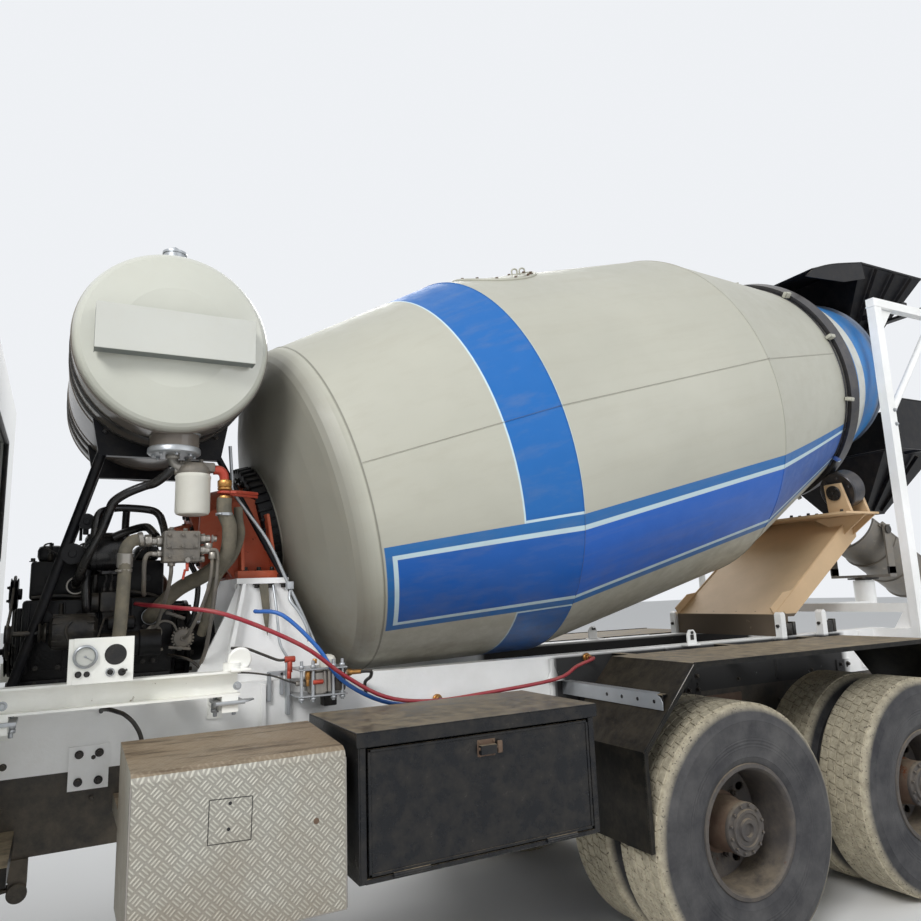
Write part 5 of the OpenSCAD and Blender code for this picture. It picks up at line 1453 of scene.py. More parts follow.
# %% Air valve group
bracket = [brick((-1.235, -0.448, 1.33), (-1.155, -0.432, 1.35), 0.002),
           brick((-1.235, -0.448, 1.225), (-1.219, -0.432, 1.345), 0.002),
           brick((-1.18, -0.448, 1.25), (-1.166, -0.432, 1.345), 0.002),
           brick((-1.155, -0.465, 1.165), (-1.14, -0.431, 1.385), 0.002),
           brick((-1.14, -0.6, 1.355), (-0.925, -0.431, 1.362), 0.002),
           brick((-1.14, -0.6, 1.245), (-0.925, -0.431, 1.252), 0.002)]
for x in (-1.125, -1.075, -0.985, -0.945):
    bracket += [rod((x, -0.585, 1.225), (x, -0.585, 1.395), 0.007),
                nut((x, -0.585, 1.37), UP, 0.013, 0.012), nut((x, -0.585, 1.238), UP, 0.013, 0.012)]
wear(bracket, "valve_bracket", galvanised)
valve = [turned([(0, 0), (0.04, 0), (0.045, 0.006), (0.045, 0.09), (0.038, 0.096), (0.038, 0.104),
                 (0, 0.104)],
                (-1.04, -0.54, 1.252), UP, 32),
         brick((-1.09, -0.56, 1.262), (-0.985, -0.5, 1.345), 0.006),
         nut((-1.1, -0.54, 1.3), AFT, 0.016, 0.03), nut((-1.122, -0.54, 1.3), AFT, 0.011, 0.03),
         rod((-1.02, -0.575, 1.26), (-1.02, -0.575, 1.35), 0.01),
         rod((-1.0, -0.575, 1.26), (-1.0, -0.575, 1.35), 0.01)]
wear(valve, "slide_valve", bare_steel, replaces=("air_valves",))
cap = [turned([(0, 0.0), (0.034, 0.0), (0.036, 0.01), (0.036, 0.026), (0.03, 0.04), (0.016, 0.048),
               (0, 0.05)],
              (-0.998, -0.545, 1.365), UP, 32),
       turned([(0, 0), (0.03, 0.0), (0.034, 0.006), (0.034, 0.07), (0.036, 0.075), (0, 0.075)],
              (-0.998, -0.545, 1.29), UP, 28)]
wear(cap, "air_cap", filter_white)
dark = [turned([(0, 0), (0.03, 0), (0.032, 0.008), (0.032, 0.085), (0.026, 0.092), (0, 0.092)],
               (-0.955, -0.56, 1.262), UP, 28),
        brick((-1.0, -0.5, 1.19), (-0.94, -0.44, 1.25), 0.006),
        nut((-0.955, -0.595, 1.31), RIGHT, 0.014, 0.02)]
wear(dark, "valve_cylinder", trim_black, slot="black_steel")
red_parts = [nut((-1.15, -0.49, 1.4), AFT, 0.014, 0.045),
             nut((-1.15, -0.49, 1.37), UP, 0.012, 0.05),
             nut((-1.055, -0.59, 1.305), AFT, 0.01, 0.045),
             nut((-1.155, -0.5, 1.335), UP, 0.01, 0.03)]
wear(red_parts, "red_unions", copper_red)
brass_parts = [nut((-1.095, -0.575, 1.335), UP, 0.012, 0.035),
               nut((-1.095, -0.575, 1.31), UP, 0.008, 0.04),
               nut((-0.9, -0.548, 1.33), AFT, 0.016, 0.02),
               nut((-0.87, -0.552, 1.33), AFT, 0.011, 0.05),
               nut((-1.06, -0.56, 1.39), UP, 0.01, 0.02)]
for x in (-0.42, 0.48):
    z = 1.16 if x < 0 else 1.29
    brass_parts += [nut((x, -0.455, z), RIGHT, 0.018, 0.022),
                    nut((x, -0.44, z), RIGHT, 0.024, 0.016, 12)]
wear(brass_parts, "brass_unions", brass)
runs = [pipe([(-0.85, -0.555, 1.33), (-0.82, -0.56, 1.33), (-0.8, -0.555, 1.325),
              (-0.79, -0.52, 1.3), (-0.79, -0.45, 1.27), (-0.78, -0.432, 1.22)],
             0.008, 6),
        pipe([(-1.826, -0.615, 1.262), (-1.81, -0.64, 1.255), (-1.78, -0.645, 1.225),
              (-1.755, -0.64, 1.18), (-1.74, -0.6, 1.12), (-1.74, -0.5, 1.08)],
             0.008, 6),
        pipe([(-1.826, -0.615, 1.262), (-1.86, -0.56, 1.27), (-1.88, -0.46, 1.26),
              (-1.88, -0.432, 1.25)],
             0.008, 6),
        pipe([(-1.38, -0.452, 1.36), (-1.3, -0.47, 1.352), (-1.22, -0.5, 1.335),
              (-1.16, -0.54, 1.31), (-1.12, -0.54, 1.3)],
             0.004, 6),
        pipe([(-1.39, -0.44, 1.46), (-1.33, -0.462, 1.455), (-1.27, -0.47, 1.43),
              (-1.2, -0.48, 1.4), (-1.17, -0.49, 1.4)],
             0.006, 6)]
wear(runs, "air_lines", trim_black, slot="hose_rubber")

# %% [markdown]
# The subframe's white side is broken by ribs and by welded plates with bolts. One lug stands on it
# under the drum, with a pin and a dark square that paints the shade in its hole.

# %% Plates and lugs on the subframe
BRACKETS = (-1.985, -0.52, 0.42, 2.52)
ribs = [brick((x - 0.01, -0.45, 1.06), (x + 0.01, -0.431, 1.3), 0.002)
        for x in (-1.25, 0.25, 1.05, 1.95, 2.8)]
ribs += [brick((1.165, -0.444, 1.02), (1.285, -0.431, 1.165), 0.002)]
wear(on_both_sides(ribs), "subframe_plates", white_paint)
held = [(x + dx, -0.4425, z) for x in BRACKETS for dx in (0.035, 0.105) for z in (1.0, 1.1)] + [
    (x, -0.4445, z) for x in (1.19, 1.26) for z in (1.055, 1.13)]
wear(on_both_sides(bolts(held, LEFT, 0.011)), "subframe_bolts", dark_metal)
lug = [plate([(1.19, -0.46, 1.312), (1.26, -0.46, 1.312), (1.26, -0.46, 1.372),
              (1.243, -0.46, 1.396), (1.207, -0.46, 1.396), (1.19, -0.46, 1.372)],
             (0, -0.012, 0), 0.002),
       brick((1.175, -0.485, 1.305), (1.275, -0.405, 1.316), 0.002)]
wear(on_both_sides(lug), "subframe_lugs", white_paint)
# The dark square on the lug is not cut through: it paints the shade inside the hole. The rod through
# the lug is its pin.
hole = [brick((1.211, -0.4735, 1.338), (1.239, -0.471, 1.368), 0.001),
        rod((1.225, -0.435, 1.38), (1.225, -0.48, 1.38), 0.009)]
wear(on_both_sides(hole), "lug_hole_shades_and_pins", gloss_black)

# %% [markdown]
# One tyre is modelled at the origin: a casing turned from its section and five rows of blocks
# with narrow grooves, worn nearly flat. Each wheel on the truck is a copy of it, with a rim whose
# disc has hand holes cut by a Boolean, wheel nuts and a hub.

# %% Tyre and rims
TYRE_SECTION = [(0.272, 0.108), (0.29, 0.127), (0.312, 0.134), (0.318, 0.139), (0.326, 0.138),
                (0.36, 0.1455), (0.425, 0.15), (0.47, 0.149), (0.478, 0.1515), (0.486, 0.148),
                (0.512, 0.1435), (0.53, 0.137), (0.541, 0.128), (0.5475, 0.114), (0.549, 0.1)]
casing = turned([(r, -h) for r, h in TYRE_SECTION] + [(r, h) for r, h in reversed(TYRE_SECTION)]
                + [(0.272, -0.108)],
                ORIGIN, RIGHT, 72)
tread_parts = [casing]
TREAD_ROWS = ((-0.0935, 56, 0.0), (-0.047, 60, 0.03), (0.0, 60, 0.01), (0.047, 60, 0.05),
              (0.0935, 56, 0.02))
for h, count, start in TREAD_ROWS:
    length = math.pi * 0.552 / count - 0.0022
    rib = plate([(-length - 0.006, h - 0.0205, 0.545), (-length + 0.006, h + 0.0205, 0.545),
                 (length + 0.006, h + 0.0205, 0.545), (length - 0.006, h - 0.0205, 0.545)],
                (0, 0, 0.0095), 0.0016)
    tread_parts += around(rib, ORIGIN, RIGHT, count, start)
TYRE = joined(tread_parts)


def rim(disc_at, dish):
    """A wheel rim at the origin; its disc sits at disc_at and dish leads to the hub's face."""
    barrel = turned([(0.262, -0.126), (0.27, -0.134), (0.286, -0.132), (0.289, -0.126),
                     (0.284, -0.12), (0.276, -0.112), (0.274, -0.1), (0.268, -0.06), (0.268, 0.06),
                     (0.274, 0.1), (0.276, 0.112), (0.286, 0.12), (0.286, 0.13), (0.266, 0.132),
                     (0.258, 0.12), (0.255, 0.06), (0.25, 0.0), (0.255, -0.06), (0.258, -0.11),
                     (0.262, -0.126)],
                    ORIGIN, RIGHT, 64)
    web = turned([(0.09, disc_at + dish), (0.19, disc_at + dish), (0.212, disc_at + dish * 0.8),
                  (0.238, disc_at), (0.258, disc_at - dish * 0.3),
                  (0.258, disc_at - dish * 0.3 + 0.01), (0.236, disc_at + 0.011),
                  (0.208, disc_at + dish * 0.8 + 0.011), (0.188, disc_at + dish + 0.011),
                  (0.09, disc_at + dish + 0.011), (0.09, disc_at + dish)],
                 ORIGIN, RIGHT, 64)
    nothing_selected()
    bpy.ops.mesh.primitive_cylinder_add(vertices=20, radius=0.021, depth=0.2,
                                        location=(0.222, disc_at, 0), rotation=(math.pi / 2, 0, 0))
    bpy.ops.object.transform_apply()
    holes = joined(around(bpy.context.object, ORIGIN, RIGHT, 8, 0.2))
    modified(web, "BOOLEAN", object=holes, operation="DIFFERENCE", solver="EXACT")
    bpy.data.objects.remove(holes)
    stud = rod((0.1675, disc_at + dish, 0), (0.1675, disc_at + dish - 0.034, 0), 0.009, 10)
    fixing = joined([bolt((0.1675, disc_at + dish, 0), LEFT, 0.0155), stud])
    return joined([barrel, smooth(web)] + around(fixing, ORIGIN, RIGHT, 10))


def hub(front, radius, back):
    """A hub from its cap outwards to back: stepped, ribbed, with a ring of flange bolts."""
    body = turned([(0, front), (0.036, front), (0.042, front + 0.006), (0.044, front + 0.022),
                   (radius * 0.66, front + 0.026), (radius * 0.72, front + 0.034),
                   (radius * 0.74, front + 0.05), (radius * 0.96, front + 0.056),
                   (radius, front + 0.064), (radius, front + 0.08), (radius * 0.93, front + 0.088),
                   (radius * 0.93, back - 0.02), (radius, back - 0.01), (radius, back), (0, back)],
                  ORIGIN, RIGHT, 48)
    studs = bolt_ring((0, front + 0.026, 0), LEFT, radius * 0.52, 10, 0.01)
    outer = bolt_ring((0, front + 0.056, 0), LEFT, radius * 0.86, 12, 0.007)
    ribs = around(brick((-0.004, front + 0.086, radius * 0.9), (0.004, back - 0.02, radius * 0.985),
                        0.0015),
                  ORIGIN, RIGHT, 16)
    return joined([body, studs, outer] + ribs)


REAR_RIM, INNER_RIM, FRONT_RIM = rim(0.09, 0.012), rim(-0.102, -0.012), rim(-0.086, -0.012)
FRONT_HUB = hub(-0.146, 0.112, 0.045)
# The rear hub is a drum that reaches out, with rings turned into its face and a rusty side
HUB_FACE = [(0, -0.102), (0.026, -0.102), (0.03, -0.114), (0.046, -0.114), (0.05, -0.104),
            (0.068, -0.104), (0.072, -0.11), (0.084, -0.11), (0.088, -0.1), (0.112, -0.098),
            (0.116, -0.092), (0.116, -0.08), (0, -0.08)]
REAR_HUB = joined([turned(HUB_FACE, ORIGIN, RIGHT, 48),
                   bolt_ring((0, -0.099, 0), LEFT, 0.101, 12, 0.007)])
HUB_SIDE = turned([(0, -0.08), (0.114, -0.08), (0.114, -0.01), (0.122, 0.006), (0.122, 0.05),
                   (0.138, 0.06), (0.138, 0.25), (0, 0.25)],
                  ORIGIN, RIGHT, 48)
print("tyre", len(TYRE.data.polygons), "faces; rims and hubs ready")


def set_at(template, place, side):
    """A copy of a template at its place, mirrored for the right side."""
    flip = Matrix.Scale(side * -1, 4, RIGHT)
    copy = moved_copy(template, Matrix.Translation(Vector(place)) @ flip)
    if side > 0:
        copy.data.flip_normals()
    return copy


# %% [markdown]
# The wheels go to their bodies: one tyre and hub in front, two tyres on each rear hub.

# %% Wheels on their axles
for side, word in ((-1, "left"), (1, "right")):
    place = (-2.85, side * 1.04, AXLE_HEIGHT)
    wear(set_at(TYRE, place, side), "front_tyre_" + word, wheel_finishes["front"],
         "front_" + word + "_wheel", replaces=("front_wheel_" + word,))
    wear([set_at(FRONT_RIM, place, side), set_at(FRONT_HUB, place, side)], "front_rim_" + word,
         rim_finish, "front_" + word + "_wheel")
    for number, x in (("1", 0.76), ("2", 2.11)):
        body = "rear_" + number + "_" + word + "_wheels"
        outer, inner = (x, side * 1.078, AXLE_HEIGHT), (x, side * 0.732, AXLE_HEIGHT)
        wear([set_at(TYRE, outer, side), set_at(TYRE, inner, side)],
             "rear_tyres_" + number + "_" + word, wheel_finishes["rear_" + number], body,
             replaces=("twin_wheel_" + number + "_" + word,))
        wear([set_at(REAR_RIM, outer, side), set_at(INNER_RIM, inner, side),
              set_at(REAR_HUB, outer, side)],
             "rear_rims_" + number + "_" + word, rim_finish, body)
        wear(set_at(HUB_SIDE, outer, side), "rear_hub_" + number + "_" + word, rusty_steel, body)
for template in (TYRE, REAR_RIM, INNER_RIM, FRONT_RIM, REAR_HUB, HUB_SIDE, FRONT_HUB):
    bpy.data.objects.remove(template)

# %% [markdown]
# The tread plate cover has a square patch let in and one rusted hole, and its edges are worn
# bright. The tool box has a folded lid with a rain lip, a hasp with its padlock and three pressed
# hinges.

# %% Boxes beside the frame
PATCH = [(-1.603, 0.915), (-1.47, 0.91), (-1.466, 1.04), (-1.6, 1.046)]
patch = [rod((a[0], -1.2202, a[1]), (b[0], -1.2202, b[1]), 0.0014, 6)
         for a, b in zip(PATCH[3:] + PATCH[:3], PATCH)]
patch += [disc((x, -1.2203, z), LEFT, 0.0055, 0.0008, 16)
          for x, z in ((-1.536, 1.028), (-1.54, 0.952))]
wear(patch, "tread_patch", gloss_black)
hole = [disc((-1.256, -1.2195, 0.93), LEFT, 0.01, 0.0012, 20)]
wear(hole, "rusted_hole", rust_brown)
hems = [rod((-1.829, -1.2185, 0.645), (-1.829, -1.2185, 1.118), 0.0035, 10),
        rod((-1.153, -1.2185, 0.645), (-1.153, -1.2185, 1.118), 0.0035, 10),
        brick((-1.829, -1.222, 0.64), (-1.153, -1.205, 0.6445), 0.001)]
wear(hems, "tread_hems", bare_steel, slot="tread_plate")

BOX_X0, BOX_X1, BOX_Y = -1.108, -0.095, -1.22
lid = [brick((BOX_X0 - 0.01, BOX_Y - 0.016, 1.186), (BOX_X1 + 0.01, -0.672, 1.1925), 0.002),
       brick((BOX_X0 - 0.01, BOX_Y - 0.016, 1.142), (BOX_X1 + 0.01, BOX_Y - 0.0125, 1.19), 0.0012),
       brick((BOX_X0 - 0.01, BOX_Y - 0.014, 1.15), (BOX_X0 - 0.0065, -0.672, 1.19), 0.001),
       brick((BOX_X1 + 0.0065, BOX_Y - 0.014, 1.15), (BOX_X1 + 0.01, -0.672, 1.19), 0.001)]
for x in (BOX_X0 + 0.006, BOX_X1 - 0.026):
    lid.append(brick((x, BOX_Y - 0.004, 0.705), (x + 0.02, BOX_Y + 0.002, 1.14), 0.0015))
lid.append(brick((BOX_X0 + 0.02, BOX_Y - 0.006, 0.7), (BOX_X1 - 0.02, BOX_Y + 0.002, 0.716), 0.002))
wear(lid, "tool_box_lid", black_box_dust_and_sheen)
door_rim = []
for low, high in (((BOX_X0 + 0.034, 0.722), (BOX_X1 - 0.034, 0.732)),
                  ((BOX_X0 + 0.034, 1.122), (BOX_X1 - 0.034, 1.132)),
                  ((BOX_X0 + 0.034, 0.722), (BOX_X0 + 0.044, 1.132)),
                  ((BOX_X1 - 0.044, 0.722), (BOX_X1 - 0.034, 1.132))):
    door_rim.append(brick((low[0], -1.2285, low[1]), (high[0], -1.2235, high[1]), 0.0015))
wear(door_rim, "tool_door_rim", black_box_dust_and_sheen, "tool_box_door")
hasp = [brick((-0.64, -1.2265, 1.052), (-0.563, -1.2225, 1.112), 0.0015),
        brick((-0.6335, -1.244, 1.066), (-0.5695, -1.2265, 1.092), 0.004),
        rod((-0.64, -1.236, 1.082), (-0.545, -1.236, 1.082), 0.006, 10),
        brick((-0.56, -1.243, 1.06), (-0.54, -1.232, 1.104), 0.003)]
hasp += bolts([(-0.632, -1.2268, 1.104), (-0.571, -1.2268, 1.104), (-0.632, -1.2268, 1.058),
               (-0.571, -1.2268, 1.058)],
              LEFT, 0.0045)
wear(hasp, "tool_door_hasp", rust_brown, "tool_box_door", "black_steel")

# %% [markdown]
# The fender is a folded sheet with a bright rubbed edge and a galvanised bar with four holes;
# flaps of rubber hang behind the last wheels.

# %% Rear fenders
FENDER = [(0.175, 0.56), (0.175, 0.962), (0.508, 1.306), (2.362, 1.306), (2.695, 0.962),
          (2.695, 0.56)]
edges = [rod((start[0], -1.2035, start[1]), (stop[0], -1.2035, stop[1]), 0.004, 10)
         for start, stop in zip(FENDER, FENDER[1:])]
wear(on_both_sides(edges), "fender_edges", fender_black)
rubbed = [rod((0.181, -1.2045, 0.968), (0.5, -1.2045, 1.3), 0.0028, 8)]
wear(on_both_sides(rubbed), "rubbed_edges", bare_steel, slot="black_steel")
flap = [plate([(2.668, -0.66, 0.6), (2.668, -1.2, 0.6), (2.668, -1.19, 0.3), (2.668, -0.67, 0.3)],
              (0.008, 0, 0), 0.002)]
wear(on_both_sides(flap), "mud_flaps", trim_black, slot="black_steel")
wear(on_both_sides(bolts([(2.6775, -y, 0.575) for y in (0.7, 0.82, 0.94, 1.06, 1.16)], AFT, 0.008)),
     "flap_bolts", galvanised)

# The bar lies across the fender's slope, its end cut round, its upper leg folded back to the sheet
BAR_X, BAR_END = 0.3165, -1.184
bar = [plate([(BAR_X, BAR_END, 1.116), (BAR_X, BAR_END, 1.15), (BAR_X, BAR_END + 0.012, 1.17),
              (BAR_X, BAR_END + 0.034, 1.182), (BAR_X, -0.432, 1.182), (BAR_X, -0.432, 1.116)],
             (0.0022, 0, 0), 0.0006),
       plate([(BAR_X, BAR_END + 0.034, 1.1805), (BAR_X + 0.054, BAR_END + 0.07, 1.1805),
              (BAR_X + 0.054, -0.432, 1.1805), (BAR_X, -0.432, 1.1805)],
             (0, 0, 0.0022), 0.0006)]
wear(on_both_sides(bar), "galvanised_bars", galvanised)
sockets = [disc((BAR_X + 0.0005, y, 1.15), FORE, 0.0088, 0.0012, 20)
           for y in (-1.13, -1.02, -0.91, -0.8)]
wear(on_both_sides(sockets), "bar_holes", gloss_black)
corner = [plate([(0.225, -0.445, 1.2), (0.29, -0.445, 1.2), (0.258, -0.445, 1.275)], (0, 0.01, 0),
                0.001),
          brick((0.215, -0.5, 1.192), (0.3, -0.432, 1.2), 0.001)]
wear(corner, "white_corner", white_paint)

# %% [markdown]
# The drum's plates are welded: raised beads run round each seam and one along the shell. A bolted
# hatch closes the barrel, and lifting eyes stand beside it. All of it turns with the drum.

# %% Drum seams and hatch
def radius_at(s):
    for (s0, r0), (s1, r1) in zip(((0, 0.85), (SEAM_A, 1.076), (SEAM_B, 1.076), (RING_AT, 0.78)),
                                  ((SEAM_A, 1.076), (SEAM_B, 1.076), (RING_AT, 0.78),
                                   (MOUTH_AT, 0.572))):
        if s <= s1:
            return r0 + (r1 - r0) * (s - s0) / (s1 - s0)
    return 0.572


LOCAL_TO_ROW = Matrix.Translation(Vector(DRUM_SEAM)) @ Matrix.Rotation(
    math.pi / 2 - DRUM_TILT, 4, "Y")


def on_drum(s, degrees, lift=0.0):
    """A place on the drum's shell: how far along its axis, and at which angle."""
    a, r = math.radians(degrees), radius_at(s) + lift
    return LOCAL_TO_ROW @ Vector((r * math.cos(a), r * math.sin(a), s))


def outward(degrees):
    a = math.radians(degrees)
    return LOCAL_TO_ROW.to_3x3() @ Vector((math.cos(a), math.sin(a), 0))


beads = []
for s, size in ((0.001, 0.0065), (SEAM_A, 0.004), (SEAM_B, 0.004)):
    beads.append(turned([(radius_at(s) - 0.002, s - size),
                         (radius_at(s) + size * 0.5, s - size * 0.6),
                         (radius_at(s) + size * 0.7, s),
                         (radius_at(s) + size * 0.5, s + size * 0.6),
                         (radius_at(s) - 0.002, s + size)],
                        DRUM_SEAM, AXIS, 128))
beads.append(pipe([on_drum(s, WELD_ANGLE, 0.0005)
                   for s in (0.004, 0.3, 0.6, SEAM_A - 0.002, SEAM_A + 0.002, 1.4, 1.9,
                             SEAM_B - 0.002, SEAM_B + 0.002, 2.9, 3.42)],
                  0.003, 2))
wear(beads, "drum_welds", drum_paint, "drum")

HATCH_S, HATCH_ANGLE, HATCH_R = 1.3, -161.5, 0.238


def round_hatch(radius, count, lift):
    """Places round the hatch, on the curved shell."""
    return [on_drum(HATCH_S + radius * math.cos(a),
                    HATCH_ANGLE + math.degrees(radius * math.sin(a) / 1.076), lift)
            for a in (2 * math.pi * k / count for k in range(count + 1))]


hatch = [pipe(round_hatch(HATCH_R, 32, 0.003), 0.0085, 2),
         pipe(round_hatch(HATCH_R - 0.045, 28, 0.001), 0.005, 2)]
hatch += [pipe([on_drum(HATCH_S + reach, HATCH_ANGLE, 0.002),
                on_drum(HATCH_S + reach, HATCH_ANGLE, 0.026),
                on_drum(HATCH_S + reach + 0.018, HATCH_ANGLE, 0.034),
                on_drum(HATCH_S + reach + 0.036, HATCH_ANGLE, 0.026),
                on_drum(HATCH_S + reach + 0.036, HATCH_ANGLE, 0.002)],
               0.005, 4)
          for reach in (0.13, 0.185)]
wear(hatch, "drum_hatch", drum_paint, "drum")
hatch_bolts = [bolt(place, outward(HATCH_ANGLE), 0.009)
               for place in round_hatch(HATCH_R - 0.024, 12, 0.002)[:-1]]
wear(hatch_bolts, "hatch_bolts", rust_brown, "drum", "grey_steel")
ring_parts = [turned([(0.772, RING_AT - 0.1), (0.8, RING_AT - 0.088), (0.802, RING_AT - 0.06),
                      (0.79, RING_AT - 0.046), (0.775, RING_AT - 0.046)],
                     DRUM_SEAM, AXIS, 112),
              turned([(0.756, RING_AT + 0.046), (0.776, RING_AT + 0.046), (0.78, RING_AT + 0.06),
                      (0.762, RING_AT + 0.08), (0.748, RING_AT + 0.08)],
                     DRUM_SEAM, AXIS, 112)]
wear(ring_parts, "ring_seats", ring_steel, "drum")
stops = [laid(brick((-0.025, -0.012, -0.02), (0.025, 0.012, 0.02), 0.004),
              on_drum(RING_AT - 0.075, 15 + 30 * k, 0.03), outward(15 + 30 * k))
         for k in range(12)]
wear(stops, "ring_stops", drum_paint, "drum")
mouth = [turned([(0.574, MOUTH_AT - 0.03), (0.59, MOUTH_AT - 0.024), (0.594, MOUTH_AT - 0.008),
                 (0.588, MOUTH_AT), (0.566, MOUTH_AT), (0.562, MOUTH_AT - 0.02)],
                DRUM_SEAM, AXIS, 96)]
wear(mouth, "mouth_ring", neck_paint, "drum")

# %% [markdown]
# The rear pedestal leans back across the frame. Flanges stand along its front plate, ribs stiffen
# it from behind, and brackets with capped pins carry the two rollers under the running ring.

# %% Rear pedestal and rollers
LEAN_FOOT, LEAN_TOP = Vector((1.99, 0, 1.45)), Vector((2.87, 0, 2.088))
lean = (LEAN_TOP - LEAN_FOOT).normalized()
off_plate = Vector((-lean.z, 0, lean.x))


def on_lean(along, lift=0.0, y=0.0):
    """A place at y, along the leaning plate from its foot and in front of it."""
    return LEAN_FOOT + lean * along + off_plate * lift + Vector((0, y, 0))


flanges = [plate([on_lean(0.0, 0.0, -0.428), on_lean(0.0, 0.05, -0.428),
                  on_lean(0.16, 0.05, -0.428), on_lean(0.24, 0.006, -0.428),
                  on_lean(1.06, 0.006, -0.428), on_lean(1.06, 0.0, -0.428)],
                 (0, 0.01, 0), 0.0015)]
wear(on_both_sides(flanges), "pedestal_flanges", tan_paint)
ribs = [plate([on_lean(0.12, -0.014, y), on_lean(1.02, -0.014, y), on_lean(0.98, -0.1, y),
               on_lean(0.2, -0.1, y)], (0, 0.01, 0), 0.0015) for y in (-0.15, 0.14)]
ribs += [plate([(x, side * 0.2, 2.086), (x, side * 0.61, 2.086), (x, side * 0.43, 1.96)],
               (0.01, 0, 0), 0.0015)
         for x in (2.78, 2.88) for side in BOTH_SIDES]
wear(ribs, "pedestal_ribs", tan_paint)
ROLLERS = {"left": -1, "right": 1}
ROLLER_OUT, ROLLER_ANGLE = 0.9563, math.radians(32)
for word, side in ROLLERS.items():
    across = Vector((ROLLER_OUT * math.cos(ROLLER_ANGLE),
                     side * ROLLER_OUT * math.sin(ROLLER_ANGLE), 0))
    middle = Vector(DRUM_SEAM) + AXIS * RING_AT + LOCAL_TO_ROW.to_3x3() @ across
    tyre = turned([(0.03, -0.056), (0.118, -0.056), (0.124, -0.06), (0.131, -0.052), (0.131, 0.052),
                   (0.124, 0.06), (0.118, 0.056), (0.03, 0.056)],
                  middle, AXIS, 64)
    hubs = [disc(middle + AXIS * end * 0.056, AXIS * end, 0.06, 0.012, 32) for end in BOTH_SIDES]
    hubs += [bolt_ring(middle + AXIS * end * 0.058, AXIS * end, 0.095, 6, 0.009)
             for end in BOTH_SIDES]
    wear([tyre] + hubs, word + "_roller_face", ring_steel, word + "_roller")
    caps = []
    for end in BOTH_SIDES:
        caps += [disc(middle + AXIS * end * 0.0965, AXIS * end, 0.052, 0.014, 32),
                 nut(middle + AXIS * end * 0.118, AXIS, 0.012, 0.018)]
        caps += [bolt_ring(middle + AXIS * end * 0.1105, AXIS * end, 0.04, 4, 0.007)]
    wear(caps, word + "_roller_caps", dark_metal)
feet = bolts([(x, -y, 1.4505) for x in (2.02, 2.08) for y in (0.1, 0.26, 0.42)], UP, 0.011)
feet += bolts([(x, -y, 2.1025) for x in (2.6, 2.69) for y in (0.16, 0.3, 0.56)], UP, 0.012)
wear(on_both_sides(feet), "pedestal_bolts", dark_metal)
stays = []
for x in (1.99, 2.382):
    stays += [brick((x + 0.03, -0.486, 1.316), (x + 0.085, -0.436, 1.392), 0.004),
              brick((x + 0.098, -0.48, 1.316), (x + 0.126, -0.44, 1.4), 0.004),
              rod((x - 0.036, -0.466, 1.378), (x + 0.132, -0.466, 1.378), 0.01)]
wear(on_both_sides(stays), "lug_clamps", dark_metal)

# %% [markdown]
# The hopper, the collector and the chute are thin sheets. Rolled rims close their edges and flat
# ribs run down their faces. The chute is a half-round trough, so its beads follow its own slope.

# %% Hopper, collector and chute
def ring_of_rods(corners, radius):
    """Round bars from corner to corner, closed."""
    return [rod(a, b, radius, 12) for a, b in zip(corners, corners[1:] + corners[:1])]


def rib(start, stop, out, width=0.03, thick=0.006):
    """A flat bar that stands on a sheet from start to stop, raised along out."""
    start, stop, out = Vector(start), Vector(stop), Vector(out).normalized()
    across = (stop - start).normalized().cross(out) * thick / 2
    return plate([start - across, stop - across, stop - across + out * width,
                  start - across + out * width],
                 across * 2, 0.001)


hopper = ring_of_rods([(3.148, -0.592, 3.981), (3.892, -0.592, 3.981), (3.892, 0.592, 3.981),
                       (3.148, 0.592, 3.981)],
                      0.009)
hopper += ring_of_rods([(3.243, -0.266, 3.333), (3.434, -0.266, 3.333), (3.434, 0.266, 3.333),
                        (3.243, 0.266, 3.333)],
                       0.006)
for side in BOTH_SIDES:
    for top, foot in ((3.3, 3.28), (3.52, 3.34), (3.74, 3.4)):
        hopper.append(rib((top, side * 0.596, 3.965), (foot, side * 0.278, 3.35), (0, side, -0.45)))
for y in (-0.4, 0.0, 0.4):
    hopper.append(rib((3.896, y, 3.965), (3.444, y * 0.45, 3.35), (1, 0, -0.7)))
hopper += [rod((2.482, -0.597, 3.762), (2.562, -0.597, 3.823), 0.005, 8),
           rod((2.482, 0.597, 3.762), (2.562, 0.597, 3.823), 0.005, 8)]
guard_line = [(2.562, 3.833), (2.7, 3.886), (2.86, 3.931), (3.14, 3.991)]
for y in (-0.597, -0.3, 0.0, 0.3, 0.597):
    hopper.append(pipe([(x, y, z - 0.006) for x, z in guard_line], 0.0055, 3))
wear(hopper, "hopper_rims", guard_black)
hopper_bolts = bolts([(x + dx, -0.66, 3.6405) for x in (3.3, 3.56) for dx in (0.014, 0.046)], UP,
                     0.008)
wear(on_both_sides(hopper_bolts), "hopper_bolts", galvanised)
lining = [pipe([(3.02, side * 0.25, 3.145), (3.21, side * 0.25, 3.222), (3.4, side * 0.25, 3.296),
                (3.434, side * 0.25, 3.334)],
               0.006, 3)
          for side in BOTH_SIDES]
wear(lining, "spout_edges", chute_steel)

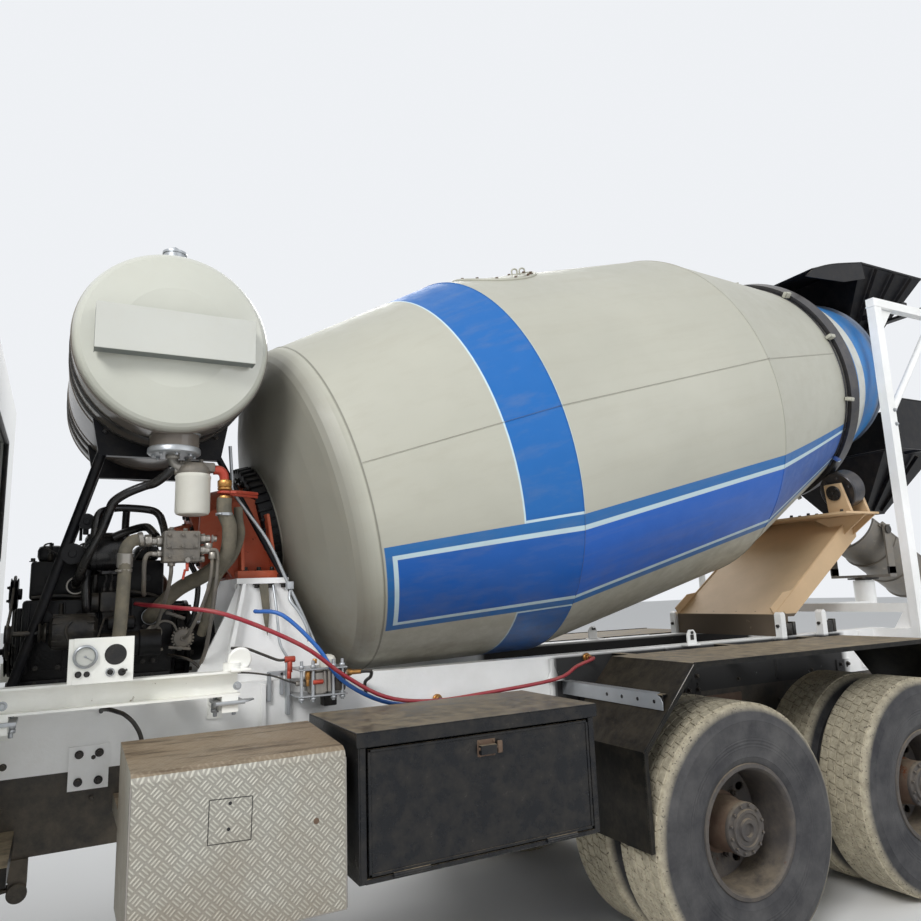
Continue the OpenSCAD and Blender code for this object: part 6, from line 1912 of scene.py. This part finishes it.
collector = ring_of_rods([(3.455, -0.165, 2.156), (3.685, -0.165, 2.156), (3.685, 0.165, 2.156),
                          (3.455, 0.165, 2.156)],
                         0.007)
collector += [rod((3.268, -0.496, 2.577), (3.45, -0.496, 2.577), 0.008, 12),
              rod((3.268, 0.496, 2.577), (3.45, 0.496, 2.577), 0.008, 12),
              rod((3.268, -0.496, 2.577), (3.268, 0.496, 2.577), 0.008, 12)]
collector += [rod((3.45, side * 0.497, 2.58), (3.45, side * 0.497, 2.996), 0.007, 12)
              for side in BOTH_SIDES]
collector += [rod((3.45, side * 0.497, 2.996), (3.877, side * 0.497, 2.996), 0.007, 12)
              for side in BOTH_SIDES] + [rod((3.877, -0.497, 2.996), (3.877, 0.497, 2.996), 0.007,
                                             12)]
for y in (-0.3, 0.0, 0.3):
    collector += [rib((3.878, y, 2.985), (3.878, y, 2.59), AFT, 0.02),
                  rib((3.876, y, 2.565), (3.692, y * 0.35, 2.175), (1, 0, -0.4))]
for side in BOTH_SIDES:
    for top, foot in ((3.42, 3.52), (3.64, 3.62)):
        collector.append(rib((top, side * 0.497, 2.56), (foot, side * 0.168, 2.18), (0, side, -0.7)))
wear(collector, "collector_rims", guard_black)

CHUTE_PIN = Vector((3.56, 0, 2.02))
CHUTE_ALONG, CHUTE_DOWN = Vector((0.88295, 0, -0.46947)), Vector((-0.46947, 0, -0.88295))


def in_trough(along, degrees, radius):
    a = math.radians(degrees)
    across = Vector((0, radius * math.sin(a), 0))
    return CHUTE_PIN + CHUTE_ALONG * along + CHUTE_DOWN * radius * math.cos(a) + across


beads = [rod(in_trough(-0.138, a, 0.216), in_trough(0.706, a, 0.216), 0.009, 12) for a in (-95, 95)]
for along in (-0.13, 0.16, 0.43, 0.698):
    beads.append(pipe([in_trough(along, a, 0.224) for a in range(-95, 96, 19)], 0.007, 2))
for side in BOTH_SIDES:
    beads.append(plate([CHUTE_PIN + Vector((0, side * 0.222, 0)) + CHUTE_ALONG * a + CHUTE_DOWN * d
                        for a, d in ((-0.075, 0.005), (0.075, 0.005), (0.04, -0.05), (-0.04, -0.05))],
                       (0, side * 0.01, 0), 0.002))
wear(beads, "chute_beads", chute_steel, "chute", "grey_steel")
swivel = [disc((3.56, side * 0.2505, 2.02), (0, side, 0), 0.034, 0.012, 32) for side in BOTH_SIDES]
swivel += [brick((3.515, side * 0.236, 1.682), (3.605, side * 0.25, 1.74), 0.003)
           for side in BOTH_SIDES]
swivel += [turned([(0.06, 0.0), (0.11, 0.0), (0.112, 0.003), (0.112, 0.011), (0.11, 0.014),
                   (0.06, 0.014)],
                  (3.56, 0, 1.645), UP, 48)]
swivel += [rod((3.6, 0.09, 1.656), (3.68, 0.14, 1.656), 0.009),
           turned([(0, 0), (0.013, 0.004), (0.015, 0.016), (0.011, 0.03), (0, 0.033)],
                  (3.68, 0.14, 1.656), (0.848, 0.53, 0), 20)]
wear(swivel, "chute_pins", dark_metal, "chute_swivel")

# %% [markdown]
# The ladder, the posts and the tail: sleeves and grips, gussets with bolts, two lamp clusters
# with three lenses each, and a number plate that stays blank.

# %% Ladder, posts and tail
grips = [rod((2.985, y, z), (2.985, y, z + 0.06), 0.0175) for y in (0.775, 1.135) for z in (2.44,)]
grips += [pipe([(2.985, 0.775, 2.49), (2.985, 0.775, 2.62), (3.02, 0.775, 2.7), (3.1, 0.775, 2.72),
                (3.1, 0.745, 2.72)],
               0.012, 5),
          pipe([(2.985, 1.135, 2.49), (2.985, 1.135, 2.7), (3.01, 1.1, 2.78), (3.05, 0.95, 2.8),
                (3.05, 0.76, 2.8)],
               0.012, 5)]
wear(grips, "ladder_grips", white_paint)
sleeves = [turned([(0.0145, -0.12), (0.0175, -0.118), (0.0175, 0.118), (0.0145, 0.12),
                   (0.0145, -0.12)],
                  (2.985, 0.955, z), RIGHT, 16)
           for z in (0.75, 1.01, 1.27, 1.53, 1.79, 2.05, 2.31)]
wear(sleeves, "rung_sleeves", trim_black, slot="black_steel")
webs = [plate([(3.0, -0.699, 1.313), (3.0, -0.56, 1.313), (3.0, -0.699, 1.52)], (0.01, 0, 0), 0.0015),
        plate([(3.038, -0.73, 3.555), (3.2, -0.73, 3.555), (3.038, -0.73, 3.36)], (0, 0.01, 0),
              0.0015),
        brick((2.945, -0.775, 1.195), (3.055, -0.428, 1.207), 0.002),
        brick((2.955, -0.765, 3.556), (3.05, -0.695, 3.566), 0.002)]
wear(on_both_sides(webs), "post_gussets", white_paint)
post_bolts = bolts([(x, -y, 1.207) for x in (2.951, 3.048) for y in (0.5, 0.62)], UP, 0.009) + bolts(
    [(3.021, -0.7605, z) for z in (2.7, 2.8)], LEFT, 0.01)
wear(on_both_sides(post_bolts), "post_bolts", galvanised)
TAIL_LENSES = ((1.122, 1.06, red_lens, "red_lenses"), (1.052, 0.996, amber_lens, "amber_lenses"),
               (0.988, 0.92, red_lens, "stop_lenses"))
housing = [brick((3.18, -1.144, 0.594), (3.209, -0.896, 0.706), 0.006)]
wear(on_both_sides(housing), "tail_housings", trim_black, slot="black_steel")
for outer, inner, lens, name in TAIL_LENSES:
    wear(on_both_sides([brick((3.2085, -outer, 0.606), (3.22, -inner, 0.694), 0.004)]), name, lens)
tail_plate = [brick((3.1795, -0.26, 0.458), (3.184, 0.26, 0.553), 0.0015)]
wear(tail_plate, "blank_tail_plate", sign_paint)
tail = [brick((3.18, -0.3, 0.563), (3.198, -0.22, 0.58), 0.003),
        brick((3.18, 0.22, 0.563), (3.198, 0.3, 0.58), 0.003)]
tail += bolts([(3.1805, y, z) for y in (-1.1, -0.7, -0.4, 0.4, 0.7, 1.1) for z in (0.48, 0.53)],
              AFT, 0.009)
wear(tail, "tail_fittings", dark_metal)

# %% [markdown]
# The cab lies outside the photograph's frame except for its rear edge, so it is kept plain:
# rubber seals round the glass, two wipers, a slatted grille, lamps set into the bumper, handles
# and steps.

# %% Cab front
def on_front(y, z, lift=0.0):
    """A place on the windscreen's leaning face, raised by lift."""
    return Vector((-4.13 + 0.1905 * (z - 1.76) - lift, y, z))


SEAL = [(-1.14, 1.82), (1.14, 1.82), (1.11, 2.56), (-1.11, 2.56)]
seal = [rod(on_front(*a, 0.001), on_front(*b, 0.001), 0.016, 12)
        for a, b in zip(SEAL, SEAL[1:] + SEAL[:1])]
seal += [rod((-2.3295, -0.6, z), (-2.3295, 0.6, z), 0.013, 10) for z in (1.9, 2.5)] + [
    rod((-2.3295, y, 1.9), (-2.3295, y, 2.5), 0.013, 10) for y in (-0.6, 0.6)]
wear(seal, "window_seals", trim_black, "cab")
quarter = [(-2.93, 1.82), (-2.93, 2.56), (-2.45, 2.56), (-2.45, 1.82)]
frames = [rod((a[0], -1.2295, a[1]), (b[0], -1.2295, b[1]), 0.012, 10)
          for a, b in zip(quarter, quarter[1:] + quarter[:1])]
frames += [rod((-3.965, -1.2305, 2.704), (-2.4, -1.2305, 2.704), 0.008, 10)]
wear(on_both_sides(frames), "side_window_seals", trim_black, "cab")
wipers = []
for y in (-0.98, 0.12):
    foot, tip = on_front(y, 1.8, 0.022), on_front(y + 0.5, 2.02, 0.022)
    wipers += [turned([(0, 0), (0.016, 0.002), (0.018, 0.016), (0.01, 0.026), (0, 0.028)],
                      on_front(y, 1.8), (-1, 0, 0.19), 20),
               rod(foot, tip, 0.006, 10),
               rod(on_front(y + 0.13, 1.88, 0.014), on_front(y + 0.85, 2.1, 0.014), 0.007, 8)]
wear(wipers, "wipers", trim_black, "cab")
grille = [brick((-4.1455, -0.8, 1.185), (-4.132, 0.8, 1.665), 0.004)]
for k in range(7):
    grille.append(plate([(-4.146, -0.775, 1.222 + 0.062 * k), (-4.166, -0.775, 1.208 + 0.062 * k),
                         (-4.168, -0.775, 1.214 + 0.062 * k), (-4.146, -0.775, 1.24 + 0.062 * k)],
                        (0, 1.55, 0), 0.0015))
grille += [brick((-4.17, y - 0.012, 1.195), (-4.144, y + 0.012, 1.655), 0.003)
           for y in (-0.788, 0.0, 0.788)]
wear(grille, "grille", trim_black, "cab")
corners = [plate([(-4.1385, -0.86, 1.2), (-4.1385, -1.2, 1.2), (-4.1345, -1.2, 1.66),
                  (-4.1345, -0.86, 1.66)],
                 (-0.006, 0, 0), 0.002)]
wear(on_both_sides(corners), "corner_panels", cab_paint, "cab")
marks = [brick((-4.1495, -1.16, 1.4), (-4.14, -1.06, 1.46), 0.003),
         brick((-3.925, -0.99, 2.752), (-3.89, -0.89, 2.772), 0.005)]
wear(on_both_sides(marks), "marker_lamps", amber_lens, "cab")
print("cab front done")

# %% [markdown]
# The bumper carries two round lamps a side, slats over its opening and the collar of its tow
# socket. Each door is a folded skin whose window is cut by a Boolean, with its pane, its seal, a
# handle and a lining inside, and the steps below it are slatted.

# %% Bumper, lamps and doors
bowls = [brick((-4.138, -1.078, 0.602), (-4.12, -0.782, 0.748), 0.003)] + [
    turned([(0.05, 0.0), (0.062, 0.0), (0.066, 0.03), (0.061, 0.033), (0.05, 0.012), (0.05, 0.0)],
           (-4.132, y, 0.675), FORE, 40)
    for y in (-1.0, -0.86)]
wear(on_both_sides(bowls), "lamp_bowls", dark_metal)
lenses = [turned([(0, 0.002), (0.058, 0.002), (0.06, 0.02), (0.045, 0.032), (0.022, 0.038),
                  (0, 0.04)],
                 (-4.136, y, 0.675), FORE, 40)
          for y in (-1.0, -0.86)]
wear(on_both_sides(lenses), "headlamp_lenses", lamp_glass)
slats = [brick((-4.15, -0.418, z), (-4.128, 0.418, z + 0.01), 0.002)
         for z in (0.572, 0.6, 0.628, 0.656, 0.684)]
slats += [turned([(0.022, 0.0), (0.036, 0.0), (0.039, 0.003), (0.036, 0.007), (0.022, 0.007),
                  (0.022, 0.0)],
                 (-4.1995, 0, 0.79), FORE, 32)]
slats += bolts([(-4.2005, y, z) for y in (-1.16, -0.62, 0.62, 1.16) for z in (0.52,)], FORE, 0.01)
wear(slats, "bumper_slats", dark_metal)
wear([brick((-4.205, -0.26, 0.485), (-4.2, 0.26, 0.595), 0.0015)], "blank_front_plate", sign_paint)

# The door skin: the window and the hinge pockets are cut out, the hinge eyes are added
skin = brick((-3.95, -1.23, 1.24), (-3.02, -1.18, 2.69), 0.003)
cuts = [brick((-3.86, -1.3, 1.82), (-3.1, -1.1, 2.6), 0.012)] + [
    rod((-3.95, -1.23, z - 0.046), (-3.95, -1.23, z + 0.106), 0.018, 32) for z in (1.45, 2.35)]
cutter = joined(cuts)
modified(skin, "BOOLEAN", object=cutter, operation="DIFFERENCE", solver="EXACT")
bpy.data.objects.remove(cutter)
eyes = [rod((-3.95, -1.23, z), (-3.95, -1.23, z + 0.06), 0.012, 24) for z in (1.45, 2.35)] + [
    brick((-3.95, -1.23, z), (-3.926, -1.22, z + 0.06), 0.001) for z in (1.45, 2.35)]
skins, panes = on_both_sides([smooth(skin)] + eyes), on_both_sides(
    [brick((-3.861, -1.208, 1.819), (-3.099, -1.202, 2.601), 0.0015)])
for word, one, pane in zip(("left", "right"), skins, panes):
    wear(one, word + "_door_skin", cab_paint, word + "_door", replaces=("door_" + word,))
    wear(pane, word + "_door_pane", cab_glass, word + "_door")
for side, word in ((-1, "left"), (1, "right")):
    y = side * 1.23
    trim = [brick((-3.875, side * 1.2285, 1.745), (-3.085, side * 1.2345, 1.79), 0.002)]
    window = [(-3.86, 1.82), (-3.1, 1.82), (-3.1, 2.6), (-3.86, 2.6)]
    trim += [rod((a[0], y, a[1]), (b[0], y, b[1]), 0.012, 10)
             for a, b in zip(window, window[1:] + window[:1])]
    trim += [brick((-3.225, side * 1.229, 1.61), (-3.075, side * 1.2335, 1.69), 0.002),
             rod((-3.205, side * 1.25, 1.655), (-3.095, side * 1.25, 1.655), 0.009, 12)]
    trim += [rod((x, side * 1.232, 1.655), (x, side * 1.25, 1.655), 0.007, 10) for x in (-3.2, -3.1)]
    wear(trim, word + "_door_trim", trim_black, word + "_door")
    lining = [brick((-3.93, side * 1.176, 1.3), (-3.04, side * 1.1805, 1.79), 0.002),
              brick((-3.6, side * 1.15, 1.52), (-3.18, side * 1.178, 1.58), 0.008)]
    wear(lining, word + "_door_lining", trim_black, word + "_door")
steps = [brick((-3.985, -1.226, z - 0.004), (-3.545, -0.975, z + 0.008), 0.002)
         for z in (0.602, 0.862)]
steps += [brick((-3.97 + 0.052 * k, -1.222, z), (-3.95 + 0.052 * k, -0.985, z + 0.0135), 0.0015)
          for z in (0.602, 0.862) for k in range(9)]
wear(on_both_sides(steps), "step_treads", dark_metal)
mirrors = [brick((-4.0505, -1.402, 1.925), (-4.046, -1.268, 2.3), 0.0015),
           brick((-4.0505, -1.402, 2.335), (-4.046, -1.268, 2.535), 0.0015)]
wear(on_both_sides(mirrors), "mirror_glass", bare_steel, "cab", "cab_trim")
rims = [rod((-4.052, -1.412, a), (-4.052, -1.412, b), 0.007, 8) for a, b in ((1.912, 2.548),)] + [
    rod((-4.052, -1.412, z), (-4.052, -1.258, z), 0.007, 8) for z in (1.912, 2.317, 2.548)]
wear(on_both_sides(rims), "mirror_rims", trim_black, "cab")

# %% [markdown]
# Inside the cab there are only the plain things that show through the glass.

# %% Cab inside
seats = []
for y in (-0.68, 0.68):
    seats += [brick((-3.25, y - 0.23, 1.272), (-2.75, y + 0.23, 1.52), 0.03),
              brick((-3.25, y - 0.23, 1.512), (-2.752, y + 0.23, 1.64), 0.045),
              brick((-2.8, y - 0.24, 1.6), (-2.68, y + 0.24, 2.12), 0.045),
              brick((-2.795, y - 0.15, 2.125), (-2.695, y + 0.15, 2.3), 0.04)]
wear(seats, "seats", seat_cloth, "cab", replaces=("cab_inside",))
dash = [plate([(-4.075, -1.17, 1.3), (-4.055, -1.17, 1.78), (-3.9, -1.17, 1.8),
               (-3.78, -1.17, 1.72), (-3.76, -1.17, 1.6), (-3.84, -1.17, 1.3)],
              (0, 2.34, 0), 0.012)]
dash += [brick((-3.8, -0.86, 1.7), (-3.74, -0.5, 1.815), 0.012),
         rod((-3.79, -0.68, 1.66), (-3.6, -0.68, 1.9), 0.028, 16)]
wear(dash, "dash", trim_black, "cab")
WHEEL, LOOK = Vector((-3.585, -0.68, 1.92)), Vector((0.62, 0, 0.785))
wheel = [turned([(0.225 + 0.015 * math.cos(math.radians(a)), 0.015 * math.sin(math.radians(a)))
                 for a in range(0, 361, 30)],
                WHEEL, LOOK, 48),
         disc(WHEEL - LOOK.normalized() * 0.03, LOOK, 0.055, 0.026, 32, 0.006)]
across = LOOK.orthogonal().normalized()
for spoke in (90, 210, 330):
    wheel.append(rod(WHEEL - LOOK.normalized() * 0.018,
                     WHEEL
                     + (Matrix.Rotation(math.radians(spoke), 4, LOOK.normalized()) @ across) * 0.222,
                     0.01, 10))
wear(wheel, "steering_wheel", trim_black, "cab")

# %% [markdown]
# Under the deck are the truck's own parts: leaf springs held by U-bolts, brake chambers, the fuel
# tank with its straps, two air tanks and the joints of the propeller shafts.

# %% Springs and axles
leaves = []
for k in range(4):
    leaves.append(pipe([(-2.85 + u * (0.7 - 0.1 * k), -0.4415,
                         0.633 - 0.009 * k + (0.03 - 0.002 * k) * u * u)
                        for u in (-1, -0.5, 0, 0.5, 1)],
                       0.0035, 3))
for dx in (-0.085, 0.085):
    for y in (-0.452, -0.348):
        leaves.append(rod((-2.85 + dx, y, 0.535), (-2.85 + dx, y, 0.69), 0.009, 10))
    leaves.append(rod((-2.85 + dx, -0.46, 0.668), (-2.85 + dx, -0.34, 0.668), 0.009, 10))
leaves += [brick((-2.955, -0.462, 0.64), (-2.745, -0.338, 0.656), 0.003)] + bolts(
    [(-2.85 + dx, y, 0.69) for dx in (-0.085, 0.085) for y in (-0.452, -0.348)], UP, 0.012)
for dx in (-0.72, 0.72):
    leaves.append(disc((-2.85 + dx, -0.4405, 0.648), LEFT, 0.034, 0.01, 24))
for x in (-1.0, 1.0):
    for k in range(4):
        reach = 0.74 - 0.13 * k
        leaves.append(rod((1.435, -0.5205, 0.7 + 0.022 * k),
                          (1.435 + x * reach, -0.5205, 0.662 + 0.02 * k), 0.004, 8))
    leaves += [brick((1.435 + x * 0.3, -0.526, 0.64), (1.435 + x * 0.34, -0.436, 0.735), 0.002)]
    for y in (-0.532, -0.428):
        leaves.append(rod((1.435 + x * 0.085, y, 0.5), (1.435 + x * 0.085, y, 0.836), 0.011, 10))
    leaves.append(brick((1.435 + x * 0.062, -0.545, 0.8), (1.435 + x * 0.108, -0.432, 0.818), 0.003))
leaves.append(turned([(0, 0.04), (0.03, 0.038), (0.036, 0.03), (0.052, 0.028), (0.06, 0.018),
                      (0.066, 0), (0, 0)],
                     (1.435, -0.52, 0.52), LEFT, 40))
wear(on_both_sides(leaves), "springs_and_bands", chassis_grey)
chamber = turned([(0, 0), (0.06, 0), (0.076, 0.01), (0.08, 0.03), (0.088, 0.036), (0.088, 0.046),
                  (0.08, 0.052), (0.082, 0.1), (0.088, 0.106), (0.088, 0.116), (0.08, 0.124),
                  (0.062, 0.15), (0.02, 0.158), (0, 0.158)],
                 ORIGIN, AFT, 40)
wear(copies(chamber, [(x, y, 0.585) for x in (0.86, 2.21) for y in (-0.33, 0.33)]),
     "brake_chambers", chassis_grey)
joints = []
for x, z in ((-0.9145, 0.72), (-0.8825, 0.72), (0.5035, 0.59), (1.0165, 0.59), (1.8535, 0.59)):
    joints.append(bolt_ring((x, 0, z), AFT, 0.06, 8, 0.007))
for x, z in ((-2.06, 0.797), (-0.96, 0.722), (-0.82, 0.715), (0.44, 0.596), (1.085, 0.59),
             (1.79, 0.59)):
    joints += [brick((x - 0.045, -0.062, z - 0.022), (x + 0.045, 0.062, z + 0.022), 0.01),
               brick((x - 0.045, -0.022, z - 0.062), (x + 0.045, 0.022, z + 0.062), 0.01)]
wear(joints, "shaft_joints", dark_metal)
covers = [turned([(0, 0.078), (0.05, 0.076), (0.11, 0.06), (0.165, 0.026), (0.192, 0),
                  (0.204, -0.004), (0.204, -0.016), (0, -0.016)],
                 (x + 0.19, 0, 0.545), AFT, 48)
          for x in (2.11,)]
covers += [bolt_ring((2.288, 0, 0.545), AFT, 0.196, 12, 0.008)]
wear(covers, "axle_cover", chassis_grey)

# %% [markdown]
# Straps and rims go round the fuel tank, and the air tanks get domed ends and bands. The radiator
# stands behind the grille, and a row of bolts runs along the rails.

# %% Tanks
TANK_LINE = [(0.9 + u, 0.85 + v)
             for u,
             v in ((0.23, -0.2525), (0.2797, -0.2297), (0.3025, -0.18), (0.3025, 0.18),
                   (0.2797, 0.2297), (0.23, 0.2525), (-0.23, 0.2525), (-0.2797, 0.2297),
                   (-0.3025, 0.18), (-0.3025, -0.18), (-0.2797, -0.2297), (-0.23, -0.2525),
                   (0.23, -0.2525))]
straps = [band([(x, y, z) for y, z in TANK_LINE], (0.055, 0, 0), 0.003) for x in (-1.597, -0.737)]
straps += [rod((x + 0.0275, 1.09, 1.108), (x + 0.0275, 1.15, 1.108), 0.008, 10)
           for x in (-1.597, -0.737)]
wear(straps, "fuel_tank_straps", bare_steel)
rims = [band([(x, 0.9 + (y - 0.9) * 1.006, 0.85 + (z - 0.85) * 1.006) for y, z in TANK_LINE],
             (0.012, 0, 0), 0.002)
        for x in (-1.752, -1.15, -0.56)]
wear(rims, "fuel_tank_rims", galvanised)
cap = [turned([(0, 0.022), (0.05, 0.02), (0.064, 0.012), (0.066, 0), (0.066, -0.03),
               (0.0605, -0.032)],
              (-0.7, 1.0, 1.168), UP, 40)]
cap += around(brick((-0.637, 0.996, 1.14), (-0.63, 1.004, 1.176), 0.0015), (-0.7, 1.0, 1.15), UP, 12)
wear(cap, "fuel_cap", trim_black, slot="grey_steel")
DOME = [(0, 0.03), (0.045, 0.027), (0.085, 0.016), (0.108, 0.002), (0.1155, -0.012),
        (0.1175, -0.014), (0.1175, -0.022), (0.1145, -0.022)]
dome, other = (turned(DOME, ORIGIN, way, 48) for way in (AFT, FORE))
air = copies(dome, [(0.11, 0.8, z) for z in (0.76, 1.01)]) + copies(
    other, [(-0.45, 0.8, z) for z in (0.76, 1.01)])
air += copies(hoop(ORIGIN, AFT, 0.115, 0.03, 0.003, 48),
              [(x, 0.8, z) for x in (-0.36, 0.02) for z in (0.76, 1.01)])
air += [nut((-0.17, 0.8, 0.64), UP, 0.014, 0.022), nut((-0.17, 0.8, 0.89), UP, 0.014, 0.016)]
air += [pipe([(-0.25, 0.8, 1.124), (-0.25, 0.8, 1.15), (-0.25, 0.7, 1.165), (-0.25, 0.46, 1.16)],
             0.008, 4)]
wear(air, "air_tank_fittings", chassis_grey)
core = [brick((-3.795, -0.34, 0.725), (-3.745, 0.34, 1.055), 0.003),
        brick((-3.805, -0.365, 1.045), (-3.735, 0.365, 1.078), 0.008),
        brick((-3.805, -0.365, 0.705), (-3.735, 0.365, 0.735), 0.008)]
core += [brick((-3.803, -0.338, 0.745 + 0.03 * k), (-3.795, 0.338, 0.751 + 0.03 * k), 0.001)
         for k in range(10)]
wear(core, "radiator", dark_metal)
rail_bolts = bolts([(x, -0.4305, z)
                    for x in (-3.4, -3.1, -2.2, -1.9, -1.45, -1.0, -0.55, -0.15, 0.25, 0.62, 0.95,
                              1.26, 1.61, 1.95, 2.28, 2.62, 2.9)
                    for z in (0.935, 1.085)],
                   LEFT, 0.009)
wear(on_both_sides(rail_bolts), "rail_bolts", chassis_grey)

# %% [markdown]
# The last cell measures the box of the finished model, lists it beside the construction model's box,
# and prints it.

# %% Measure and finish
visual_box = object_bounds()
sizes = [[list(map(float, corner)) for corner in box] for box in (cad_box, visual_box)]
print("box", [[round(c, 3) for c in corner] for corner in sizes[1]])
